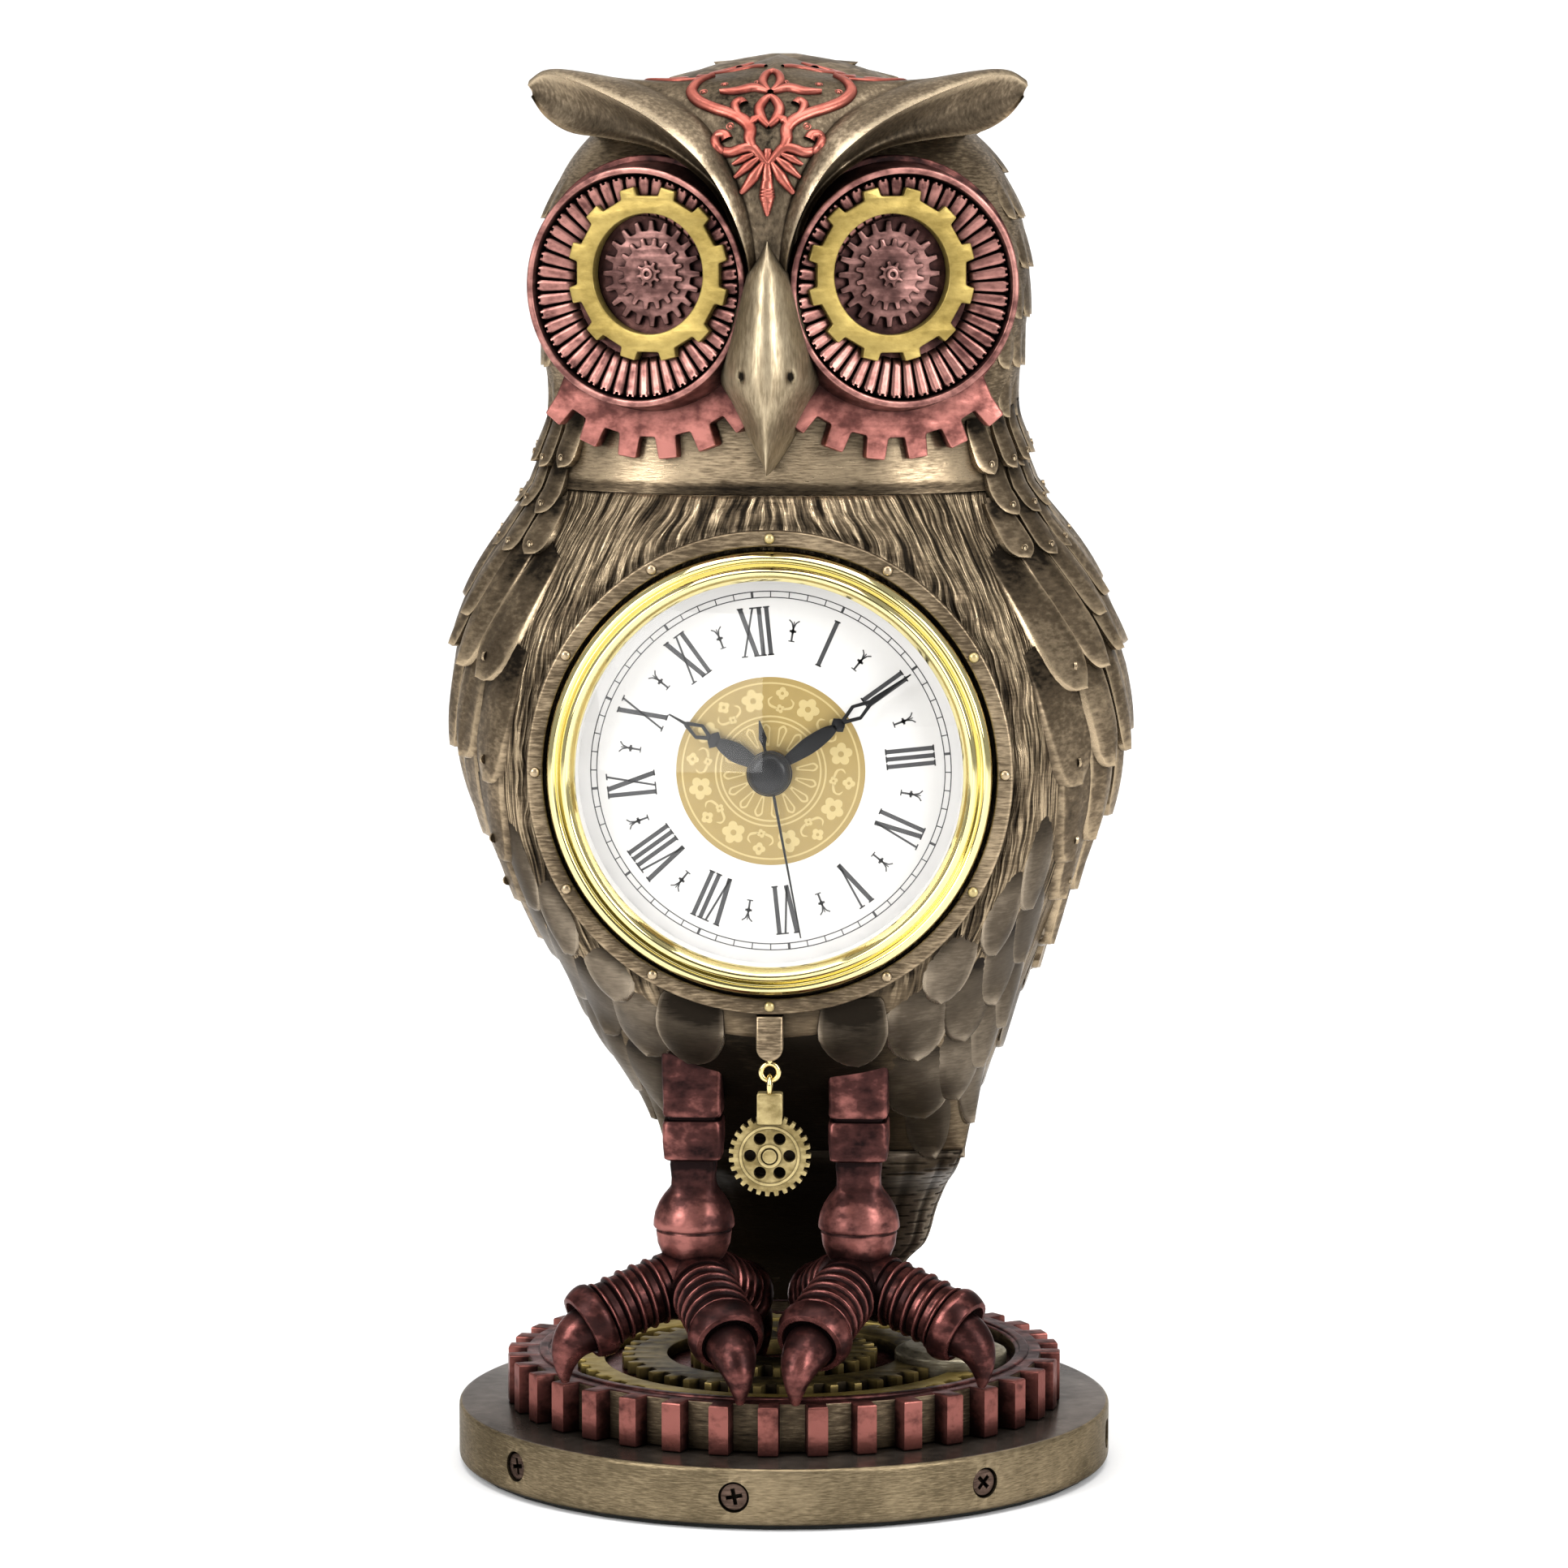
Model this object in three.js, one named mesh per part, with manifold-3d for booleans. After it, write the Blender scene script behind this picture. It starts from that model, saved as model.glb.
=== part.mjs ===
// Owl table clock: a cold-cast bronze figure with a round insert clock in its chest.
// Millimetres, +Z up, front towards -Y, origin under the middle of the base.
import * as THREE from 'three';
import { mergeVertices } from 'three/addons/utils/BufferGeometryUtils.js';
import Module from 'manifold-3d';

const wasm = await Module();
wasm.setup();

// Clearances
const seatGap = 0.05;
const cutGap = 0.3;
const runGap = 0.25;

// Base
const feltThickness = 1;
const feltInset = 2;
const baseRadius = 61.2;
const baseThickness = 10.5;
const baseChamfer = 0.7;
const rimScrewCount = 8;
const rimScrewStart = -5.3;
const screwHeadRadius = 2.6;
const screwHeadHeight = 1.5;
const screwShankRadius = 1.2;
const screwShankLength = 7;
const screwSlotWidth = 0.9;
const screwSlotDepth = 0.7;
const screwSlotShare = 0.7;

// Gear plate on the base
const plateTeeth = 36;
const plateTipRadius = 52;
const plateToothDepth = 3.5;
const plateToothShares = [0.38, 0.5];
const plateThickness = 9.2;
const dishRadius = 43.5;
const dishDepth = 3.2;
const dishGearTip = 38.5;
const dishGearRoot = 35.8;
const dishGearHole = 30;
const dishGearTeeth = 24;
const dishGearThickness = 1.3;

// Feet
const legSpacing = 15.2;
const legForward = 25;
const ankleRise = 18;
const ankleRadius = 7.2;
const toeRadius = 5.9;
const toeCollarRadius = 6.5;
const toeRibs = 5;
const backToeRibs = 2;
const toeRibDepth = 0.9;
const toeArch = 1.9;
const toeDrop = 7.4;
const outerToeReach = [19.8, -9.5];
const innerToeReach = [-8, -21.6];
const backToeReach = [-8, 17];
const clawRadius = 4.3;
const clawTipRadius = 0.7;
const clawOverlap = 1.2;
const clawReach = 6.2;
const outerClawReach = 3.4;
const clawTaper = 1.4;
const toeRibStart = 0.3;
const toeRibSpan = 0.5;
const toeRibRise = 0.05;
const toeCollarStart = 0.8;
const toeCollarRise = 0.04;

// Legs
const legCupHeight = 6;
const legCupRadius = 6.6;
const legDomeHeight = 7;
const legDomeRadius = 7.4;
const legThinWidth = 8;
const legThinHeight = 5.4;
const legMiddleWidth = 10.7;
const legMiddleHeight = 8.1;
const legTopWidth = 11.4;
const legTopHeight = 14.4;
const legJointGap = 0.8;
const legNeckWidth = 7;
const legOverlap = 1;
const legCupChamfer = 1;
const legDomeProfile = [[1, 0], [1, 0.25], [0.85, 0.65]];

// Body
const bodyHalfWidth = 59;
const bodyFront = 45;
const bodyBack = 51;
const bodyHeight = 125.7;
const bodyBelowLegTop = 26;
const bodyRoundness = 2.4;
const bodySway = 4.2;
const bodySwayPower = 1.2;
const wingThickness = 5.4;
const wingEdge = 2;
const wingGap = 0.8;
const wingFront = -40;
const wingBack = 64;
const wingTip = 12;
const wingTipSpread = 9;
const wingTopShare = 0.99;
const wingTipShare = 0.3;
const wingTaper = 2.5;
const wingEdgeSwell = 0.6;
const wingTopSwell = 0.15;
const wingSwellReach = 1.25;
const wingFeathers = 8;
const wingFeatherTips = [0.233, 0.36, 0.567, 0.729, 0.867, 1];
const wingFeatherRise = 2;
const wingFeatherStep = 0.006;
const wingScallop = 0.035;
const chestLevel = 0.85;
const chestBlendGap = 0.9;
const chestBlend = 14.5;
const tailLength = 36;
const tailBands = 6;
const tailBandStep = 0.7;
const tailBandShare = 0.02;

// Head
const headHalfWidth = 45.3;
const headFront = 43;
const headBack = 42;
const headHeight = 78.5;
const headRoundness = 2.5;
const eyeSpacing = 24.1;
const eyeAboveSeam = 37.2;
const eyeYaw = 20;
const eyeProud = 2;
const eyeCupDepth = 7;
const eyeRimWidth = 2;
const eyeRecess = 3;
const eyeRimChamfer = 0.6;
const backGearTip = 31;
const backGearToothDepth = 4;
const backGearTeeth = 6;
const backGearPitch = 15;
const backGearThickness = 2.4;
const backGearTurn = 271;
const backGearShares = [0.2, 0.27];
const goldGearTip = 15.6;
const goldGearToothDepth = 1.6;
const goldGearHole = 10.7;
const goldGearTeeth = 12;
const goldGearThickness = 2.4;
const goldGearShift = 2.4;
const goldGearShares = [0.34, 0.42];
const goldGearTurn = 15;
const copperGearRadii = [9.4, 6.3, 2.2];
const copperGearTeeth = [16, 14, 8];
const copperGearRootShare = 0.84;
const copperGearStep = 1.1;
const beakHalfWidth = 8.7;
const beakLength = 41;
const beakAboveSeam = 5;
const beakReach = 16;
const beakRoot = 8;
const beakRoundness = 1.8;
const browHollow = 3;
const browHollowTurn = [0.35, -0.9, -0.25];
const browTuck = [0.74, -9, -8];
const browRings = 15;

// Insert clock
const clockAboveBody = 76.3;
const bossRise = 0.05;
const bossInset = 0.6;
const ringGap = 0.6;
const ringWidth = 3;
const ringThickness = 2;
const ringChamfer = 0.5;
const ringRivets = 12;
const rivetRadius = 0.8;
const rivetHeight = 0.5;
const rivetRoot = 0.5;
const bezelOverhang = 3.5;
const bezelHeight = 5.8;
const bezelLip = 1;
const bezelSteps = [[0, 0.5], [0.8, 0.85], [2.4, 1]];
const bezelBoreGap = 0.2;
const lensSeatWidth = 1.8;
const lensThickness = 2;
const lensDome = 2.4;
const lensEdgeGap = 0.1;
const lensRimGap = 0.2;
const caseRadius = 36.5;
const caseWall = 1.3;
const caseLedge = 2;
const caseDepth = 26.5;
const caseBackWall = 2;
const pocketGap = 1.1;
const pocketDepth = 31.5;
const gasketWidth = 5;
const gasketFromFront = 4;
const dialThickness = 0.8;
const dialRecess = 5;
const hourAngle = -60.3;
const minuteAngle = 54.7;
const secondAngle = 169.3;
const hourHandLength = 20.9;
const minuteHandLength = 30.9;
const secondHandLength = 30.2;
const secondTailLength = 9.7;
const handThickness = 0.4;
const handStep = 1;
const capRadius = 3.9;
const capHeight = 2.4;
const capProfile = [[1, 0], [0.95, 0.4], [0.7, 0.8], [0.35, 0.97]];
const hourHandHalfWidth = 1.6;
const minuteHandHalfWidth = 1.5;
const hourHubRadius = 3.4;
const minuteHubRadius = 2.6;

// Movement
const plateRadius = 28;
const frontPlateThickness = 1.8;
const backPlateThickness = 1.5;
const trainSpace = 11.7;
const wheelThickness = 0.8;
const pivotRadius = 0.4;
const pillarRadius = 1.6;
const pillarCircle = 25;
const pillarAngles = [45, 135, 315];
const rootOverlap = 0.5;
const pivotGap = 0.2;
const pivotRecess = 0.3;
const pinionOverlap = 0.2;
const wheelAddendum = 0.55;
const wheelDedendum = 0.95;
const stepRise = 0.5;
const secondRise = 2.2;
const thirdRise = 3.9;
const minuteRise = 5.8;
const cannonRise = 8.3;
const hourDrop = 0.4;
const pipeRise = 0.8;
const knobShaftRadius = 0.8;
const knobTeeth = 14;
const knobToothDepth = 0.5;
const knobSocketDepth = 2;
const secondArborRadius = 0.5;
const minutePipeRadius = 1.35;
const hourPipeRadius = 2.35;
const centrePipeRadius = 3.6;
const thirdAngle = -30;
const intermediateAngle = 210;
const motionAngle = 90;
const rotorMagnetRadius = 2.8;
const rotorMagnetHeight = 2.5;
const rotorMagnetRise = 0.6;
const statorRise = 1;
const statorThickness = 1.2;
const statorWidth = 8.4;
const statorTail = 2;
const statorGap = 0.5;
const coilDrop = 13.2;
const coilLength = 16;
const coilRadius = 2.7;
const coilBoreShare = 0.8;
const coilGap = 0.8;
const coreWidth = 1.6;
const coreSpare = 6;
const coreOverlap = 1;
const boardSize = [12, 10];
const boardPlace = [14, 8];
const boardThickness = 1;
const secondTeeth = 36;
const secondPinion = 6;
const thirdTeeth = 45;
const thirdPinion = 6;
const minuteTeeth = 48;
const cannonTeeth = 10;
const motionTeeth = 30;
const motionPinion = 8;
const hourTeeth = 32;
const intermediateTeeth = 30;
const intermediatePinion = 6;
const rotorPinion = 6;
const stepModule = 0.44;
const thirdModule = 0.36;
const motionModule = 0.5;
const knobRadius = 4;
const knobHeight = 3;
const cellRadius = 5.8;
const cellHeight = 5.4;
const cellGap = 0.5;
const cellStep = 0.9;
const cellStepHeight = 0.6;
const cellEdge = 0.4;
const cellPlace = [12, -10];
const doorWidth = 13.6;
const doorThickness = 1.3;
const doorTravel = 13;
const railWidth = 1.6;
const railLip = 1.2;
const railLipThickness = 1;

// Pendulum
const bracketWidth = 4.8;
const bracketHeight = 8.2;
const bracketThickness = 3.2;
const eyeRingRadius = 1.55;
const eyeWireRadius = 0.5;
const eyeShankLength = 3;
const loopRingRadius = 1.8;
const loopWireRadius = 0.45;
const bobTip = 7.4;
const bobToothDepth = 0.8;
const bobTeeth = 27;
const bobThickness = 2;
const bobHoleRadius = 1.1;
const bobHoleCircle = 3.6;
const bobHubRadius = 2.1;
const bobBlockWidth = 4.9;
const bobBlockHeight = 5.2;
const bobBlockDepth = 3;
const bobHubRise = 0.6;
const bobHoleCount = 6;
const bobBlockOverlap = 0.3;
const loopShankLength = 2;
const wireGap = 0.1;

// Finishes: colour, roughness, metalness
const bronze = [0x6f5f45, 0.5, 0.7];
const copper = [0x8a4a44, 0.5, 0.7];
const oldGold = [0xbfa555, 0.45, 0.8];
const brightGold = [0xe8d27a, 0.15, 1];
const brass = [0xc9a84a, 0.3, 0.9];
const steel = [0xb9bcc0, 0.35, 0.9];
const whitePaint = [0xf5f0ee, 0.6, 0];
const blackPaint = [0x0c0c0e, 0.4, 0.1];
const clearGlass = [0xe8eef0, 0.05, 0];
const darkRubber = [0x1a1a1a, 0.9, 0];
const felt = [0x20241f, 1, 0];
const casePlastic = [0x26262a, 0.6, 0];
const wheelPlastic = [0xe6e2d8, 0.5, 0];
const boardGreen = [0x1f6b3a, 0.6, 0];
const magnetWire = [0xb5651d, 0.4, 0.6];

// Basic solids

function tidy(geometry) {
  const copy = geometry.index ? geometry.toNonIndexed() : geometry.clone();
  for (const key of Object.keys(copy.attributes)) {
    if (key !== 'position') copy.deleteAttribute(key);
  }
  const merged = mergeVertices(copy, 1e-4);
  return facingOut(merged);
}

// Signed volume tells which way the faces look; an inside-out body is turned round.
function facingOut(geometry) {
  const p = geometry.attributes.position;
  const kept = [];
  let volume = 0;
  const a = new THREE.Vector3();
  const b = new THREE.Vector3();
  const c = new THREE.Vector3();
  for (let i = 0; i < geometry.index.count; i += 3) {
    const [i0, i1, i2] = [0, 1, 2].map((k) => geometry.index.getX(i + k));
    if (i0 === i1 || i1 === i2 || i0 === i2) continue;
    a.fromBufferAttribute(p, i0);
    b.fromBufferAttribute(p, i1);
    c.fromBufferAttribute(p, i2);
    volume += a.dot(b.cross(c));
    kept.push(i0, i1, i2);
  }
  if (volume < 0) {
    for (let i = 0; i < kept.length; i += 3) {
      [kept[i + 1], kept[i + 2]] = [kept[i + 2], kept[i + 1]];
    }
  }
  geometry.setIndex(kept);
  return geometry;
}

function toSolid(geometry) {
  const closed = tidy(geometry);
  return new wasm.Manifold(new wasm.Mesh({
    numProp: 3,
    vertProperties: new Float32Array(closed.attributes.position.array),
    triVerts: new Uint32Array(closed.index.array),
  }));
}

function toGeometry(solid) {
  const mesh = solid.getMesh();
  const geometry = new THREE.BufferGeometry();
  geometry.setAttribute('position', new THREE.BufferAttribute(new Float32Array(mesh.vertProperties), 3));
  geometry.setIndex(Array.from(mesh.triVerts));
  return geometry;
}

function join(...geometries) {
  return toGeometry(geometries.map(toSolid).reduce((sum, next) => sum.add(next)));
}

function cut(geometry, ...tools) {
  return toGeometry(tools.map(toSolid).reduce((rest, tool) => rest.subtract(tool), toSolid(geometry)));
}

function moved(geometry, x, y, z) {
  return geometry.clone().translate(x, y, z);
}

function mirrored(geometry) {
  return tidy(geometry.clone().scale(-1, 1, 1));
}

function rad(degrees) {
  return THREE.MathUtils.degToRad(degrees);
}

function polar(distance, degrees) {
  return [distance * Math.cos(rad(degrees)), distance * Math.sin(rad(degrees))];
}

// A round bar along +Z from low to high.
function bar(radius, low, high, sides = 16) {
  const geometry = new THREE.CylinderGeometry(radius, radius, high - low, sides);
  return geometry.rotateX(Math.PI / 2).translate(0, 0, (low + high) / 2);
}

function box(width, depth, low, high) {
  return new THREE.BoxGeometry(width, depth, high - low).translate(0, 0, (low + high) / 2);
}

// A turned piece about +Z from (radius, height) points.
function turned(points, segments) {
  const profile = points.map(([r, z]) => new THREE.Vector2(r, z));
  return new THREE.LatheGeometry(profile, segments).rotateX(Math.PI / 2);
}

function slab(shape, low, high) {
  const geometry = new THREE.ExtrudeGeometry(shape, { depth: high - low, bevelEnabled: false });
  return geometry.translate(0, 0, low);
}

function circlePoints(radius, sides, x = 0, y = 0) {
  const step = (2 * Math.PI) / sides;
  return Array.from({ length: sides }, (_, i) => new THREE.Vector2(
    x + radius * Math.cos(i * step),
    y + radius * Math.sin(i * step),
  ));
}

function roundHole(radius, sides, x, y) {
  return new THREE.Path(circlePoints(radius, sides, x, y));
}

// Straight-sided teeth; tipShare and rootShare are parts of the pitch that the tooth takes there.
function toothPoints(teeth, root, tip, tipShare, rootShare, phase = 0) {
  const pitch = (2 * Math.PI) / teeth;
  const points = [];
  for (let i = 0; i < teeth; i += 1) {
    const middle = phase + i * pitch;
    const corners = tipShare > 0
      ? [[root, -rootShare], [tip, -tipShare], [tip, tipShare], [root, rootShare]]
      : [[root, -1], [tip, 0]];
    for (const [radius, share] of corners) {
      const angle = middle + (share * pitch) / 2;
      points.push(new THREE.Vector2(radius * Math.cos(angle), radius * Math.sin(angle)));
    }
  }
  return points;
}

// A closed skin over rings of points, with a flat fan on each end.
function skin(rings) {
  const sides = rings[0].length;
  const positions = [];
  const index = [];
  for (const ring of rings) {
    for (const point of ring) positions.push(point.x, point.y, point.z);
  }
  for (let r = 0; r + 1 < rings.length; r += 1) {
    for (let s = 0; s < sides; s += 1) {
      const a = r * sides + s;
      const b = r * sides + ((s + 1) % sides);
      index.push(a, b, b + sides, a, b + sides, a + sides);
    }
  }
  for (const [r, flip] of [[0, true], [rings.length - 1, false]]) {
    const middle = rings[r].reduce((sum, p) => sum.add(p), new THREE.Vector3()).divideScalar(sides);
    const hub = positions.length / 3;
    positions.push(middle.x, middle.y, middle.z);
    for (let s = 0; s < sides; s += 1) {
      const a = r * sides + s;
      const b = r * sides + ((s + 1) % sides);
      index.push(...(flip ? [hub, b, a] : [hub, a, b]));
    }
  }
  const geometry = new THREE.BufferGeometry();
  geometry.setAttribute('position', new THREE.Float32BufferAttribute(positions, 3));
  geometry.setIndex(index);
  return tidy(geometry);
}

// A curved plate between an inner and an outer grid of points, closed round its edge.
function shell(inner, outer) {
  const [rows, columns] = [inner.length, inner[0].length];
  const triangles = [];
  const quad = (a, b, c, d) => triangles.push(a, b, c, a, c, d);
  for (let r = 0; r + 1 < rows; r += 1) {
    for (let c = 0; c + 1 < columns; c += 1) {
      quad(outer[r][c], outer[r][c + 1], outer[r + 1][c + 1], outer[r + 1][c]);
      quad(inner[r][c], inner[r + 1][c], inner[r + 1][c + 1], inner[r][c + 1]);
    }
    quad(inner[r][0], outer[r][0], outer[r + 1][0], inner[r + 1][0]);
    const end = columns - 1;
    quad(outer[r][end], inner[r][end], inner[r + 1][end], outer[r + 1][end]);
  }
  for (let c = 0; c + 1 < columns; c += 1) {
    quad(inner[0][c], inner[0][c + 1], outer[0][c + 1], outer[0][c]);
    quad(outer[rows - 1][c], outer[rows - 1][c + 1], inner[rows - 1][c + 1], inner[rows - 1][c]);
  }
  return tidy(new THREE.BufferGeometry().setFromPoints(triangles));
}

// Smooth value between rows of [station, values...], by cubic steps through the rows.
function alongRows(rows, station, column) {
  const last = rows.length - 1;
  let i = 0;
  while (i < last - 1 && station > rows[i + 1][0]) i += 1;
  const slope = (k) => {
    const before = rows[Math.max(k - 1, 0)];
    const after = rows[Math.min(k + 1, last)];
    return (after[column] - before[column]) / (after[0] - before[0]);
  };
  const span = rows[i + 1][0] - rows[i][0];
  const t = (station - rows[i][0]) / span;
  const [t2, t3] = [t * t, t * t * t];
  return (2 * t3 - 3 * t2 + 1) * rows[i][column] + (t3 - 2 * t2 + t) * span * slope(i)
    + (3 * t2 - 2 * t3) * rows[i + 1][column] + (t3 - t2) * span * slope(i + 1);
}

// A point on a blunt oval with its own front and back depth.
function ovalPoint(angle, halfWidth, front, back, roundness, z) {
  const power = 2 / roundness;
  const c = Math.cos(angle);
  const s = Math.sin(angle);
  const depth = s < 0 ? front : back;
  return new THREE.Vector3(
    halfWidth * Math.sign(c) * Math.abs(c) ** power,
    depth * Math.sign(s) * Math.abs(s) ** power,
    z,
  );
}

function ovalRing(sides, halfWidth, front, back, roundness, z) {
  const step = (2 * Math.PI) / sides;
  return Array.from({ length: sides }, (_, i) => ovalPoint(
    i * step, halfWidth, front, back, roundness, z,
  ));
}

// A tapering round limb along a curve, with a radius for each station.
function limb(curve, radii, sides) {
  const rings = radii.map(([t, radius]) => {
    const centre = curve.getPoint(t);
    const forward = curve.getTangent(t);
    const across = new THREE.Vector3().crossVectors(forward, new THREE.Vector3(0, 0, 1)).normalize();
    const over = new THREE.Vector3().crossVectors(across, forward).normalize();
    return Array.from({ length: sides }, (_, i) => {
      const angle = (2 * Math.PI * i) / sides;
      return centre.clone()
        .addScaledVector(across, radius * Math.cos(angle))
        .addScaledVector(over, radius * Math.sin(angle));
    });
  });
  return skin(rings);
}

const clock = new THREE.Group();

function addPiece(parent, name, geometry, [colour, roughness, metalness]) {
  const material = new THREE.MeshStandardMaterial({ color: colour, roughness, metalness });
  const mesh = new THREE.Mesh(tidy(geometry), material);
  mesh.name = name;
  parent.add(mesh);
  return mesh;
}

// Heights that the stack gives
const baseTop = feltThickness + baseThickness;
const plateTop = baseTop + plateThickness;
const dishFloor = plateTop - dishDepth;
const ankleZ = plateTop + ankleRise;
const legFoot = ankleZ + ankleRadius / 2;
const domeFoot = legFoot + legCupHeight;
const thinFoot = domeFoot + legDomeHeight;
const middleFoot = thinFoot + legThinHeight + legJointGap;
const topFoot = middleFoot + legMiddleHeight + legJointGap;
const legTop = topFoot + legTopHeight;
const bodyBottom = legTop - bodyBelowLegTop;
const seam = bodyBottom + bodyHeight;
const clockZ = bodyBottom + clockAboveBody;
const bossFront = bodyFront + bossRise;
const bezelRadius = caseRadius + bezelOverhang;
const lensVisibleRadius = caseRadius - lensSeatWidth;
const pocketRadius = caseRadius + pocketGap;
const ringOuterRadius = bezelRadius + ringGap + ringWidth;
const bossRadius = ringOuterRadius - bossInset;
const eyeCupRadius = goldGearTip + goldGearShift * Math.SQRT2 + cutGap + eyeRimWidth;

// Base with its felt and rim screws

function screwFrame(index) {
  const frame = new THREE.Group();
  frame.position.set(0, 0, feltThickness + baseThickness / 2);
  frame.rotation.set(Math.PI / 2, 0, rad(rimScrewStart + (360 / rimScrewCount) * index), 'ZYX');
  frame.updateMatrix();
  return frame;
}

const screwSeat = baseRadius - screwHeadHeight - 2 * cutGap;

function screwHole() {
  return join(
    bar(screwHeadRadius + cutGap, screwSeat, baseRadius + screwHeadHeight, 8),
    bar(screwShankRadius + cutGap, screwSeat - screwShankLength - cutGap, baseRadius, 6),
  );
}

function rimScrew() {
  const seat = screwSeat + cutGap;
  const face = seat + screwHeadHeight;
  const body = join(
    bar(screwHeadRadius, seat, face, 8),
    bar(screwShankRadius, screwSeat - screwShankLength + cutGap, face - screwSlotDepth, 6),
  );
  const slotLength = 2 * screwHeadRadius * screwSlotShare;
  const slot = box(slotLength, screwSlotWidth, face - screwSlotDepth, face + screwSlotDepth);
  return cut(body, slot, slot.clone().rotateZ(Math.PI / 2));
}

function baseDisc() {
  const [low, high] = [feltThickness, baseTop];
  const rim = turned([
    [0, low], [baseRadius - baseChamfer, low], [baseRadius, low + baseChamfer],
    [baseRadius, high - baseChamfer], [baseRadius - baseChamfer, high], [0, high],
  ], 40);
  const holes = Array.from({ length: rimScrewCount }, (_, i) => (
    screwHole().applyMatrix4(screwFrame(i).matrix)
  ));
  return cut(rim, ...holes);
}

addPiece(clock, 'base_felt_pad', bar(baseRadius - feltInset, 0, feltThickness, 36), felt);
addPiece(clock, 'base_disc', baseDisc(), bronze);
for (let i = 0; i < rimScrewCount; i += 1) {
  const frame = screwFrame(i);
  clock.add(frame);
  addPiece(frame, `rim_screw_${i + 1}`, rimScrew(), bronze);
}

// Gear plate with its dish

function basePlate() {
  const root = plateTipRadius - plateToothDepth;
  const outline = toothPoints(plateTeeth, root, plateTipRadius, ...plateToothShares);
  const blank = slab(new THREE.Shape(outline), baseTop, plateTop);
  return cut(blank, bar(dishRadius, dishFloor, plateTop + dishDepth, 36));
}

function dishGear() {
  const shape = new THREE.Shape(toothPoints(dishGearTeeth, dishGearRoot, dishGearTip, 0, 1));
  shape.holes.push(roundHole(dishGearHole, 24, 0, 0));
  return slab(shape, dishFloor + seatGap, dishFloor + seatGap + dishGearThickness);
}

addPiece(clock, 'base_gear', basePlate(), copper);
addPiece(clock, 'base_gold_gear', dishGear(), oldGold);

// Feet: an ankle, three ribbed toes and their claws, with the claw tips on the gear plate

function toe(reach, hook, floor, ribs) {
  const start = new THREE.Vector3(0, 0, ankleZ);
  const end = new THREE.Vector3(reach[0], reach[1], ankleZ - toeDrop);
  const crest = start.clone().lerp(end, 0.5).add(new THREE.Vector3(0, 0, toeArch));
  const path = new THREE.QuadraticBezierCurve3(start, crest, end);
  const radii = [[0, toeRadius - toeRibDepth]];
  for (let i = 0; i < ribs; i += 1) {
    const t = toeRibStart + (toeRibSpan * i) / ribs;
    radii.push([t, toeRadius - toeRibDepth], [t + toeRibRise, toeRadius]);
  }
  radii.push([toeCollarStart, toeRadius - toeRibDepth]);
  radii.push([toeCollarStart + toeCollarRise, toeCollarRadius], [1, toeCollarRadius]);
  const outward = new THREE.Vector3(reach[0], reach[1], 0).normalize();
  const tip = end.clone().addScaledVector(outward, hook);
  tip.z = floor;
  const bend = end.clone().addScaledVector(outward, hook);
  bend.z = (end.z + tip.z) / 2 + toeDrop / 3;
  const root = end.clone().addScaledVector(outward, -clawOverlap);
  const claw = new THREE.QuadraticBezierCurve3(root, bend, tip);
  const clawRadii = [0, 0.35, 0.7, 1].map((t) => (
    [t, THREE.MathUtils.lerp(clawRadius, clawTipRadius, t ** clawTaper)]
  ));
  const ground = box(2 * baseRadius, 2 * baseRadius, floor - ankleRise, floor + seatGap);
  return cut(join(limb(path, radii, 7), limb(claw, clawRadii, 6)), ground);
}

function foot() {
  const ankle = new THREE.SphereGeometry(ankleRadius, 10, 6).translate(0, 0, ankleZ);
  const seat = bar(legCupRadius + legDomeRadius, legFoot - seatGap, ankleZ + 2 * ankleRadius, 12);
  return cut(
    join(
      ankle,
      toe(outerToeReach, outerClawReach, plateTop, toeRibs),
      toe(innerToeReach, clawReach, plateTop, toeRibs),
      toe(backToeReach, clawReach, dishFloor, backToeRibs),
    ),
    seat,
  );
}

const footGeometry = foot();
addPiece(clock, 'right_foot', moved(footGeometry, legSpacing, -legForward, 0), copper);
addPiece(clock, 'left_foot', moved(mirrored(footGeometry), -legSpacing, -legForward, 0), copper);

// Legs

function leg() {
  const dome = turned([
    [0, legFoot],
    [legCupRadius - legCupChamfer, legFoot],
    [legCupRadius, legFoot + legCupChamfer],
    [legCupRadius, domeFoot],
    ...legDomeProfile.map(([radius, rise]) => [legDomeRadius * radius, domeFoot + legDomeHeight * rise]),
    [legNeckWidth / 2, thinFoot],
    [0, thinFoot],
  ], 12);
  return join(
    dome,
    box(legNeckWidth, legNeckWidth, domeFoot, legTop - legOverlap),
    box(legThinWidth, legThinWidth, thinFoot - legOverlap, thinFoot + legThinHeight),
    box(legMiddleWidth, legMiddleWidth, middleFoot, middleFoot + legMiddleHeight),
    box(legTopWidth, legTopWidth, topFoot, legTop),
  );
}

const legGeometry = leg();
addPiece(clock, 'right_leg', moved(legGeometry, legSpacing, -legForward, 0), copper);
addPiece(clock, 'left_leg', moved(legGeometry, -legSpacing, -legForward, 0), copper);

// Body: rows of height share, then width, front and back as shares of the body's sizes

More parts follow.
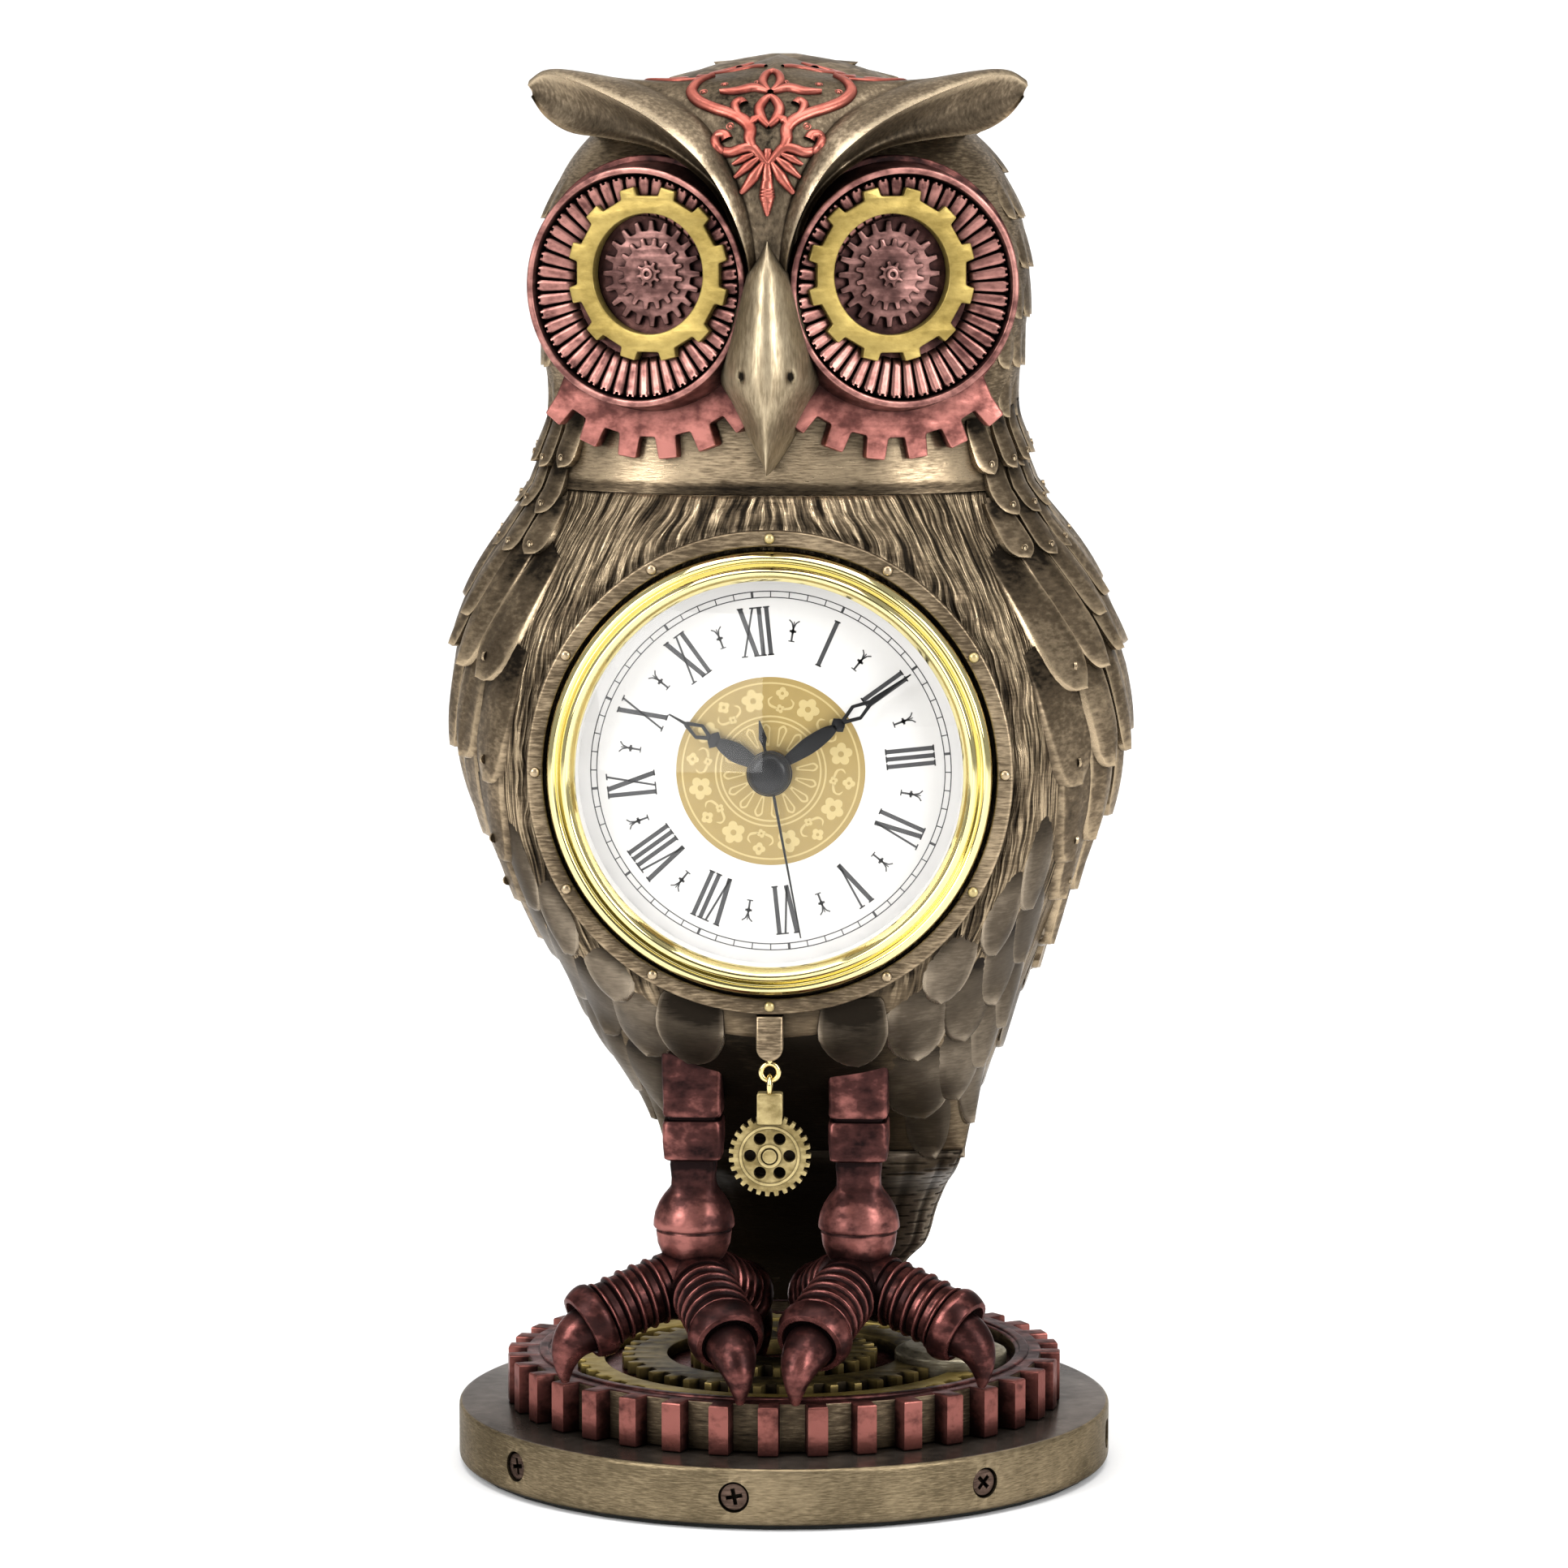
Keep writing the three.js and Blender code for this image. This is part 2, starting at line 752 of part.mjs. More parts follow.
const bodyRows = [
  [0, 0.5, 0.05, 0.88],
  [0.06, 0.535, 0.27, 0.9],
  [0.115, 0.575, 0.55, 0.915],
  [0.17, 0.628, 0.74, 0.93],
  [0.27, 0.72, 0.89, 0.955],
  [0.385, 0.83, 0.965, 0.98],
  [0.5, 0.932, 0.99, 1],
  [0.605, 0.985, 1, 1],
  [0.72, 0.985, 1, 0.985],
  [0.8, 0.953, 0.985, 0.96],
  [0.9, 0.885, 0.95, 0.9],
  [1, 0.775, 0.9, 0.82],
];

function bodySize(share, grow) {
  return [
    alongRows(bodyRows, share, 1) * bodyHalfWidth + grow,
    alongRows(bodyRows, share, 2) * bodyFront + grow,
    alongRows(bodyRows, share, 3) * bodyBack + grow,
  ];
}

// How far the body's middle stands to the side: the figure leans a little towards its tail
function bodyLean(share) {
  return bodySway * (1 - share) ** bodySwayPower;
}

// A point on the body's skin, which fills out forward to meet the chest ring
function bodyPoint(angle, share, grow) {
  const point = ovalPoint(angle, ...bodySize(share, grow), bodyRoundness, bodyBottom + share * bodyHeight);
  point.x += bodyLean(share);
  const away = Math.hypot(point.x, point.z - clockZ);
  const blendStart = ringOuterRadius + chestBlendGap;
  const near = 1 - THREE.MathUtils.smoothstep(away, blendStart, blendStart + chestBlend);
  if (point.y < 0) point.y += (Math.min(point.y, chestLevel - bossFront - grow) - point.y) * near;
  return point;
}

const insertFrame = new THREE.Group();
insertFrame.position.set(0, 0, clockZ);
insertFrame.rotation.set(Math.PI / 2, 0, 0);
insertFrame.updateMatrix();
clock.add(insertFrame);

function bodyShell() {
  const sides = 40;
  const shares = bodyRows.flatMap(([share], i) => (
    i > 0 ? [(share + bodyRows[i - 1][0]) / 2, share] : [share]
  ));
  const rings = shares.map((share) => Array.from({ length: sides }, (_, i) => (
    bodyPoint((2 * Math.PI * i) / sides, share, 0)
  )));
  const boss = bar(bossRadius, bossFront - pocketDepth, bossFront, 36).applyMatrix4(insertFrame.matrix);
  const pocket = bar(pocketRadius, bossFront - pocketDepth, bossFront + bezelHeight, 36);
  const socketWidth = legTopWidth + 2 * cutGap;
  const socket = box(socketWidth, socketWidth, bodyBottom - legTopWidth, legTop + seatGap);
  return cut(
    join(skin(rings), boss),
    pocket.applyMatrix4(insertFrame.matrix),
    moved(socket, legSpacing, -legForward, 0),
    moved(socket, -legSpacing, -legForward, 0),
  );
}

// Folded wing: a curved plate on the body's side; each row of feathers rises down to its scalloped tips
function wing(side) {
  const columns = 2 * wingFeathers + 1;
  const rows = [[0, 0]];
  for (const tip of wingFeatherTips) {
    const root = rows[rows.length - 1][0];
    rows.push([(root + tip) / 2, 0.5], [tip - wingFeatherStep, 1]);
    if (tip < 1) rows.push([tip, 0]);
  }
  const grid = (depth) => rows.map(([place, rise], r) => Array.from({ length: columns }, (_, c) => {
    const gapHere = c % 2 === 0 && r > 0 && r < rows.length - 1;
    const v = place - (gapHere ? wingScallop : 0);
    const u = c / (columns - 1);
    const share = THREE.MathUtils.lerp(wingTopShare, wingTipShare, v);
    const front = rad(wingFront + (wingTip - wingFront - wingTipSpread) * v ** wingTaper);
    const back = rad(wingBack + (wingTip - wingBack + wingTipSpread) * v ** wingTaper);
    const along = Math.sin(Math.PI * Math.min(v * wingSwellReach, 1));
    const swell = Math.sin(Math.PI * u) ** wingEdgeSwell * THREE.MathUtils.lerp(wingTopSwell, 1, along);
    const most = wingEdge + (wingThickness - wingEdge) * swell;
    const thickness = Math.max(most - wingFeatherRise * (1 - rise), wingEdge);
    const angle = THREE.MathUtils.lerp(front, back, u);
    return bodyPoint(side > 0 ? angle : Math.PI - angle, share, wingGap + depth * thickness);
  }));
  return shell(grid(0), grid(1));
}

// Tail: rows of length share, then width as a share of the body's, front and back as shares of its back
const tailRows = [
  [0, bodyRows[0][1], (bodyRows[0][2] * bodyFront) / bodyBack, bodyRows[0][3]],
  [0.233, 0.455, -0.275, 0.88],
  [0.467, 0.4, -0.51, 0.89],
  [0.677, 0.36, -0.65, 0.88],
  [0.78, 0.3, -0.71, 0.85],
  [1, 0.21, -0.77, 0.83],
];

function tail() {
  const rings = [];
  const top = bodyBottom - seatGap;
  const ringAt = (share, step) => {
    const halfWidth = alongRows(tailRows, share, 1) * bodyHalfWidth - step;
    const front = alongRows(tailRows, share, 2) * bodyBack - step;
    const back = alongRows(tailRows, share, 3) * bodyBack - step;
    const middle = (back - front) / 2;
    const depth = (back + front) / 2;
    const ring = ovalRing(16, halfWidth, depth, depth, bodyRoundness, top - share * tailLength);
    return ring.map((p) => p.add(new THREE.Vector3(bodySway, middle, 0)));
  };
  rings.push(ringAt(0, 0));
  for (let i = 1; i <= tailBands; i += 1) {
    const share = i / (tailBands + 1);
    rings.push(ringAt(share - tailBandShare, 0), ringAt(share, tailBandStep));
  }
  rings.push(ringAt(1, 0));
  return skin(rings);
}

addPiece(clock, 'body_shell', bodyShell(), bronze);
addPiece(clock, 'right_wing', wing(1), bronze);
addPiece(clock, 'left_wing', wing(-1), bronze);
addPiece(clock, 'tail', tail(), bronze);

// Head: rows of height share, then width, front and back as shares of the head's sizes

const headRows = [
  [0, 1.005, 0.94, 1],
  [0.08, 0.975, 0.935, 0.985],
  [0.17, 0.945, 0.94, 0.98],
  [0.29, 0.97, 0.97, 0.99],
  [0.46, 1, 1, 1],
  [0.57, 0.985, 0.99, 0.985],
  [0.67, 0.935, 0.95, 0.935],
  [0.77, 0.84, 0.86, 0.84],
  [0.86, 0.68, 0.69, 0.68],
  [0.935, 0.46, 0.46, 0.46],
  [0.98, 0.24, 0.23, 0.24],
  [1, 0.05, 0.05, 0.05],
];

function headLoft(grow) {
  const rings = headRows.map(([share, width, front, back]) => ovalRing(
    24,
    width * headHalfWidth + grow,
    front * headFront + grow,
    back * headBack + grow,
    headRoundness,
    seam + seatGap + share * (headHeight - seatGap) + grow * (share > 0.5 ? 1 : -1),
  ));
  return skin(rings);
}

function eyeFrame(side) {
  const frame = new THREE.Group();
  frame.position.set(side * eyeSpacing, -(headFront + eyeProud), seam + eyeAboveSeam);
  frame.rotation.set(Math.PI / 2, 0, side * rad(eyeYaw), 'ZYX');
  frame.updateMatrix();
  return frame;
}

const eyeFrames = { right: eyeFrame(1), left: eyeFrame(-1) };
const faceFlat = -eyeCupDepth - seatGap - backGearThickness - cutGap;

// The room in front of each eye's flat, out to a radius, beyond the face
function eyeRoom(radius, low, high) {
  return Object.values(eyeFrames).map((frame) => (
    bar(radius, low, high, 24).applyMatrix4(frame.matrix)
  ));
}

function headShell(grow) {
  return cut(headLoft(grow), ...eyeRoom(backGearTip + cutGap - grow, faceFlat + grow, 4 * eyeCupDepth));
}

function eyeCup() {
  const inner = eyeCupRadius - eyeRimWidth;
  return turned([
    [0, -eyeCupDepth],
    [eyeCupRadius, -eyeCupDepth],
    [eyeCupRadius, -eyeRimChamfer],
    [eyeCupRadius - eyeRimChamfer, 0],
    [inner, 0],
    [inner, -eyeRecess],
    [0, -eyeRecess],
  ], 24);
}

// Toothed skirt under the cup: a disc behind it, toothed along its lower side
function eyeBackGear() {
  const root = backGearTip - backGearToothDepth;
  const first = backGearTurn - ((backGearTeeth - 1) / 2) * backGearPitch;
  const points = [];
  const place = (radius, degrees) => points.push(new THREE.Vector2(...polar(radius, degrees)));
  for (let i = 0; i < backGearTeeth; i += 1) {
    const middle = first + i * backGearPitch;
    place(root, middle - backGearShares[1] * backGearPitch);
    place(backGearTip, middle - backGearShares[0] * backGearPitch);
    place(backGearTip, middle + backGearShares[0] * backGearPitch);
    place(root, middle + backGearShares[1] * backGearPitch);
  }
  const bare = Math.round(360 / backGearPitch) - backGearTeeth;
  const last = first + (backGearTeeth - 1) * backGearPitch;
  for (let i = 1; i < bare; i += 1) place(eyeCupRadius, last + ((360 - last + first) / bare) * i);
  return slab(new THREE.Shape(points), faceFlat + cutGap, -eyeCupDepth - seatGap);
}

function eyeGoldGear() {
  const root = goldGearTip - goldGearToothDepth;
  const outline = toothPoints(goldGearTeeth, root, goldGearTip, ...goldGearShares, rad(goldGearTurn));
  const shape = new THREE.Shape(outline);
  shape.holes.push(roundHole(goldGearHole, 18, 0, 0));
  return slab(shape, seatGap - eyeRecess, seatGap - eyeRecess + goldGearThickness);
}

function eyeCopperGear() {
  const low = seatGap - eyeRecess;
  return join(...copperGearRadii.map((tip, i) => slab(
    new THREE.Shape(toothPoints(copperGearTeeth[i], tip * copperGearRootShare, tip, 0, 1)),
    low,
    low + copperGearStep * (i + 1),
  )));
}

// Beak: rows of length share from the top, then width and reach as shares of the beak's sizes
const beakRows = [
  [0, 0.14, 0.66],
  [0.22, 0.5, 0.86],
  [0.45, 0.83, 0.96],
  [0.6, 1, 1],
  [0.75, 0.9, 1],
  [0.9, 0.5, 0.95],
  [1, 0.1, 0.88],
];

function beakLoft() {
  const rings = beakRows.map(([share, width, reach]) => ovalRing(
    12,
    width * beakHalfWidth,
    headFront + reach * beakReach,
    beakRoot - headFront,
    beakRoundness,
    seam + beakAboveSeam + (1 - share) * beakLength,
  ));
  return skin(rings);
}

// Brow: a hood with two horns. Each line runs from beside the beak to a horn's tip as
// [out from the middle, forward of the head's front, above the seam].
const browLines = {
  under: [
    [4, -3, 32.5], [5, -3, 46.5], [7, -3, 54.5], [11, -4, 60.5],
    [18, -6, 64.5], [26, -11, 66], [33, -18, 67], [42.8, -23.5, 71.5],
  ],
  lower: [
    [5.8, 4.5, 32.5], [6.2, 8, 47], [9.3, 7.5, 53.5], [14, 5.5, 58.1],
    [20.5, 2.5, 61.7], [29, -3, 63.4], [36.6, -10.5, 64.4], [44.6, -20.7, 70.7],
  ],
  ridge: [
    [4.6, 6.4, 33.5], [5.4, 12, 48.7], [9.4, 12.4, 56.5], [14.1, 10.6, 61.9],
    [21.4, 6.2, 67.3], [30.5, -2, 71.7], [38, -10.5, 74.3], [45.2, -21.2, 72.7],
  ],
  upper: [
    [3, 6.4, 34.5], [3.6, 9.6, 50.9], [7.2, 7.8, 59.7], [12.2, 2.6, 66.9],
    [21, -6, 72.1], [30.4, -12.5, 74.5], [37.4, -17.6, 75.3], [44.7, -22.6, 73.2],
  ],
  saddle: [
    [1.5, 6.4, 34.8], [1.8, 10, 51.1], [3.6, 8.2, 59.9], [6.2, 3.2, 67.3],
    [11, -4.8, 72.3], [16.5, -12, 73.6], [20, -18.3, 73.6], [22, -27, 73.2],
  ],
  middle: [
    [0, 6.4, 35], [0, 10.2, 51.3], [0, 8.4, 60.1], [0, 3.6, 67.7],
    [0, -3.6, 73.5], [0, -11.5, 76.3], [0, -19, 77.7], [0, -32, 78.4],
  ],
};

function browLoft() {
  const line = (points) => new THREE.CatmullRomCurve3(points.map(([x, forward, up]) => (
    new THREE.Vector3(x, -headFront - forward, seam + up)
  )));
  const lines = Object.fromEntries(Object.entries(browLines).map(([name, points]) => [name, line(points)]));
  const rings = Array.from({ length: browRings }, (_, i) => {
    const t = i / (browRings - 1);
    const at = (name) => lines[name].getPoint(t);
    const hollow = at('lower').lerp(at('ridge'), 0.5);
    const depth = browHollow * Math.sqrt(Math.sin(Math.PI * t));
    const [inward, forward, up] = browHollowTurn;
    hollow.addScaledVector(new THREE.Vector3(-inward, -forward, up), depth);
    const side = [at('under'), at('lower'), hollow, at('ridge'), at('upper'), at('saddle')];
    const other = side.map((p) => new THREE.Vector3(-p.x, p.y, p.z)).reverse();
    return [...side, at('middle'), ...other];
  });
  const [narrow, forward, up] = browTuck;
  rings.push(rings[browRings - 1].map((p) => new THREE.Vector3(p.x * narrow, p.y - forward, p.z + up)));
  return skin(rings);
}

const headGeometry = headShell(0);
const headRoom = headShell(cutGap);
const eyeRoomTools = eyeRoom(eyeCupRadius + cutGap, faceFlat, cutGap);
const skirtRoom = eyeRoom(backGearTip + cutGap, faceFlat, cutGap - eyeCupDepth);
addPiece(clock, 'head_shell', headGeometry, bronze);
const browGeometry = browLoft();
const browRoom = [[0, 0, 0], [0, -cutGap, 0], [0, 0, -cutGap], [cutGap, 0, 0], [-cutGap, 0, 0]]
  .map((by) => moved(browGeometry, ...by));
addPiece(clock, 'brow_crest', cut(browGeometry, headRoom, ...eyeRoomTools), bronze);
addPiece(clock, 'beak', cut(beakLoft(), headRoom, ...browRoom, ...eyeRoomTools, ...skirtRoom), bronze);
for (const [side, frame] of Object.entries(eyeFrames)) {
  const sign = side === 'right' ? 1 : -1;
  clock.add(frame);
  addPiece(frame, `${side}_eye_cup`, eyeCup(), copper);
  addPiece(frame, `${side}_eye_back_gear`, sign > 0 ? eyeBackGear() : mirrored(eyeBackGear()), copper);
  const shift = new THREE.Group();
  shift.position.set(-sign * goldGearShift, goldGearShift, 0);
  frame.add(shift);
  addPiece(shift, `${side}_eye_gold_gear`, eyeGoldGear(), oldGold);
  addPiece(shift, `${side}_eye_copper_gear`, eyeCopperGear(), copper);
}

// Chest ring with its rivets; from here local +Z looks out of the dial

function chestRing() {
  const inner = ringOuterRadius - ringWidth;
  const low = bossFront + seatGap;
  const high = low + ringThickness;
  const ring = turned([
    [inner, low],
    [ringOuterRadius, low],
    [ringOuterRadius, high - ringChamfer],
    [ringOuterRadius - ringChamfer, high],
    [inner, high],
    [inner, low],
  ], 36);
  const rivets = Array.from({ length: ringRivets }, (_, i) => {
    const angle = (2 * Math.PI * i) / ringRivets;
    const circle = ringOuterRadius - ringWidth / 2;
    const rivet = bar(rivetRadius, high - rivetRoot, high + rivetHeight, 6);
    return moved(rivet, circle * Math.sin(angle), circle * Math.cos(angle), 0);
  });
  return join(ring, ...rivets);
}

addPiece(insertFrame, 'chest_ring', chestRing(), bronze);

// Insert clock: case, dial, glass and bezel

const bezelBack = bossFront + seatGap;
const bezelFront = bezelBack + bezelHeight;
const lipBack = bezelFront - bezelLip;
const lensBack = lipBack - seatGap - lensThickness;
const caseFront = lensBack - seatGap;
const caseBack = bossFront - caseDepth;
const dialFront = caseFront - dialRecess;
const dialBack = dialFront - dialThickness;
const ledgeFront = dialBack - seatGap;
const frontPlateFront = dialBack - seatGap;
const frontPlateBack = frontPlateFront - frontPlateThickness;
const backPlateFront = frontPlateBack - trainSpace;
const backPlateBack = backPlateFront - backPlateThickness;
const dialRadius = caseRadius - caseWall - 2 * seatGap;

function bezel() {
  const bore = caseRadius + bezelBoreGap;
  return turned([
    [bore, bezelBack],
    [bezelRadius, bezelBack],
    ...bezelSteps.map(([inset, rise]) => [bezelRadius - inset, bezelBack + bezelHeight * rise]),
    [lensVisibleRadius, lipBack],
    [bore, lipBack],
    [bore, bezelBack],
  ], 36);
}

function lens() {
  const edge = caseRadius - lensEdgeGap;
  const clear = lensVisibleRadius - lensRimGap;
  const front = lensBack + lensThickness;
  const middle = (base) => [clear / 2, base + lensDome * (1 - 1 / 4)];
  return turned([
    [0, lensBack + lensDome],
    middle(lensBack),
    [clear, lensBack],
    [edge, lensBack],
    [edge, front],
    [clear, front],
    middle(front),
    [0, front + lensDome],
  ], 24);
}

function dial() {
  const shape = new THREE.Shape(circlePoints(dialRadius, 28));
  shape.holes.push(roundHole(centrePipeRadius + runGap, 16, 0, 0));
  return slab(shape, dialBack, dialFront);
}

const motionPlace = polar(((cannonTeeth + motionTeeth) * motionModule) / 2, motionAngle);

function insertCase() {
  const wall = caseRadius - caseWall;
  const behind = wall - caseLedge;
  const cup = turned([
    [0, caseBack],
    [caseRadius, caseBack],
    [caseRadius, caseFront],
    [wall, caseFront],
    [wall, ledgeFront],
    [behind, ledgeFront],
    [behind, caseBack + caseBackWall],
    [0, caseBack + caseBackWall],
  ], 28);
  const railLength = doorWidth + doorTravel;
  const railHeight = doorThickness + 2 * seatGap;
  const railSide = doorWidth / 2 + runGap + railWidth / 2;
  const lipWidth = railWidth + railLip;
  const railEnd = caseBack - railHeight - railLipThickness;
  const rails = [1, -1].flatMap((side) => {
    const y = cellPlace[1] + side * railSide;
    const x = cellPlace[0] - doorTravel / 2;
    const post = box(railLength, railWidth, railEnd, caseBack + rootOverlap);
    const lip = box(railLength, lipWidth, railEnd, caseBack - railHeight);
    return [moved(post, x, y, 0), moved(lip, x, y - (side * (lipWidth - railWidth)) / 2, 0)];
  });
  const through = [caseBack - caseBackWall, caseBack + 2 * caseBackWall];
  const cellDoorway = bar(cellRadius + cellGap, ...through);
  const shaftHole = bar(knobShaftRadius + runGap, ...through);
  return cut(
    join(cup, ...rails),
    moved(cellDoorway, ...cellPlace, 0),
    moved(shaftHole, ...motionPlace, 0),
  );
}

function gasket() {
  const high = bossFront - gasketFromFront;
  const low = high - gasketWidth;
  const [inner, outer] = [caseRadius + seatGap, pocketRadius - runGap];
  const middle = (low + high) / 2;
  return turned([[inner, low], [outer, middle], [inner, high], [inner, low]], 28);
}

addPiece(insertFrame, 'bezel', bezel(), brightGold);
addPiece(insertFrame, 'lens', lens(), clearGlass);
addPiece(insertFrame, 'dial', dial(), whitePaint);
addPiece(insertFrame, 'insert_case', insertCase(), casePlastic);
addPiece(insertFrame, 'gasket', gasket(), darkRubber);

// Movement: the places of the arbors in the train

const thirdDistance = ((secondPinion + thirdTeeth) * thirdModule) / 2;
const minuteModule = (2 * thirdDistance) / (thirdPinion + minuteTeeth);
const intermediateDistance = ((secondTeeth + intermediatePinion) * stepModule) / 2;
const rotorDistance = ((intermediateTeeth + rotorPinion) * stepModule) / 2;

const thirdPlace = polar(thirdDistance, thirdAngle);
const intermediatePlace = polar(intermediateDistance, intermediateAngle);
const rotorPlace = polar(intermediateDistance + rotorDistance, intermediateAngle);

// Heights of the wheels above the back plate
const stepLevel = backPlateFront + stepRise;
const secondLevel = backPlateFront + secondRise;
const thirdLevel = backPlateFront + thirdRise;
const minuteLevel = backPlateFront + minuteRise;
const cannonLevel = backPlateFront + cannonRise;
const hourLevel = frontPlateBack - hourDrop - wheelThickness;

// Where a wheel's first tooth lies so that it meets a gap of the wheel that it works with
function meshPhase(direction, teethA, phaseA, teethB) {
  const along = ((rad(direction) - phaseA) * teethA) / (2 * Math.PI);
  return rad(direction) + Math.PI - ((0.5 - along) * 2 * Math.PI) / teethB;
}

function wheel(teeth, module, phase, low, high) {
  const pitch = (teeth * module) / 2;
  const root = pitch - wheelDedendum * module;
  const points = toothPoints(teeth, root, pitch + wheelAddendum * module, 0, 1, phase);
  return slab(new THREE.Shape(points), low, high);
}

const thirdPhase = meshPhase(thirdAngle, secondPinion, 0, thirdTeeth);
const minutePhase = meshPhase(thirdAngle + 180, thirdPinion, 0, minuteTeeth);
const intermediatePhase = meshPhase(intermediateAngle, secondTeeth, 0, intermediatePinion);
const rotorPhase = meshPhase(intermediateAngle, intermediateTeeth, 0, rotorPinion);
const motionPhase = meshPhase(motionAngle, cannonTeeth, 0, motionTeeth);
const hourPhase = meshPhase(motionAngle + 180, motionPinion, 0, hourTeeth);

const pivotBack = backPlateBack + pivotRecess;
const pivotFront = frontPlateFront - pivotRecess;

function wheelLevel(teeth, module, phase, level) {
  return wheel(teeth, module, phase, level, level + wheelThickness);
}

function pinionLevel(teeth, module, phase, level) {
  return wheel(teeth, module, phase, level - pinionOverlap, level + wheelThickness + pinionOverlap);
}

function rotor() {
  const magnetLow = stepLevel + wheelThickness + rotorMagnetRise;
  return join(
    pinionLevel(rotorPinion, stepModule, rotorPhase, stepLevel),
    bar(rotorMagnetRadius, magnetLow, magnetLow + rotorMagnetHeight, 16),
    bar(pivotRadius, pivotBack, pivotFront, 8),
  );
}

function intermediateWheel() {
  return join(
    wheelLevel(intermediateTeeth, stepModule, 0, stepLevel),
    pinionLevel(intermediatePinion, stepModule, intermediatePhase, secondLevel),
    bar(pivotRadius, pivotBack, pivotFront, 8),
  );
}

const hourHandLow = dialFront + pipeRise + pipeRise;
const minuteHandLow = hourHandLow + handStep;
const secondHandLow = minuteHandLow + handStep;

function secondWheel() {
  return join(
    wheelLevel(secondTeeth, stepModule, 0, secondLevel),
    pinionLevel(secondPinion, thirdModule, 0, thirdLevel),
    bar(secondArborRadius, pivotBack, secondHandLow + handThickness, 12),
  );
}

function thirdWheel() {
  return join(
    wheelLevel(thirdTeeth, thirdModule, thirdPhase, thirdLevel),
    pinionLevel(thirdPinion, minuteModule, 0, minuteLevel),
    bar(pivotRadius, pivotBack, pivotFront, 8),
  );
}

function minuteWheel() {
  const pipeTop = minuteHandLow + handThickness;
  return cut(
    join(
      wheelLevel(minuteTeeth, minuteModule, minutePhase, minuteLevel),
      pinionLevel(cannonTeeth, motionModule, 0, cannonLevel),
      bar(minutePipeRadius, minuteLevel, pipeTop, 12),
    ),
    bar(secondArborRadius + runGap, minuteLevel - wheelThickness, pipeTop + handStep, 10),
  );
}

function motionWheel() {
  return join(
    wheelLevel(motionTeeth, motionModule, motionPhase, cannonLevel),
    pinionLevel(motionPinion, motionModule, 0, hourLevel),
    bar(knobShaftRadius, caseBack - knobSocketDepth, pivotFront, 10),
  );
}

function hourWheel() {
  const pipeTop = hourHandLow + handThickness;
  return cut(
    join(
      wheelLevel(hourTeeth, motionModule, hourPhase, hourLevel),
      bar(hourPipeRadius, hourLevel, pipeTop, 16),
    ),
    bar(minutePipeRadius + runGap, hourLevel - wheelThickness, pipeTop + handStep, 16),
  );
}

function setKnob() {
  const high = caseBack - 2 * seatGap;
  const outline = toothPoints(knobTeeth, knobRadius - knobToothDepth, knobRadius, 0, 1);
  const socketEnd = caseBack - knobSocketDepth - seatGap;
  return cut(
    slab(new THREE.Shape(outline), high - knobHeight, high),
    bar(knobShaftRadius + seatGap, socketEnd, caseBack, 12),
  );
}

const arborPlaces = [rotorPlace, intermediatePlace, thirdPlace];

function platePillars() {
  return pillarAngles.map((angle) => polar(pillarCircle, angle));
}

function frontPlate() {
  const shape = new THREE.Shape(circlePoints(plateRadius, 24));
  for (const place of [...arborPlaces, motionPlace]) {
    const hole = place === motionPlace ? knobShaftRadius + runGap : pivotRadius + pivotGap;
    shape.holes.push(roundHole(hole, 8, ...place));
  }
  const pillars = platePillars().map(([x, y]) => (
    moved(bar(pillarRadius, backPlateFront + seatGap, frontPlateFront - rootOverlap, 10), x, y, 0)
  ));
  const pipe = bar(centrePipeRadius, frontPlateBack, dialFront + pipeRise, 16);
  const bore = bar(hourPipeRadius + runGap, frontPlateBack - pipeRise, dialFront + 2 * pipeRise, 16);
  return cut(join(slab(shape, frontPlateBack, frontPlateFront), pipe, ...pillars), bore);
}

const stepperLow = stepLevel + wheelThickness + statorRise;
const stepperHigh = stepperLow + statorThickness;
const statorEdge = rotorPlace[0] + statorWidth / 2;
const coilPlace = rotorPlace[1] - coilDrop;

function backPlate() {
  const shape = new THREE.Shape(circlePoints(plateRadius, 24));
  for (const place of arborPlaces) shape.holes.push(roundHole(pivotRadius + pivotGap, 8, ...place));
  shape.holes.push(roundHole(secondArborRadius + pivotGap, 8, 0, 0));
  shape.holes.push(roundHole(knobShaftRadius + runGap, 8, ...motionPlace));
  const post = bar(pillarRadius, backPlateBack + rootOverlap, stepperLow - seatGap, 10);
  return join(
    slab(shape, backPlateBack, backPlateFront),
    moved(post, rotorPlace[0], coilPlace, 0),
    moved(post, statorEdge + coilLength + coreSpare / 2, coilPlace, 0),
  );
}

function stator() {
  const left = rotorPlace[0] - statorWidth / 2;
  const shape = new THREE.Shape([
    [left, coilPlace - statorTail], [statorEdge, coilPlace - statorTail],
    [statorEdge, rotorPlace[1] + statorWidth / 2], [left, rotorPlace[1] + statorWidth / 2],
  ].map(([x, y]) => new THREE.Vector2(x, y)));
  shape.holes.push(roundHole(rotorMagnetRadius + statorGap, 16, ...rotorPlace));
  const coreLength = coilLength + coreSpare;
  const core = box(coreLength, coreWidth, stepperLow, stepperHigh);
  const coreMiddle = statorEdge + coreLength / 2 - coreOverlap;
  return join(slab(shape, stepperLow, stepperHigh), moved(core, coreMiddle, coilPlace, 0));
}

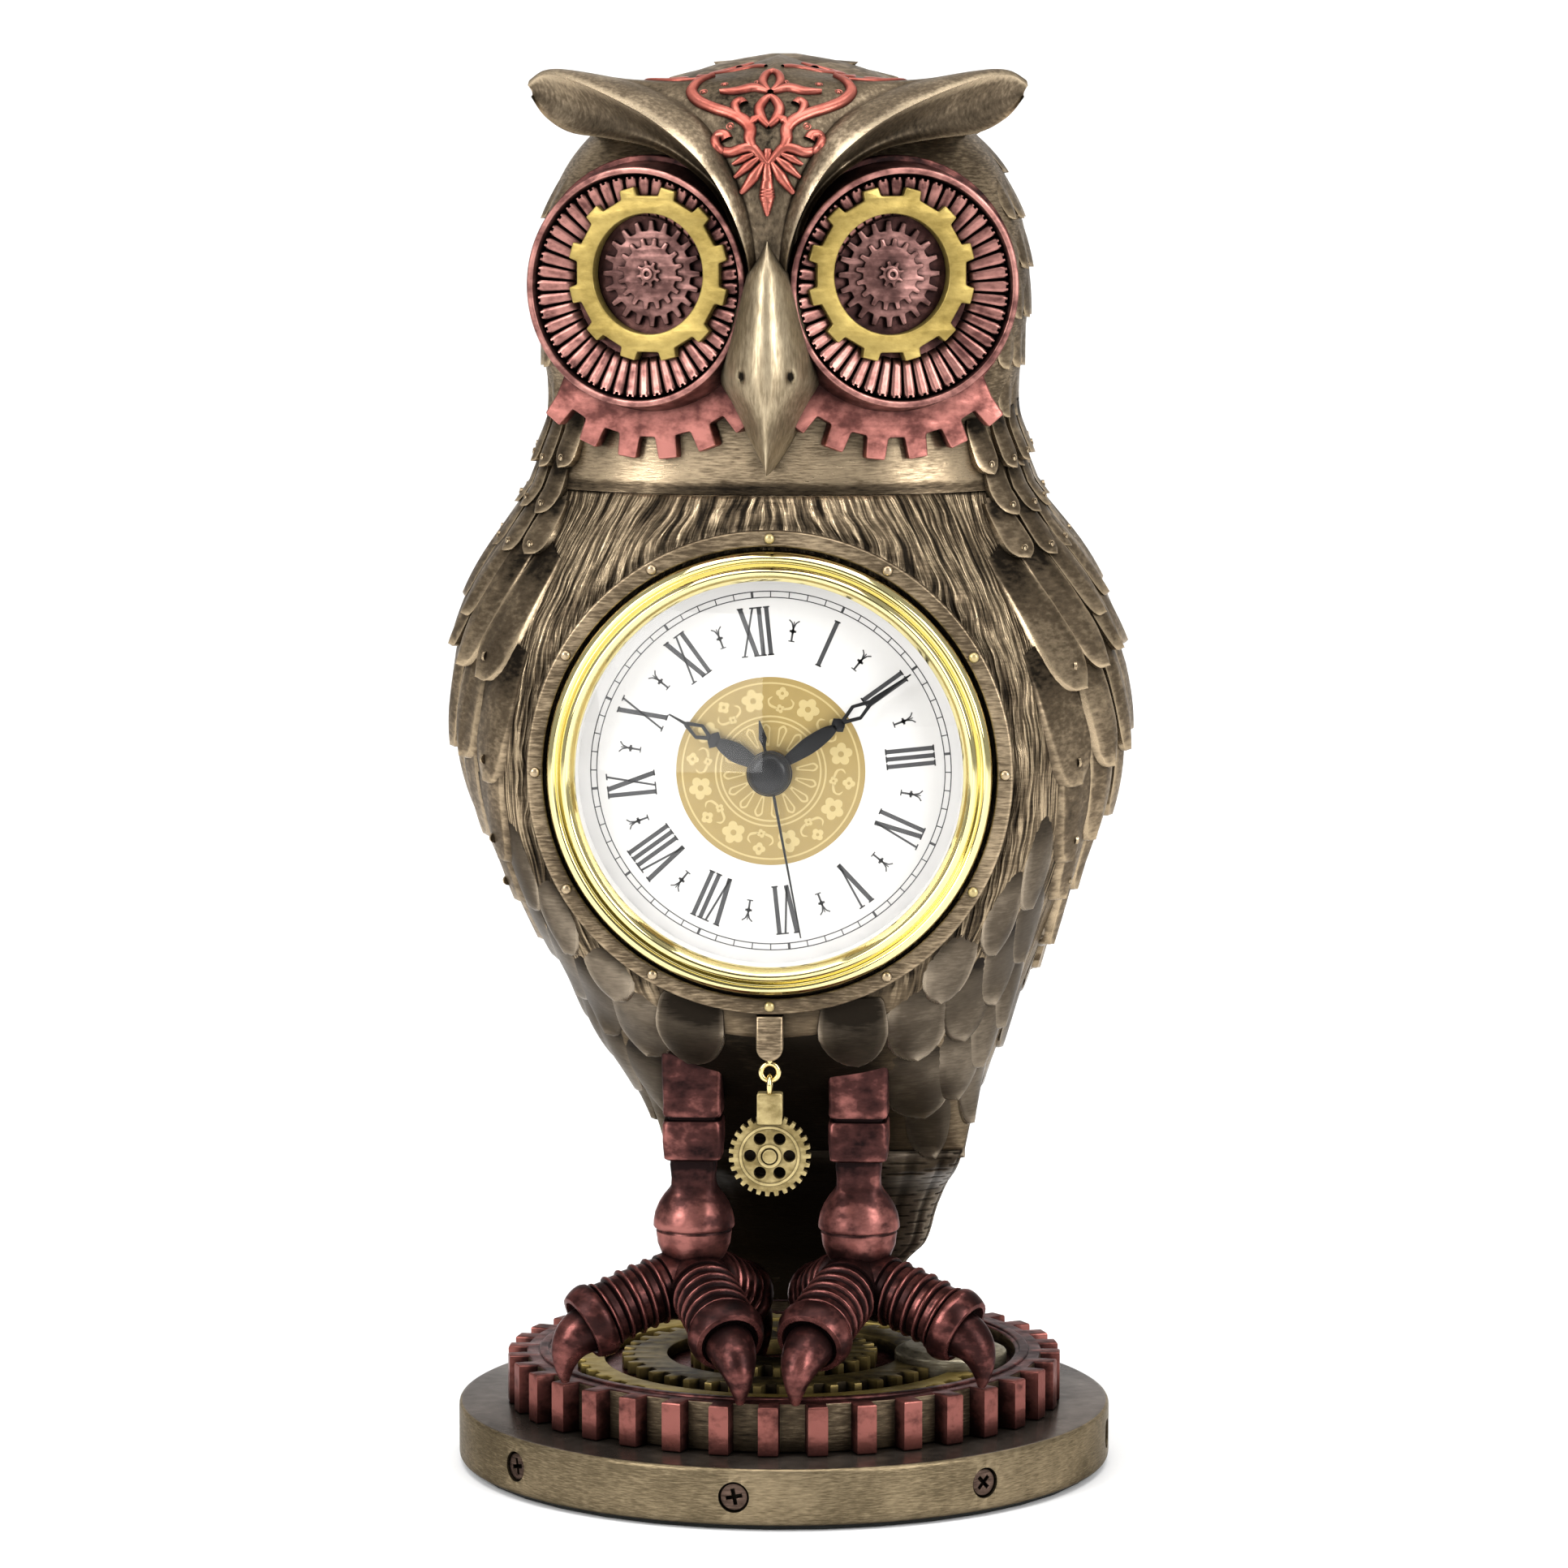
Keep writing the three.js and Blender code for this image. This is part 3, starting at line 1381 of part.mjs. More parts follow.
function coil() {
  const bore = coreWidth * coilBoreShare;
  const winding = turned([
    [bore, 0], [coilRadius, 0], [coilRadius, coilLength], [bore, coilLength], [bore, 0],
  ], 16);
  const middle = (stepperLow + stepperHigh) / 2;
  return winding.rotateY(Math.PI / 2).translate(statorEdge + coilGap, coilPlace, middle);
}

function circuitBoard() {
  const board = box(...boardSize, backPlateFront + seatGap, backPlateFront + seatGap + boardThickness);
  return moved(board, ...boardPlace, 0);
}

function battery() {
  const low = caseBack + seatGap;
  const cell = turned([
    [0, low],
    [cellRadius - cellStep, low],
    [cellRadius - cellStep, low + cellStepHeight],
    [cellRadius, low + cellStepHeight],
    [cellRadius, low + cellHeight - cellEdge],
    [cellRadius - cellEdge, low + cellHeight],
    [0, low + cellHeight],
  ], 18);
  return moved(cell, ...cellPlace, 0);
}

function batteryDoor() {
  const high = caseBack - seatGap;
  return moved(box(doorWidth, doorWidth, high - doorThickness, high), ...cellPlace, 0);
}

function placed(name, geometry, [x, y], finish) {
  addPiece(insertFrame, name, moved(geometry, x, y, 0), finish);
}

addPiece(insertFrame, 'movement_front_plate', frontPlate(), brass);
addPiece(insertFrame, 'movement_back_plate', backPlate(), casePlastic);
addPiece(insertFrame, 'circuit_board', circuitBoard(), boardGreen);
addPiece(insertFrame, 'coil', coil(), magnetWire);
addPiece(insertFrame, 'stator', stator(), steel);
placed('rotor', rotor(), rotorPlace, wheelPlastic);
placed('intermediate_wheel', intermediateWheel(), intermediatePlace, wheelPlastic);
placed('third_wheel', thirdWheel(), thirdPlace, wheelPlastic);
placed('motion_wheel', motionWheel(), motionPlace, wheelPlastic);
placed('set_knob', setKnob(), motionPlace, casePlastic);
addPiece(insertFrame, 'second_wheel', secondWheel(), wheelPlastic);
addPiece(insertFrame, 'minute_wheel', minuteWheel(), brass);
addPiece(insertFrame, 'hour_wheel', hourWheel(), brass);
addPiece(insertFrame, 'battery', battery(), steel);
addPiece(insertFrame, 'battery_door', batteryDoor(), casePlastic);

// Hands, turned to ten past ten on a dial that sits a little askew

function handShape(points, hub, hole) {
  const outline = [];
  for (const [x, y] of points) outline.push(new THREE.Vector2(x, y));
  for (const [x, y] of points.slice().reverse()) {
    if (x > 0) outline.push(new THREE.Vector2(-x, y));
  }
  const blade = slab(new THREE.Shape(outline), 0, handThickness);
  const disc = bar(hub, 0, handThickness, 16);
  return cut(join(blade, disc), bar(hole, -handThickness, 2 * handThickness, 16));
}

// Outlines of the hands: half width and distance from the hub as shares of the hand's sizes
const spadeProfile = [
  [0.35, 0], [1, 0.35], [0.3, 0.46], [1, 0.54], [0.3, 0.68], [0.2, 0.72], [0.12, 1],
];
const secondTailProfile = [[0.1, 1], [0.8, 0.55], [0.25, 0.5]];
const secondRootHalfWidth = 0.4;
const secondTipHalfWidth = 0.12;

function spadeHand(length, hub, hole, halfWidth) {
  const points = spadeProfile.map(([across, along]) => [across * halfWidth, along * length]);
  return handShape(points, hub, hole);
}

function secondHand() {
  return handShape([
    ...secondTailProfile.map(([halfWidth, along]) => [halfWidth, -along * secondTailLength]),
    [secondRootHalfWidth, 0],
    [secondTipHalfWidth, secondHandLength],
  ], capRadius / 2, secondArborRadius + seatGap);
}

function handCap() {
  const low = secondHandLow + handThickness + seatGap;
  return turned([
    [0, low],
    ...capProfile.map(([across, rise]) => [capRadius * across, low + capHeight * rise]),
    [0, low + capHeight],
  ], 20);
}

function addHand(name, geometry, degrees, low) {
  addPiece(insertFrame, name, geometry.rotateZ(rad(-degrees)).translate(0, 0, low), blackPaint);
}

const hourHole = hourPipeRadius + seatGap;
const minuteHole = minutePipeRadius + seatGap;
const hourHand = spadeHand(hourHandLength, hourHubRadius, hourHole, hourHandHalfWidth);
const minuteHand = spadeHand(minuteHandLength, minuteHubRadius, minuteHole, minuteHandHalfWidth);
addHand('hour_hand', hourHand, hourAngle, hourHandLow);
addHand('minute_hand', minuteHand, minuteAngle, minuteHandLow);
addHand('second_hand', secondHand(), secondAngle, secondHandLow);
addPiece(insertFrame, 'hand_cap', handCap(), blackPaint);

// Pendulum: tab under the ring, wire eye, and the bob on its own wire loop

const bracketTop = -ringOuterRadius - cutGap;
const bracketBottom = bracketTop - bracketHeight;
const pendulumDepth = bossFront + seatGap + ringThickness - bracketThickness / 2;

function bracket() {
  const half = bracketWidth / 2;
  const shape = new THREE.Shape();
  shape.moveTo(-half, bracketTop);
  shape.lineTo(-half, bracketBottom + half);
  shape.absarc(0, bracketBottom + half, half, Math.PI, 2 * Math.PI, false);
  shape.lineTo(half, bracketTop);
  const plate = new THREE.ExtrudeGeometry(shape, {
    depth: bracketThickness, bevelEnabled: false, curveSegments: 8,
  }).translate(0, 0, pendulumDepth - bracketThickness / 2);
  const hole = bar(eyeWireRadius + wireGap, -bracketHeight, eyeShankLength, 10).rotateX(-Math.PI / 2);
  return cut(plate, hole.translate(0, bracketBottom, pendulumDepth));
}

const eyeCentre = bracketBottom - wireGap - eyeRingRadius - eyeWireRadius;

function wireRing(radius, wire) {
  return new THREE.TorusGeometry(radius, wire, 6, 14);
}

function screwEye() {
  const shank = bar(eyeWireRadius, eyeRingRadius, eyeRingRadius + eyeShankLength, 8).rotateX(-Math.PI / 2);
  return join(wireRing(eyeRingRadius, eyeWireRadius), shank).translate(0, eyeCentre, pendulumDepth);
}

const loopTop = eyeCentre - eyeRingRadius + eyeWireRadius + loopWireRadius + wireGap;
const loopCentre = loopTop - loopRingRadius;
const blockTop = loopCentre - loopRingRadius + loopWireRadius;
const blockBottom = blockTop - bobBlockHeight;
const bobCentre = blockBottom - bobTip + bobToothDepth + bobBlockOverlap;

function pendulumEye() {
  const shank = bar(loopWireRadius, loopRingRadius, loopRingRadius + loopShankLength, 8).rotateX(Math.PI / 2);
  return join(wireRing(loopRingRadius, loopWireRadius).rotateY(Math.PI / 2), shank)
    .translate(0, loopCentre, pendulumDepth);
}

function pendulumBob() {
  const low = pendulumDepth - bobThickness / 2;
  const shape = new THREE.Shape(toothPoints(bobTeeth, bobTip - bobToothDepth, bobTip, 0, 1));
  for (let i = 0; i < bobHoleCount; i += 1) {
    const place = polar(bobHoleCircle, (360 / bobHoleCount) * (i + 0.5));
    shape.holes.push(roundHole(bobHoleRadius, 7, ...place));
  }
  const gear = slab(shape, low, low + bobThickness).translate(0, bobCentre, 0);
  const hub = bar(bobHubRadius, low, low + bobThickness + bobHubRise, 12).translate(0, bobCentre, 0);
  const block = new THREE.BoxGeometry(bobBlockWidth, bobBlockHeight, bobBlockDepth);
  const room = loopWireRadius + wireGap;
  const socket = bar(loopRingRadius + 2 * loopWireRadius, -room, room, 16);
  const shankEnd = loopRingRadius + loopShankLength + wireGap;
  const shank = bar(room, loopRingRadius, shankEnd, 8).rotateX(Math.PI / 2);
  return cut(
    join(gear, hub, block.translate(0, (blockTop + blockBottom) / 2, pendulumDepth)),
    socket.rotateY(Math.PI / 2).translate(0, loopCentre, pendulumDepth),
    shank.translate(0, loopCentre, pendulumDepth),
  );
}

addPiece(insertFrame, 'pendulum_bracket', bracket(), bronze);
addPiece(insertFrame, 'screw_eye', screwEye(), brass);
addPiece(insertFrame, 'pendulum_eye', pendulumEye(), brass);
addPiece(insertFrame, 'pendulum_bob', pendulumBob(), oldGold);

export default clock;
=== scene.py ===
import math

import bmesh
import bpy
import numpy as np
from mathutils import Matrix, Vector
from mathutils.bvhtree import BVHTree


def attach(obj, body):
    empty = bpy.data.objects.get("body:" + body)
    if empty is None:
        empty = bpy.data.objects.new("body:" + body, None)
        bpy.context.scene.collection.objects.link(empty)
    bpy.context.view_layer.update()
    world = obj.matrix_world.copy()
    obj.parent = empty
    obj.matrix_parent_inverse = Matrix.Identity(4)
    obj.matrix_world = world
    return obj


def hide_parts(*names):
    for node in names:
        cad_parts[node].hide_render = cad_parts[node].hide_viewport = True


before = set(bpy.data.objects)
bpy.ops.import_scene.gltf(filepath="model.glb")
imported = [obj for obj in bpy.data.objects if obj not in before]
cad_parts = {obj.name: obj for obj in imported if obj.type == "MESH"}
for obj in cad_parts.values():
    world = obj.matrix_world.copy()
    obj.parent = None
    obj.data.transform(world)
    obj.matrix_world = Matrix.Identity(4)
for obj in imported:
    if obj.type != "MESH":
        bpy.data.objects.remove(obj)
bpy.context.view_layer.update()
scene = bpy.context.scene
mm = 0.001
mergeDistance = 1e-6
bothSides = ((1, "right"), (-1, "left"))
rng = np.random.default_rng(11)


def smooth(low, high, value):
    t = np.clip((np.asarray(value, float) - low) / (high - low), 0, 1)
    return t * t * (3 - 2 * t)


def spline(points, count, closed=False):  # Catmull-Rom through points
    points = np.asarray(points, float)
    n = len(points)
    at = np.linspace(0, n if closed else n - 1, count, endpoint=not closed)
    i = np.minimum(at.astype(int), n - 1 if closed else n - 2)
    t = (at - i)[:, None]
    if closed:
        a, b, c, d = (points[(i + k) % n] for k in (-1, 0, 1, 2))
    else:
        a, b, c, d = (points[np.clip(i + k, 0, n - 1)] for k in (-1, 0, 1, 2))
    return 0.5 * (2 * b + (c - a) * t + (2 * a - 5 * b + 4 * c - d) * t**2 + (3 * b - a - 3 * c + d) * t**3)


def rounded(points, radius, steps=4, closed=False):  # polyline with its corners rounded
    points = [np.asarray(p, float) for p in points]
    out = []
    n = len(points)
    for i, p in enumerate(points):
        if not closed and i in (0, n - 1):
            out.append(p)
            continue
        a = points[i - 1] - p
        b = points[(i + 1) % n] - p
        la = np.linalg.norm(a)
        lb = np.linalg.norm(b)
        size = min(radius, 0.45 * la, 0.45 * lb)  # neighbouring corners never meet
        start = p + a / la * size
        end = p + b / lb * size
        for t in np.linspace(0, 1, steps + 1):
            out.append((1 - t) ** 2 * start + 2 * t * (1 - t) * p + t**2 * end)
    return np.array(out)


def circle(radius, sides, x=0, y=0):
    a = np.linspace(0, 2 * np.pi, sides, endpoint=False)
    return np.stack([x + radius * np.cos(a), y + radius * np.sin(a)], 1)


def gridFaces(rows, columns, wrap=False):
    r, c = np.meshgrid(np.arange(rows - 1), np.arange(columns if wrap else columns - 1), indexing="ij")
    d = (c + 1) % columns
    corners = [r * columns + c, r * columns + d, (r + 1) * columns + d, (r + 1) * columns + c]
    return np.stack(corners, -1).reshape(-1, 4)


def turned(profile, segments):  # (radius, height) points turned about Z
    profile = np.asarray(profile, float)
    a = np.linspace(0, 2 * np.pi, segments, endpoint=False)
    z = np.repeat(profile[:, 1:2], segments, 1)
    points = np.stack([np.outer(profile[:, 0], np.cos(a)), np.outer(profile[:, 0], np.sin(a)), z], -1)
    return points.reshape(-1, 3), gridFaces(len(profile), segments, True)


def endCaps(rows, columns):  # one face over each end of a wrapped grid
    return [list(range(columns))[::-1], [(rows - 1) * columns + c for c in range(columns)]]


def closedGrid(rows, columns):
    return gridFaces(rows, columns, True).tolist() + endCaps(rows, columns)


def addObject(name, data):
    item = bpy.data.objects.new(name, data)
    scene.collection.objects.link(item)
    return item


def evaluated(item):  # the finished mesh's points in mm, and its faces
    mesh = bpy.data.meshes.new_from_object(item.evaluated_get(bpy.context.evaluated_depsgraph_get()))
    flat = np.empty(len(mesh.vertices) * 3)
    mesh.vertices.foreach_get("co", flat)
    faces = [list(p.vertices) for p in mesh.polygons]
    bpy.data.meshes.remove(mesh)
    return flat.reshape(-1, 3) / mm, faces


def cleanMesh(mesh):  # merges doubles and turns the faces outwards
    work = bmesh.new()
    work.from_mesh(mesh)
    bmesh.ops.remove_doubles(work, verts=work.verts[:], dist=mergeDistance)
    bmesh.ops.recalc_face_normals(work, faces=work.faces[:])
    work.to_mesh(mesh)
    work.free()


def cutSheet(outlines, low, high, bevel=0.0, steps=1):  # flat outlines with holes, given a thickness
    curve = bpy.data.curves.new("outline", "CURVE")
    curve.dimensions = "2D"
    curve.fill_mode = "BOTH"
    for outline in outlines:
        line = curve.splines.new("POLY")
        line.points.add(len(outline) - 1)
        flat = np.zeros((len(outline), 4))
        flat[:, :2] = np.asarray(outline) * mm
        flat[:, 3] = 1
        line.points.foreach_set("co", flat.ravel())
        line.use_cyclic_u = True
    curve.extrude = max((high - low) / 2 - bevel, 0) * mm
    curve.bevel_depth = bevel * mm
    curve.bevel_resolution = steps
    curve.offset = -bevel * mm
    holder = addObject("outline", curve)
    points, faces = evaluated(holder)
    bpy.data.objects.remove(holder)
    bpy.data.curves.remove(curve)
    return points + np.array([0, 0, (low + high) / 2]), faces


def gearOutline(teeth, root, tip, tipShare, rootShare, phase=0.0, soft=0.0):
    pitch = 2 * np.pi / teeth
    points = []
    for i in range(teeth):
        for radius, share in ((root, -rootShare), (tip, -tipShare), (tip, tipShare), (root, rootShare)):
            a = phase + i * pitch + share * pitch / 2
            points.append((radius * math.cos(a), radius * math.sin(a)))
    return rounded(points, soft, 2, True) if soft else np.array(points)


def moved(points, x=0, y=0, z=0):
    return np.asarray(points, float) + np.array([x, y, z])


def spun(points, angle):  # turned in the drawing's own plane
    p = np.asarray(points, float)
    c = math.cos(angle)
    s = math.sin(angle)
    flat = np.stack([p[:, 0] * c - p[:, 1] * s, p[:, 0] * s + p[:, 1] * c], 1)
    return np.concatenate([flat, p[:, 2:]], 1)


def atInsert(points):  # dial's own axes to the shared frame
    p = np.asarray(points, float)
    return np.stack([p[:, 0], -p[:, 2], p[:, 1] + clockZ], 1)


def newPile():
    return {"points": [], "faces": [], "relief": [], "paint": [], "count": 0}


def addTo(pile, points, faces, relief=0.5, paint=0):
    points = np.asarray(points, float).reshape(-1, 3)
    faces = faces.tolist() if isinstance(faces, np.ndarray) else faces
    pile["points"].append(points)
    pile["faces"] += [[v + pile["count"] for v in f] for f in faces]
    pile["relief"].append(np.broadcast_to(np.asarray(relief, float).ravel(), (len(points),)))
    pile["paint"] += [paint] * len(faces)
    pile["count"] += len(points)


def addSolid(pile, solid, place, relief=0.5, paint=0):  # points and faces, carried to their place
    points, faces = solid
    addTo(pile, place(points), faces, relief, paint)


def pileOf(solid, place, relief=0.5):
    pile = newPile()
    addSolid(pile, solid, place, relief)
    return pile


def makePiece(name, pile, materials, body, nodes=(), sharp=None, fur=None):
    mesh = bpy.data.meshes.new(name)
    mesh.from_pydata((np.concatenate(pile["points"]) * mm).tolist(), [], pile["faces"])
    # per-point relief values: raised and sunk shape, and painted shade on some pieces
    layer = mesh.attributes.new("relief", "FLOAT", "POINT")
    layer.data.foreach_set("value", np.concatenate(pile["relief"]).astype(np.float32))
    if fur is not None:
        layer = mesh.attributes.new("fur", "FLOAT_VECTOR", "POINT")
        layer.data.foreach_set("vector", np.asarray(fur, np.float32).ravel())
    mesh.polygons.foreach_set("material_index", pile["paint"])
    cleanMesh(mesh)
    mesh.shade_smooth()
    if sharp:
        mesh.set_sharp_from_angle(angle=math.radians(sharp))
    for material in materials if isinstance(materials, list) else [materials]:
        mesh.materials.append(material)
    piece = addObject(name, mesh)
    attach(piece, body)
    if nodes:
        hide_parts(*nodes)


def carved(blank, tool):  # first solid less the second
    made = []
    for label, (points, faces) in (("blank", blank), ("tool", tool)):
        mesh = bpy.data.meshes.new(label)
        mesh.from_pydata((np.asarray(points) * mm).tolist(), [], [list(f) for f in faces])
        cleanMesh(mesh)
        made.append(addObject(label, mesh))
    change = made[0].modifiers.new("carve", "BOOLEAN")
    change.operation = "DIFFERENCE"
    change.solver = "EXACT"
    change.object = made[1]
    result = evaluated(made[0])
    for holder in made:
        old = holder.data
        bpy.data.objects.remove(holder)
        bpy.data.meshes.remove(old)
    return result


def addNode(tree, kind, inputs=None, **settings):
    item = tree.nodes.new(kind)
    for key, value in settings.items():
        setattr(item, key, value)
    for key, value in (inputs or {}).items():
        if isinstance(value, bpy.types.NodeSocket):
            tree.links.new(value, item.inputs[key])
        else:
            item.inputs[key].default_value = value
    return item


def mathNode(tree, operation, a, b=0.0, clamp=False):
    return addNode(tree, "ShaderNodeMath", {0: a, 1: b}, operation=operation, use_clamp=clamp).outputs[0]


def vectorNode(tree, operation, a, b):
    return addNode(tree, "ShaderNodeVectorMath", {0: a, 1: b}, operation=operation).outputs[0]


def noiseNode(tree, vector, scale, detail, roughness=0.5):
    inputs = {"Vector": vector, "Scale": scale, "Detail": detail, "Roughness": roughness}
    return addNode(tree, "ShaderNodeTexNoise", inputs)


def mixNode(tree, share, first, second):
    return addNode(tree, "ShaderNodeMix", {0: share, 6: first, 7: second}, data_type="RGBA").outputs[2]


def addShare(tree, total, value, centre, amount):  # total + (value - centre) * amount
    part = mathNode(tree, "MULTIPLY", mathNode(tree, "SUBTRACT", value, centre), amount)
    return mathNode(tree, "ADD", total, part)


def shaderStart(name):
    material = bpy.data.materials.new(name)
    material.use_nodes = True
    tree = material.node_tree
    tree.nodes.clear()
    shader = addNode(tree, "ShaderNodeBsdfPrincipled")
    output = addNode(tree, "ShaderNodeOutputMaterial")
    tree.links.new(shader.outputs[0], output.inputs[0])
    return material, tree, shader


agedDefaults = {
    "patch": 55, "grain": 420, "speck": 1500.0, "brush": (1, 1, 7), "reach": 0.004, "edge": 4.0,
    "relief": 0.8, "blotch": 0.9, "streak": 0.9, "bump": 0.25, "bumpDepth": 0.0003, "fur": False,
    "furDepth": 0.0008, "lift": 0.0, "soot": 1.6, "dull": 0.16, "polish": 0.1, "shine": 0.3,
}


def addFur(tree, wearAndShade, bump, depth):  # strands along the fur attribute, as colour and as bump
    fur = addNode(tree, "ShaderNodeAttribute", attribute_name="fur").outputs["Vector"]
    bend = noiseNode(tree, fur, 0.07, 2.0).outputs["Color"]
    bend = vectorNode(tree, "SUBTRACT", bend, (0.5, 0.5, 0.5))
    bend = vectorNode(tree, "MULTIPLY", bend, (5.0, 0.0, 0.0))
    along = vectorNode(tree, "MULTIPLY", vectorNode(tree, "ADD", fur, bend), (1.1, 0.09, 0.0))
    strand = noiseNode(tree, along, 1.0, 2.0, 0.45).outputs[0]
    strand = addNode(tree, "ShaderNodeMapRange", {0: strand, 1: 0.3, 2: 0.7}).outputs[0]
    mask = addNode(tree, "ShaderNodeSeparateXYZ", {0: fur}).outputs[2]
    hair = mathNode(tree, "MULTIPLY", strand, mask)
    inputs = {"Strength": 1.0, "Distance": depth, "Height": hair, "Normal": bump.outputs[0]}
    wearAndShade = addShare(tree, wearAndShade, strand, 0.52, mathNode(tree, "MULTIPLY", mask, 0.95))
    return wearAndShade, addNode(tree, "ShaderNodeBump", inputs)


def agedFinish(name, common, **changes):  # rubbed metallic paint: dark in hollows, bright on edges, plus painted shade from the per-point relief values
    look = {**agedDefaults, **common, **changes}
    material, tree, shader = shaderStart(name)
    coords = addNode(tree, "ShaderNodeTexCoord").outputs["Object"]
    patch = noiseNode(tree, coords, look["patch"], 4.0, 0.62).outputs[0]
    brushed = addNode(tree, "ShaderNodeMapping", {"Vector": coords, "Scale": look["brush"]}).outputs[0]
    grain = noiseNode(tree, brushed, look["grain"], 3.0, 0.6).outputs[0]
    speck = noiseNode(tree, coords, look["speck"], 2.0).outputs[0]
    hollow = addNode(tree, "ShaderNodeAmbientOcclusion", {"Distance": look["reach"]}, samples=5).outputs["AO"]
    edge = addNode(tree, "ShaderNodeNewGeometry").outputs["Pointiness"]
    # per-point relief values, which also carry painted shade on some pieces
    relief = addNode(tree, "ShaderNodeAttribute", attribute_name="relief").outputs["Fac"]
    wearAndShade = mathNode(tree, "MULTIPLY_ADD", edge, look["edge"])
    wearAndShade.node.inputs[2].default_value = 0.5 - 0.5 * look["edge"]
    for value, amount in ((relief, "relief"), (patch, "blotch"), (grain, "streak")):
        wearAndShade = addShare(tree, wearAndShade, value, 0.5, look[amount])
    coarse = mathNode(tree, "MULTIPLY", grain, 0.7)
    height = mathNode(tree, "ADD", coarse, mathNode(tree, "MULTIPLY", speck, 0.3))
    inputs = {"Strength": look["bump"], "Distance": look["bumpDepth"], "Height": height}
    bump = addNode(tree, "ShaderNodeBump", inputs)
    if look["fur"]:
        wearAndShade, bump = addFur(tree, wearAndShade, bump, look["furDepth"])
    wearAndShade = mathNode(tree, "ADD", wearAndShade, look["lift"], True)
    ramp = addNode(tree, "ShaderNodeValToRGB", {0: wearAndShade})
    stops = ramp.color_ramp.elements
    stops[0].position = 0.12
    stops[0].color = (*look["deep"], 1)
    stops[1].position = 0.86
    stops[1].color = (*look["bright"], 1)
    middle = stops.new(0.5)
    middle.color = (*look["colour"], 1)
    shade = mathNode(tree, "POWER", hollow, look["soot"])
    colour = mixNode(tree, shade, (*look["deep"], 1), ramp.outputs[0])
    dullest = look["rough"] + look["dull"]
    rough = addNode(tree, "ShaderNodeMapRange", {0: wearAndShade, 3: dullest, 4: look["rough"] - look["polish"]})
    tree.links.new(colour, shader.inputs["Base Color"])
    tree.links.new(rough.outputs[0], shader.inputs["Roughness"])
    tree.links.new(bump.outputs[0], shader.inputs["Normal"])
    shader.inputs["Metallic"].default_value = look["metal"]
    shader.inputs["Specular IOR Level"].default_value = look["shine"]
    shader.inputs["Specular Tint"].default_value = (*[0.35 + 0.3 * c for c in look["bright"]], 1)
    return material


def plainFinish(name, colour, metal, rough, scale=300.0, spread=0.12, bump=0.08, shine=0.5):
    material, tree, shader = shaderStart(name)
    coords = addNode(tree, "ShaderNodeTexCoord").outputs["Object"]
    grain = noiseNode(tree, coords, scale, 3.0).outputs[0]
    dark = tuple(c * (1 - spread) for c in colour)
    mix = mixNode(tree, grain, (*dark, 1), (*colour, 1))
    bumped = addNode(tree, "ShaderNodeBump", {"Strength": bump, "Distance": 0.0002, "Height": grain})
    roughness = addNode(tree, "ShaderNodeMapRange", {0: grain, 3: max(rough - 0.04, 0.0), 4: rough + 0.04})
    tree.links.new(mix, shader.inputs["Base Color"])
    tree.links.new(roughness.outputs[0], shader.inputs["Roughness"])
    tree.links.new(bumped.outputs[0], shader.inputs["Normal"])
    shader.inputs["Metallic"].default_value = metal
    shader.inputs["Specular IOR Level"].default_value = shine
    return material


bronzeLook = {
    "deep": (0.012, 0.009, 0.006), "colour": (0.118, 0.086, 0.053), "bright": (0.45, 0.345, 0.22),
    "metal": 0.8, "rough": 0.36,
}
bronze = agedFinish("bronze", bronzeLook)
featherBronze = agedFinish(
    "featherBronze", bronzeLook, colour=(0.132, 0.097, 0.061), relief=0.9, brush=(1, 1, 3), streak=0.7,
)
furBronze = agedFinish("furBronze", bronzeLook, fur=True, streak=0.4, blotch=0.6, lift=0.05)
hornBronze = agedFinish(
    "hornBronze", bronzeLook, colour=(0.155, 0.116, 0.075), bright=(0.50, 0.395, 0.265), brush=(3, 3, 2),
    streak=0.7,
)
oliveBronze = agedFinish(
    "oliveBronze", bronzeLook, colour=(0.088, 0.069, 0.049), bright=(0.30, 0.245, 0.18), relief=0.9,
    streak=0.3, blotch=0.7, rough=0.32, bump=0.08, reach=0.003,
)
tailBronze = agedFinish(
    "tailBronze", bronzeLook, colour=(0.135, 0.107, 0.078), bright=(0.38, 0.31, 0.235), relief=0.9,
    streak=0.4, rough=0.32, reach=0.003,
)
rimBronze = agedFinish(
    "rimBronze", bronzeLook, colour=(0.104, 0.079, 0.045), bright=(0.31, 0.24, 0.145), brush=(1, 1, 9),
    grain=520, streak=0.7, blotch=0.6, reach=0.003,
)
paleBronze = agedFinish(
    "paleBronze", bronzeLook, colour=(0.22, 0.19, 0.135), bright=(0.48, 0.43, 0.31), reach=0.002,
)
topBronze = agedFinish(
    "topBronze", bronzeLook, colour=(0.085, 0.068, 0.056), bright=(0.22, 0.18, 0.15), rough=0.22,
    streak=0.4, bump=0.1,
)
darkBronze = agedFinish("darkBronze", bronzeLook, colour=(0.040, 0.025, 0.019), bright=(0.13, 0.085, 0.065))
copperLook = {
    "deep": (0.010, 0.005, 0.005), "colour": (0.066, 0.0245, 0.022), "bright": (0.30, 0.112, 0.096),
    "metal": 0.75, "rough": 0.38, "brush": (1, 1, 1.5), "grain": 260, "blotch": 1.8, "streak": 1.2,
    "soot": 2.2,
}
copper = agedFinish("copper", copperLook)
eyeCopper = agedFinish(
    "eyeCopper", copperLook, colour=(0.120, 0.049, 0.043), bright=(0.42, 0.195, 0.165), blotch=1.3,
)
mutedCopper = agedFinish(
    "mutedCopper", copperLook, colour=(0.090, 0.043, 0.038), bright=(0.30, 0.155, 0.136), blotch=1.2,
)
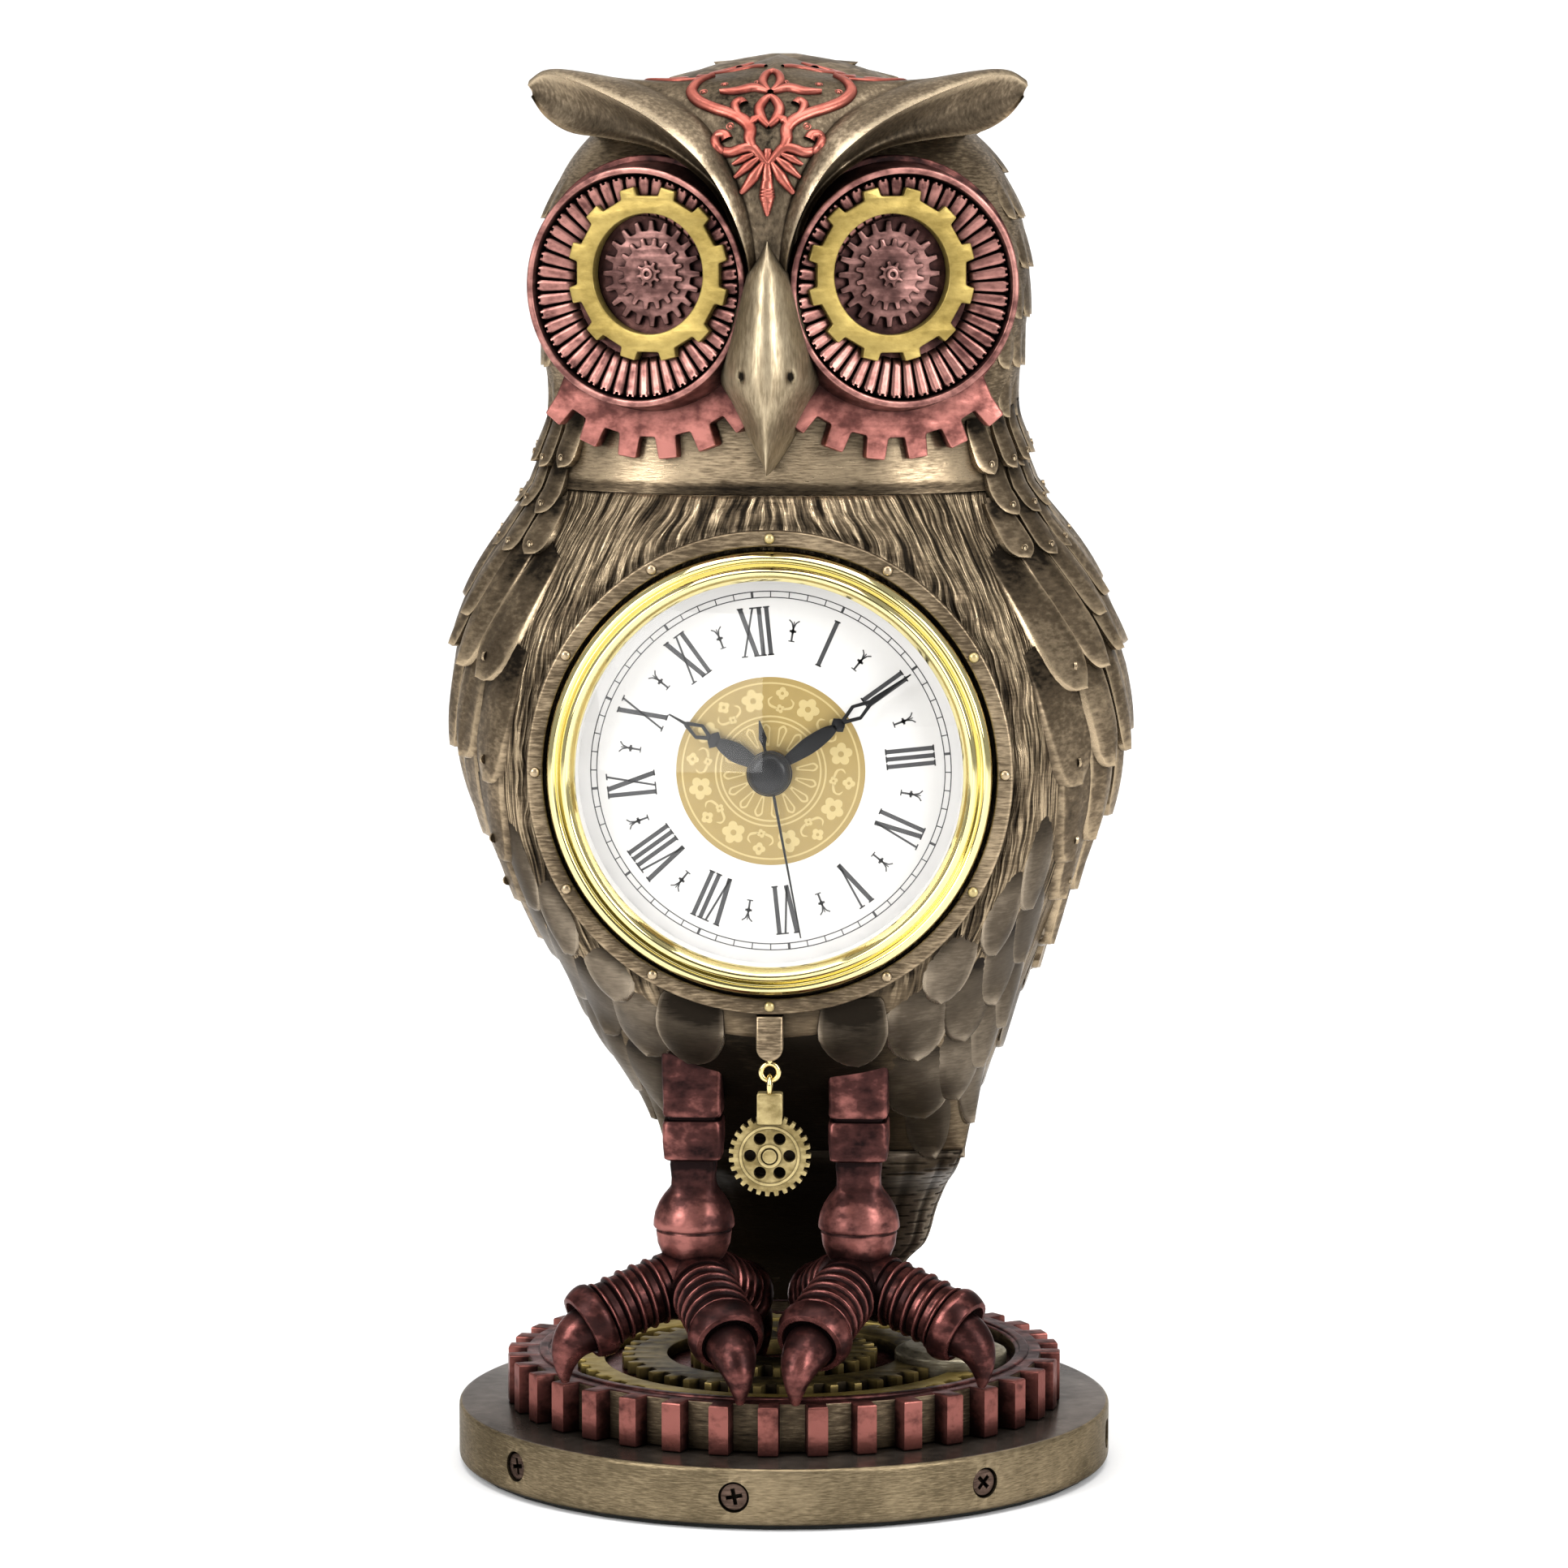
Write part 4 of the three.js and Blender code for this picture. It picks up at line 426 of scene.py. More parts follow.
brightCopper = agedFinish(
    "brightCopper", copperLook, colour=(0.150, 0.053, 0.045), bright=(0.46, 0.178, 0.148), patch=110,
    blotch=0.8, bump=0.4, relief=1.0,
)
toothCopper = agedFinish(
    "toothCopper", copperLook, colour=(0.074, 0.026, 0.022), bright=(0.235, 0.082, 0.068), patch=160,
    blotch=1.3, bump=0.4,
)
scrollCopper = agedFinish(
    "scrollCopper", copperLook, colour=(0.27, 0.062, 0.044), bright=(0.45, 0.135, 0.10), blotch=1.0,
    lift=0.05, soot=1.2,
)
darkCopper = agedFinish(
    "darkCopper", copperLook, colour=(0.036, 0.0130, 0.0118), bright=(0.185, 0.064, 0.056), rough=0.32,
    blotch=1.2,
)
goldLook = {
    "deep": (0.04, 0.028, 0.008), "colour": (0.205, 0.146, 0.038), "bright": (0.40, 0.298, 0.094),
    "metal": 0.65, "rough": 0.44, "streak": 0.5, "soot": 0.9, "brush": (1, 1, 2),
}
gold = agedFinish("gold", goldLook)
# painted shade: a much darker copy of the gold for the dish's inner gears under the figure, gold only on
# their edges
shadedGold = agedFinish(
    "shadedGold", goldLook, deep=(0.010, 0.007, 0.004), colour=(0.020, 0.014, 0.007),
    bright=(0.20, 0.145, 0.05), edge=7.0,
)
charmGold = agedFinish(
    "charmGold", goldLook, deep=(0.03, 0.022, 0.009), colour=(0.20, 0.15, 0.06), bright=(0.47, 0.375, 0.18),
    soot=1.8, reach=0.002, patch=300,
)
beakBronze = agedFinish(
    "beakBronze", bronzeLook, colour=(0.22, 0.17, 0.105), bright=(0.55, 0.45, 0.30), streak=0.6,
    brush=(5, 2, 0.8), rough=0.42,
)
bezelGold = plainFinish("bezelGold", (0.80, 0.70, 0.34), 1.0, 0.08, 40.0, 0.03, 0.0)
brassWire = plainFinish("brassWire", (0.78, 0.63, 0.30), 1.0, 0.22, 800.0, 0.2)
whiteDial = plainFinish("whiteDial", (0.70, 0.69, 0.68), 0.0, 0.5, 200.0, 0.02, 0.0)
inkGrey = plainFinish("inkGrey", (0.035, 0.035, 0.038), 0.0, 0.5, 500.0, 0.2, 0.0)
dialGold = plainFinish("dialGold", (0.42, 0.305, 0.115), 0.75, 0.42, 600.0, 0.14, 0.05)
paleGold = plainFinish("paleGold", (0.62, 0.49, 0.23), 0.75, 0.34, 600.0, 0.1, 0.05)
handBlack = plainFinish("handBlack", (0.006, 0.006, 0.007), 0.0, 0.3, 900.0, 0.3, 0.1, 0.2)
darkPlastic = plainFinish("darkPlastic", (0.03, 0.03, 0.033), 0.0, 0.5, 2500.0, 0.3, 0.3)
whitePlastic = plainFinish("whitePlastic", (0.80, 0.78, 0.72), 0.0, 0.35)
boardGreen = plainFinish("boardGreen", (0.03, 0.16, 0.06), 0.0, 0.4)
coilCopper = plainFinish("coilCopper", (0.60, 0.27, 0.10), 0.9, 0.3, 2000.0, 0.4, 0.5)
bareSteel = plainFinish("bareSteel", (0.60, 0.61, 0.62), 1.0, 0.28, 1200.0)
plateBrass = plainFinish("plateBrass", (0.72, 0.57, 0.28), 1.0, 0.3, 900.0)
softRubber = plainFinish("softRubber", (0.02, 0.02, 0.02), 0.0, 0.75, 900.0)
blackFelt = plainFinish("blackFelt", (0.02, 0.022, 0.02), 0.0, 0.95, 4000.0, 0.5, 0.6)


def clearFinish(name):
    material, tree, shader = shaderStart(name)
    tree.nodes.remove(shader)
    output = tree.nodes["Material Output"]
    clear = addNode(tree, "ShaderNodeBsdfTransparent", {"Color": (0.985, 0.985, 0.98, 1)})
    gloss = addNode(tree, "ShaderNodeBsdfGlossy", {"Color": (1, 1, 1, 1), "Roughness": 0.02})
    facing = addNode(tree, "ShaderNodeLayerWeight", {"Blend": 0.5}).outputs["Facing"]
    edge = mathNode(tree, "POWER", facing, 4.0)
    share = mathNode(tree, "ADD", mathNode(tree, "MULTIPLY", edge, 0.6), 0.035)
    mix = addNode(tree, "ShaderNodeMixShader", {0: share, 1: clear.outputs[0], 2: gloss.outputs[0]})
    tree.links.new(mix.outputs[0], output.inputs[0])
    return material


lensClear = clearFinish("lensClear")
print("stage: finishes made")

# shared places, mm
clockZ = 135.1
seamZ = 184.5
baseTop = 11.5
gearTop = 20.7
dishFloor = 17.5
ankleZ = 38.7

body = {
    "halfWidth": 59, "front": 45, "back": 51, "bottom": 58.8, "height": 125.7, "blunt": 2.4, "sway": 4.2,
    "swayPower": 1.2, "leftDraw": 0.12, "swellIn": 44.5, "swellOut": 59, "chest": -44.2,
}
bodyRows = np.array([
    (0, 0.5, 0.05, 0.88), (0.06, 0.535, 0.27, 0.9), (0.115, 0.575, 0.55, 0.915), (0.17, 0.628, 0.74, 0.93),
    (0.27, 0.72, 0.89, 0.955), (0.385, 0.83, 0.965, 0.98), (0.5, 0.932, 0.99, 1), (0.605, 0.985, 1, 1),
    (0.72, 0.985, 1, 0.985), (0.8, 0.953, 0.985, 0.96), (0.9, 0.885, 0.95, 0.9), (1, 0.775, 0.9, 0.82),
])
head = {"halfWidth": 45.3, "front": 43, "back": 42, "height": 78.5, "blunt": 2.5}
headRows = np.array([
    (0, 1.005, 0.94, 1), (0.08, 0.975, 0.935, 0.985), (0.17, 0.945, 0.94, 0.98), (0.29, 0.97, 0.97, 0.99),
    (0.46, 1, 1, 1), (0.57, 0.985, 0.99, 0.985), (0.67, 0.935, 0.95, 0.935), (0.77, 0.84, 0.86, 0.84),
    (0.86, 0.68, 0.69, 0.68), (0.935, 0.46, 0.46, 0.46), (0.98, 0.24, 0.23, 0.24), (1, 0.05, 0.05, 0.05),
])


def alongRows(rows, station, column):  # smooth value between rows
    last = len(rows) - 1
    x = rows[:, 0]
    v = rows[:, column]
    before = np.maximum(np.arange(last + 1) - 1, 0)
    after = np.minimum(np.arange(last + 1) + 1, last)
    slope = (v[after] - v[before]) / (x[after] - x[before])
    i = np.clip(np.searchsorted(x, station, side="left") - 1, 0, last - 1)
    span = x[i + 1] - x[i]
    t = (station - x[i]) / span
    return ((2 * t**3 - 3 * t**2 + 1) * v[i] + (t**3 - 2 * t**2 + t) * span * slope[i]
            + (3 * t**2 - 2 * t**3) * v[i + 1] + (t**3 - t**2) * span * slope[i + 1])


def ovalPoint(degrees, halfWidth, front, back, blunt):
    c = np.cos(np.radians(degrees))
    s = np.sin(np.radians(degrees))
    x = halfWidth * np.sign(c) * np.abs(c) ** (2 / blunt)
    y = np.where(s < 0, front, back) * np.sign(s) * np.abs(s) ** (2 / blunt)
    return x, y


def bodyShare(z):
    return np.clip((z - body["bottom"]) / body["height"], 0, 1)


def bodySway(share):
    return body["sway"] * (1 - share) ** body["swayPower"]


def outlineAt(degrees, rows, share, sizes, grow):  # a point on the outline at a share of the height
    spans = []
    for column, key in ((1, "halfWidth"), (2, "front"), (3, "back")):
        spans.append(alongRows(rows, share, column) * sizes[key] + grow)
    return ovalPoint(degrees, *spans, sizes["blunt"])


def sameShape(*values):
    return np.broadcast_arrays(*(np.asarray(v, float) for v in values))


def bodySurface(degrees, z, grow=0.0):  # the body's skin, filled out to meet the chest ring
    degrees, z, grow = sameShape(degrees, z, grow)
    share = bodyShare(z)
    x, y = outlineAt(degrees, bodyRows, share, body, grow)
    x = np.where(x < 0, x * (1 - body["leftDraw"] * (1 - smooth(0, 0.22, share))), x)
    x = x + bodySway(share)
    near = 1 - smooth(body["swellIn"], body["swellOut"], np.hypot(x, z - clockZ))
    y = np.where(y < 0, y + (np.minimum(y, body["chest"] - grow) - y) * near, y)
    return np.stack([x, y, z], -1)


def headSurface(degrees, z, grow=0.0):
    degrees, z, grow = sameShape(degrees, z, grow)
    share = np.clip((z - seamZ) / head["height"], 0, 1)
    x, y = outlineAt(degrees, headRows, share, head, grow)
    return np.stack([x, y, z + grow * smooth(0.6, 1.0, share)], -1)


def skirted(values, drop):  # copies the free edges once more, lowered
    wide = np.concatenate([values[:, :1] - drop, values, values[:, -1:] - drop], 1)
    return np.concatenate([wide, wide[-1:] - drop], 0)


def standOff(look, degrees, z):
    return look["base"](degrees, z) if callable(look["base"]) else look["base"]


featherDefaults = {"round": 0.7, "bow": 0.0, "shaft": 0.12, "tone": 0, "skirtTone": 0.45, "studAt": 0.84}


def addFeather(pile, surface, root, tip, half, changes):  # one rounded tab lying on a surface
    look = {**featherDefaults, **changes}
    perDegree = look["perDegree"]
    begin = look["round"]  # where the rounded tip begins
    bent = np.sin(np.linspace(0, np.pi / 2 * 0.97, 8))
    t = np.concatenate([np.linspace(0, begin, 8)[:-1], begin + (1 - begin) * bent])
    s = np.array([-1, -0.86, -0.6, -0.3, -0.08, 0.08, 0.3, 0.6, 0.86, 1])
    width = half * (0.72 + 0.28 * np.sqrt(np.minimum(t / 0.5, 1)))
    width = width * np.sqrt(np.clip(1 - (np.maximum(t - begin, 0) / (1 - begin)) ** 2, 0, 1))
    run = np.array([(tip[0] - root[0]) * perDegree, tip[1] - root[1]])
    side = np.array([-run[1], run[0]]) / np.linalg.norm(run)
    bow = look["bow"] * np.sin(np.pi * t)
    off = width[:, None] * s[None, :] + bow[:, None]
    degrees = root[0] + (tip[0] - root[0]) * t[:, None] + side[0] * off / perDegree
    z = root[1] + (tip[1] - root[1]) * t[:, None] + side[1] * off
    rise = look["lift"] * t[:, None] ** 1.15 + look["crown"] * (1 - s**2)[None, :] * (0.4 + 0.6 * t[:, None])
    rise = rise + look["shaft"] * np.exp(-((s / 0.12) ** 2))[None, :]
    relief = 0.5 + 0.34 * smooth(0.8, 1.0, np.abs(s))[None, :] + 0.28 * smooth(0.86, 1.0, t)[:, None]
    # painted shade at the root, under the row above
    relief = relief - 0.4 * (1 - smooth(0.1, 0.45, t))[:, None]
    degrees = skirted(degrees, 0)
    z = skirted(z, 0)
    rise = skirted(rise, look["thick"])
    relief = skirted(relief, look["skirtTone"])
    points = surface(degrees, z, standOff(look, degrees, z) + rise)
    addTo(pile, points, gridFaces(*points.shape[:2]), np.clip(relief + look["tone"], 0, 1))
    spot = [np.array(root[k] + (tip[k] - root[k]) * look["studAt"]) for k in (0, 1)]
    return surface(*spot, standOff(look, *spot) + look["lift"] * 0.82 + look["crown"] * 0.9)


studProfile = [  # share of the radius, height, relief
    (0, -0.5, 0.3), (1.5, -0.5, 0.3), (1.45, 0.04, 0.8), (1.1, 0.0, 0.5),
    (0.95, -0.15, 0.0), (0.8, 0.06, 0.7), (0.4, 0.2, 0.9), (0, 0.24, 0.9),
]


def addStud(pile, place, out, radius, sides=12):  # small rivet in a sunk ring
    out = out / np.linalg.norm(out)
    a = np.cross(out, [0, 0, 1.0])
    a = a / np.linalg.norm(a)
    b = np.cross(out, a)
    points, faces = turned([(radius * share, high) for share, high, _ in studProfile], sides)
    relief = np.repeat([tone for _, _, tone in studProfile], sides)
    addTo(pile, place + points[:, :1] * a + points[:, 1:2] * b + points[:, 2:] * out, faces, relief)


# base
base = {"radius": 61.2, "felt": 1.0, "chamfer": 0.9, "segments": 180}
screw = {
    "count": 8, "start": -5.3, "radius": 2.5, "sink": 1.5, "sinkLow": 2.75, "sinkHigh": 2.9, "below": 0.45,
}
rimZ = (base["felt"] + baseTop) / 2
sunk = base["radius"] - screw["sink"]
plus = np.array([
    (0.32, 0.32), (1.45, 0.32), (1.45, -0.32), (0.32, -0.32), (0.32, -1.45), (-0.32, -1.45),
    (-0.32, -0.32), (-1.45, -0.32), (-1.45, 0.32), (-0.32, 0.32), (-0.32, 1.45), (0.32, 1.45),
])


def toRim(points, turn):  # a screw's own axes to its place in the rim
    c = math.cos(turn)
    s = math.sin(turn)
    x = points[:, 0] * c + points[:, 2] * s
    y = points[:, 0] * s - points[:, 2] * c
    return np.stack([x, y, points[:, 1] + rimZ], 1)


sinkPile = newPile()
screwPile = newPile()
for i in range(screw["count"]):
    turn = math.radians(screw["start"] + 360 / screw["count"] * i)
    clear = base["radius"] + 2
    points, faces = turned([(0, sunk), (screw["sinkLow"], sunk), (screw["sinkHigh"], clear), (0, clear)], 28)
    addTo(sinkPile, toRim(points, turn), faces)
    spin = rng.uniform(0, math.pi / 2)
    turnPlus = plus @ np.array([[math.cos(spin), math.sin(spin)], [-math.sin(spin), math.cos(spin)]])
    faceLines = [circle(screw["radius"], 28), turnPlus]
    points, faces = cutSheet(faceLines, base["radius"] - 1.6, base["radius"] - screw["below"], 0.22, 2)
    addTo(screwPile, toRim(points, turn), faces, 0.55)
    # painted shade: a darkest disc on the hole's floor, seen through the cross slot
    points, faces = turned([(0, sunk), (1.6, sunk)], 16)
    addTo(screwPile, toRim(points, turn), faces, 0.0)
rim = [(0, base["felt"]), (base["radius"], base["felt"]), (base["radius"], baseTop), (0, baseTop)]
blank = turned(rounded(rim, base["chamfer"], 4), base["segments"])
points, faces = carved(blank, (np.concatenate(sinkPile["points"]), sinkPile["faces"]))
far = np.hypot(points[:, 0], points[:, 1])
discPile = newPile()
addTo(discPile, points, faces)
discPile["paint"] = [
    int(np.mean(points[f][:, 2]) > baseTop - 0.3 and np.mean(far[f]) < base["radius"] - 0.5) for f in faces
]
makePiece("baseDiscLook", discPile, [rimBronze, topBronze], "figure", ["base_disc"], 40)
screwNodes = [f"rim_screw_{i + 1}" for i in range(screw["count"])]
makePiece("rimScrewsLook", screwPile, darkBronze, "figure", screwNodes, 40)

gear = {
    "teeth": 36, "tip": 52, "root": 48.5, "dish": 43.5, "tipShare": 0.40, "rootShare": 0.46,
    "segments": 120,
}
outline = gearOutline(gear["teeth"], gear["root"], gear["tip"], gear["tipShare"], gear["rootShare"])
points, faces = cutSheet([outline, circle(gear["dish"], gear["segments"])], baseTop + 0.02, gearTop, 0.4, 2)
far = np.hypot(points[:, 0], points[:, 1])
gearPile = newPile()
addTo(gearPile, points, faces)


def gearPaint(face):  # copper teeth, dark top, bronze between
    if np.mean(far[face]) > gear["root"] + 0.35:
        return 0
    return 2 if np.mean(points[face][:, 2]) > gearTop - 0.3 else 1


gearPile["paint"] = [gearPaint(f) for f in faces]
floorEdge = gear["dish"] + 0.3
dishBed = [(0, dishFloor - 1), (0, dishFloor), (floorEdge, dishFloor), (floorEdge, dishFloor - 1)]
topRidge = [(44.2, gearTop - 0.2), (44.4, gearTop + 0.35), (46.0, gearTop + 0.35), (46.2, gearTop - 0.2)]
bedRidge = [
    (40.2, dishFloor - 0.2), (40.4, dishFloor + 1.5), (41.6, dishFloor + 1.5), (41.8, dishFloor - 0.2),
]
for profile in (dishBed, rounded(topRidge, 0.3, 3), rounded(bedRidge, 0.3, 3)):
    points, faces = turned(profile, gear["segments"])
    addTo(gearPile, points, faces, 0.45, 2)
gearFinishes = [toothCopper, bronze, darkCopper]
makePiece("baseGearLook", gearPile, gearFinishes, "figure", ["base_gear"], 35)

dish = {"lift": 0.05, "tipShare": 0.3, "rootShare": 0.6, "bevel": 0.25}
dishGears = [  # teeth, root, tip, phase, hole, the hole's sides, height, paint
    (48, 37.6, 38.9, 0.0, 33.8, 90, 1.7, 0), (40, 28.2, 30.5, 0.05, 22, 70, 2.3, 1),
    (26, 15.2, 17.6, 0.1, 8, 40, 3.0, 1),
]
dishPile = newPile()
low = dishFloor + dish["lift"]
for teeth, root, tip, phase, hole, holeSides, height, paint in dishGears:
    outline = gearOutline(teeth, root, tip, dish["tipShare"], dish["rootShare"], phase)
    points, faces = cutSheet([outline, circle(hole, holeSides)], low, low + height, dish["bevel"], 1)
    addTo(dishPile, points, faces, 0.45, paint)
makePiece("dishGearLook", dishPile, [gold, shadedGold], "figure", ["base_gold_gear"], 35)

plate = {"x": 31.5, "y": -3, "radius": 10.5, "topRadius": 8.6, "edge": gearTop + 0.6, "top": gearTop + 1.5}
plateProfile = [
    (0, dishFloor), (plate["radius"], dishFloor), (plate["radius"], plate["edge"]),
    (plate["topRadius"], plate["top"]), (0, plate["top"]),
]
points, faces = turned(rounded(plateProfile, 0.4, 3), 64)
platePile = newPile()
addTo(platePile, moved(points, plate["x"], plate["y"], 0), faces)
makePiece("dishPlateLook", platePile, paleBronze, "figure", (), 40)


def repaint(node, material):  # a CAD node that keeps its shape
    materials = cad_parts[node].data.materials
    materials.clear()
    materials.append(material)


repaint("base_felt_pad", blackFelt)
print("stage: base built")

# legs
leg = {"x": 15.2, "y": -25.0, "sides": 40}
legRows = [  # height, half size, bluntness
    (84.8, 5.5, 9), (83.5, 5.7, 9), (78, 5.6, 9), (72, 5.35, 9), (70.3, 5.45, 9), (69.75, 5.2, 8),
    (69.6, 4.5, 7), (69.1, 4.5, 7), (68.9, 5.25, 8), (68.3, 5.5, 9), (65, 5.5, 9), (62.6, 5.3, 9),
    (61.9, 5.25, 8), (61.6, 4.9, 7), (61.4, 4.2, 6), (60.9, 4.2, 6), (60.5, 4.25, 6), (58, 4.0, 6),
    (56.4, 4.1, 5), (55.6, 4.6, 3), (54.6, 5.5, 2.2), (53.2, 6.4, 2), (51.4, 7.15, 2), (49.8, 7.45, 2),
    (48.9, 7.5, 2), (48.55, 7.3, 2), (48.4, 6.85, 2), (48.1, 6.85, 2), (47.9, 7.0, 2), (45.6, 6.7, 2),
    (43.6, 5.9, 2), (42.4, 5.0, 2),
]


def legTone(z, half):
    if half < 4.6 and z > 60:
        return 0.2  # grooves between the blocks
    return 0.5 if z > 56 else 0.58


angle = np.linspace(0, 360, leg["sides"], endpoint=False)
legRings = []
for z, half, blunt in legRows:
    x, y = ovalPoint(angle, half, half, half, blunt)
    legRings.append(np.stack([x, y, np.full(leg["sides"], z)], 1))
legRelief = np.repeat([legTone(z, half) for z, half, _ in legRows], leg["sides"])
for side, name in bothSides:
    pile = newPile()
    points = moved(np.concatenate(legRings), side * leg["x"], leg["y"], 0)
    addTo(pile, points, closedGrid(len(legRows), leg["sides"]), legRelief)
    makePiece(f"{name}LegLook", pile, copper, "figure", [f"{name}_leg"], 38)

foot = {
    "toe": 5.7, "rib": 1.0, "collar": 7.1, "drop": 7.4, "arch": 1.9, "claw": 4.5, "clawTip": 0.7,
    "ribStart": 0.26, "ribSpan": 0.56, "ribEnd": 0.82, "toeRows": 190, "toeSides": 26, "clawRows": 30,
    "clawSides": 22, "lipAt": 0.78, "lipWide": 0.13, "grooveWide": 0.12, "cuff": 0.2,
}
toeMouth = [(0.86, -0.1, 0.7), (0.76, 0.5, 0.1), (0.5, 0.9, 0.05)]  # share of the rim, depth, relief
# reach from the ankle, hook of the claw, floor under it, ribs
toes = [((19.8, -9.5), 3.4, gearTop, 5), ((-8, -21.6), 6.2, gearTop, 5), ((-8, 17), 6.2, dishFloor, 4)]
ankle = [(0, -7), (3.6, -6), (6.2, -3.2), (7.2, 0), (6.7, 2), (5.6, 3.5), (0, 3.6)]


def bezier(a, b, c, t):
    t = t[:, None]
    return (1 - t) ** 2 * a + 2 * t * (1 - t) * b + t**2 * c


def limbPoints(path, radii, sides, across):  # rings along a path that bends in one upright plane
    tangent = np.gradient(path, axis=0)
    tangent = tangent / np.linalg.norm(tangent, axis=1)[:, None]
    across = np.repeat(across[None, :], len(path), 0)
    over = np.cross(across, tangent)
    a = np.linspace(0, 2 * np.pi, sides, endpoint=False)
    ring = np.cos(a)[None, :, None] * across[:, None, :] + np.sin(a)[None, :, None] * over[:, None, :]
    return path[:, None, :] + ring * np.asarray(radii)[:, None, None]


def addToe(pile, side, reach, hook, floor, ribs):
    outward = np.array([side * reach[0], reach[1], 0])
    outward = outward / np.linalg.norm(outward)
    across = np.cross(outward, [0, 0, 1.0])
    start = np.array([0, 0, ankleZ])
    end = np.array([side * reach[0], reach[1], ankleZ - foot["drop"]])
    crest = (start + end) / 2 + np.array([0, 0, foot["arch"]])
    t = np.linspace(0, 1, foot["toeRows"])
    band = (np.clip((t - foot["ribStart"]) / foot["ribSpan"], 0, 1) * ribs) % 1
    inRibs = (t > foot["ribStart"]) & (t < foot["ribEnd"])
    lip = np.exp(-(((band - foot["lipAt"]) / foot["lipWide"]) ** 2))  # thin raised edge of each band
    groove = np.minimum(1, np.minimum(band, 1 - band) / foot["grooveWide"])
    swell = groove * (0.35 + 0.25 * band) + 0.42 * lip
    pastRibs = np.clip((t - foot["ribEnd"]) / foot["cuff"], 0, 1)
    cuff = np.sqrt(np.clip(np.sin(np.pi * pastRibs**0.6), 0, 1))
    radii = np.full(len(t), foot["toe"])
    radii = np.where(inRibs, foot["toe"] - 0.3 + foot["rib"] * swell, radii)
    radii = np.where(t < foot["ribStart"], foot["toe"] + 0.6 - 2.0 * (t - 0.1) ** 2, radii)
    flare = foot["toe"] - 0.2 + (foot["collar"] - foot["toe"] + 0.2) * cuff
    radii = np.where(t >= foot["ribEnd"], flare, radii)
    relief = np.where(inRibs, 0.1 + 0.25 * groove + 0.6 * lip, 0.45)
    path = bezier(start, crest, end, t)
    points = limbPoints(path, radii, foot["toeSides"], across)
    face = points[-1]
    middle = face.mean(0)
    ahead = (path[-1] - path[-4]) / np.linalg.norm(path[-1] - path[-4])
    mouth = [middle + (face - middle) * share - ahead * depth for share, depth, _ in toeMouth]
    points = np.concatenate([points, np.array(mouth)], 0)
    relief = np.concatenate([relief, [tone for _, _, tone in toeMouth]])
    addTo(pile, points, gridFaces(len(points), foot["toeSides"], True), np.repeat(relief, foot["toeSides"]))
    tip = end + outward * hook
    tip[2] = floor + foot["clawTip"]
    bend = end + outward * (hook + 1.2)
    bend[2] = (end[2] + floor) / 2 + foot["drop"] / 2.4
    u = np.linspace(0, 1, foot["clawRows"])
    claw = bezier(end - outward * 1.6, bend, tip, u)
    clawRadii = foot["clawTip"] + (foot["claw"] - foot["clawTip"]) * (1 - u**1.7)
    points = limbPoints(claw, clawRadii, foot["clawSides"], across)
    clawFaces = closedGrid(foot["clawRows"], foot["clawSides"])
    addTo(pile, points, clawFaces, np.repeat(0.3 + 0.25 * u, foot["clawSides"]))


for side, name in bothSides:
    pile = newPile()
    for reach, hook, floor, ribs in toes:
        addToe(pile, side, reach, hook, floor, ribs)
    points, faces = turned([(r, ankleZ + z) for r, z in ankle], 32)
    addTo(pile, points, faces, 0.35)
    pile["points"] = [moved(p, side * leg["x"], leg["y"], 0) for p in pile["points"]]
    makePiece(f"{name}FootLook", pile, darkCopper, "figure", [f"{name}_foot"], 50)
print("stage: legs and feet built")

# body skin
def furFlow(p):  # strand coordinates that part round the clock, and where the fur shows
    wide = p[:, 0] + np.sign(p[:, 0]) * 0.7 * np.maximum(p[:, 1] - body["chest"], 0)
    away = np.maximum(np.hypot(wide, p[:, 2] - clockZ), 30)
    sides = 1 - smooth(62, 72, np.abs(wide))
    shown = sides * smooth(96, 106, p[:, 2] + 0.25 * np.abs(wide)) * (p[:, 1] < -5)
    return np.stack([wide * (1 - 24**2 / away**2), p[:, 2], shown], 1)


skin = {"columns": 300, "rows": 170, "opening": 43, "openingY": -20}
degrees = np.linspace(0, 360, skin["columns"], endpoint=False)
heights = np.linspace(body["bottom"], seamZ - 0.05, skin["rows"])
flat = bodySurface(*np.meshgrid(degrees, heights)).reshape(-1, 3)
faces = gridFaces(skin["rows"], skin["columns"], True)
centre = flat[faces].mean(1)
inOpening = np.hypot(centre[:, 0], centre[:, 2] - clockZ) < skin["opening"]
inOpening = inOpening & (centre[:, 1] < skin["openingY"])
shadeUnderClock = (1 - smooth(15, 27, np.abs(flat[:, 0]))) * (1 - smooth(88, 98, flat[:, 2])) * (flat[:, 1] < 0)
tone = 0.5 - 0.6 * shadeUnderClock - 0.4 * (flat[:, 2] < body["bottom"] + 0.4)  # painted shade: darker low on the front under the clock, and a dark line along the body's bottom edge
bodyPile = newPile()
addTo(bodyPile, flat, faces[~inOpening].tolist() + endCaps(skin["rows"], skin["columns"]), tone)
makePiece("bodySkin", bodyPile, furBronze, "figure", ["body_shell"], None, furFlow(flat))

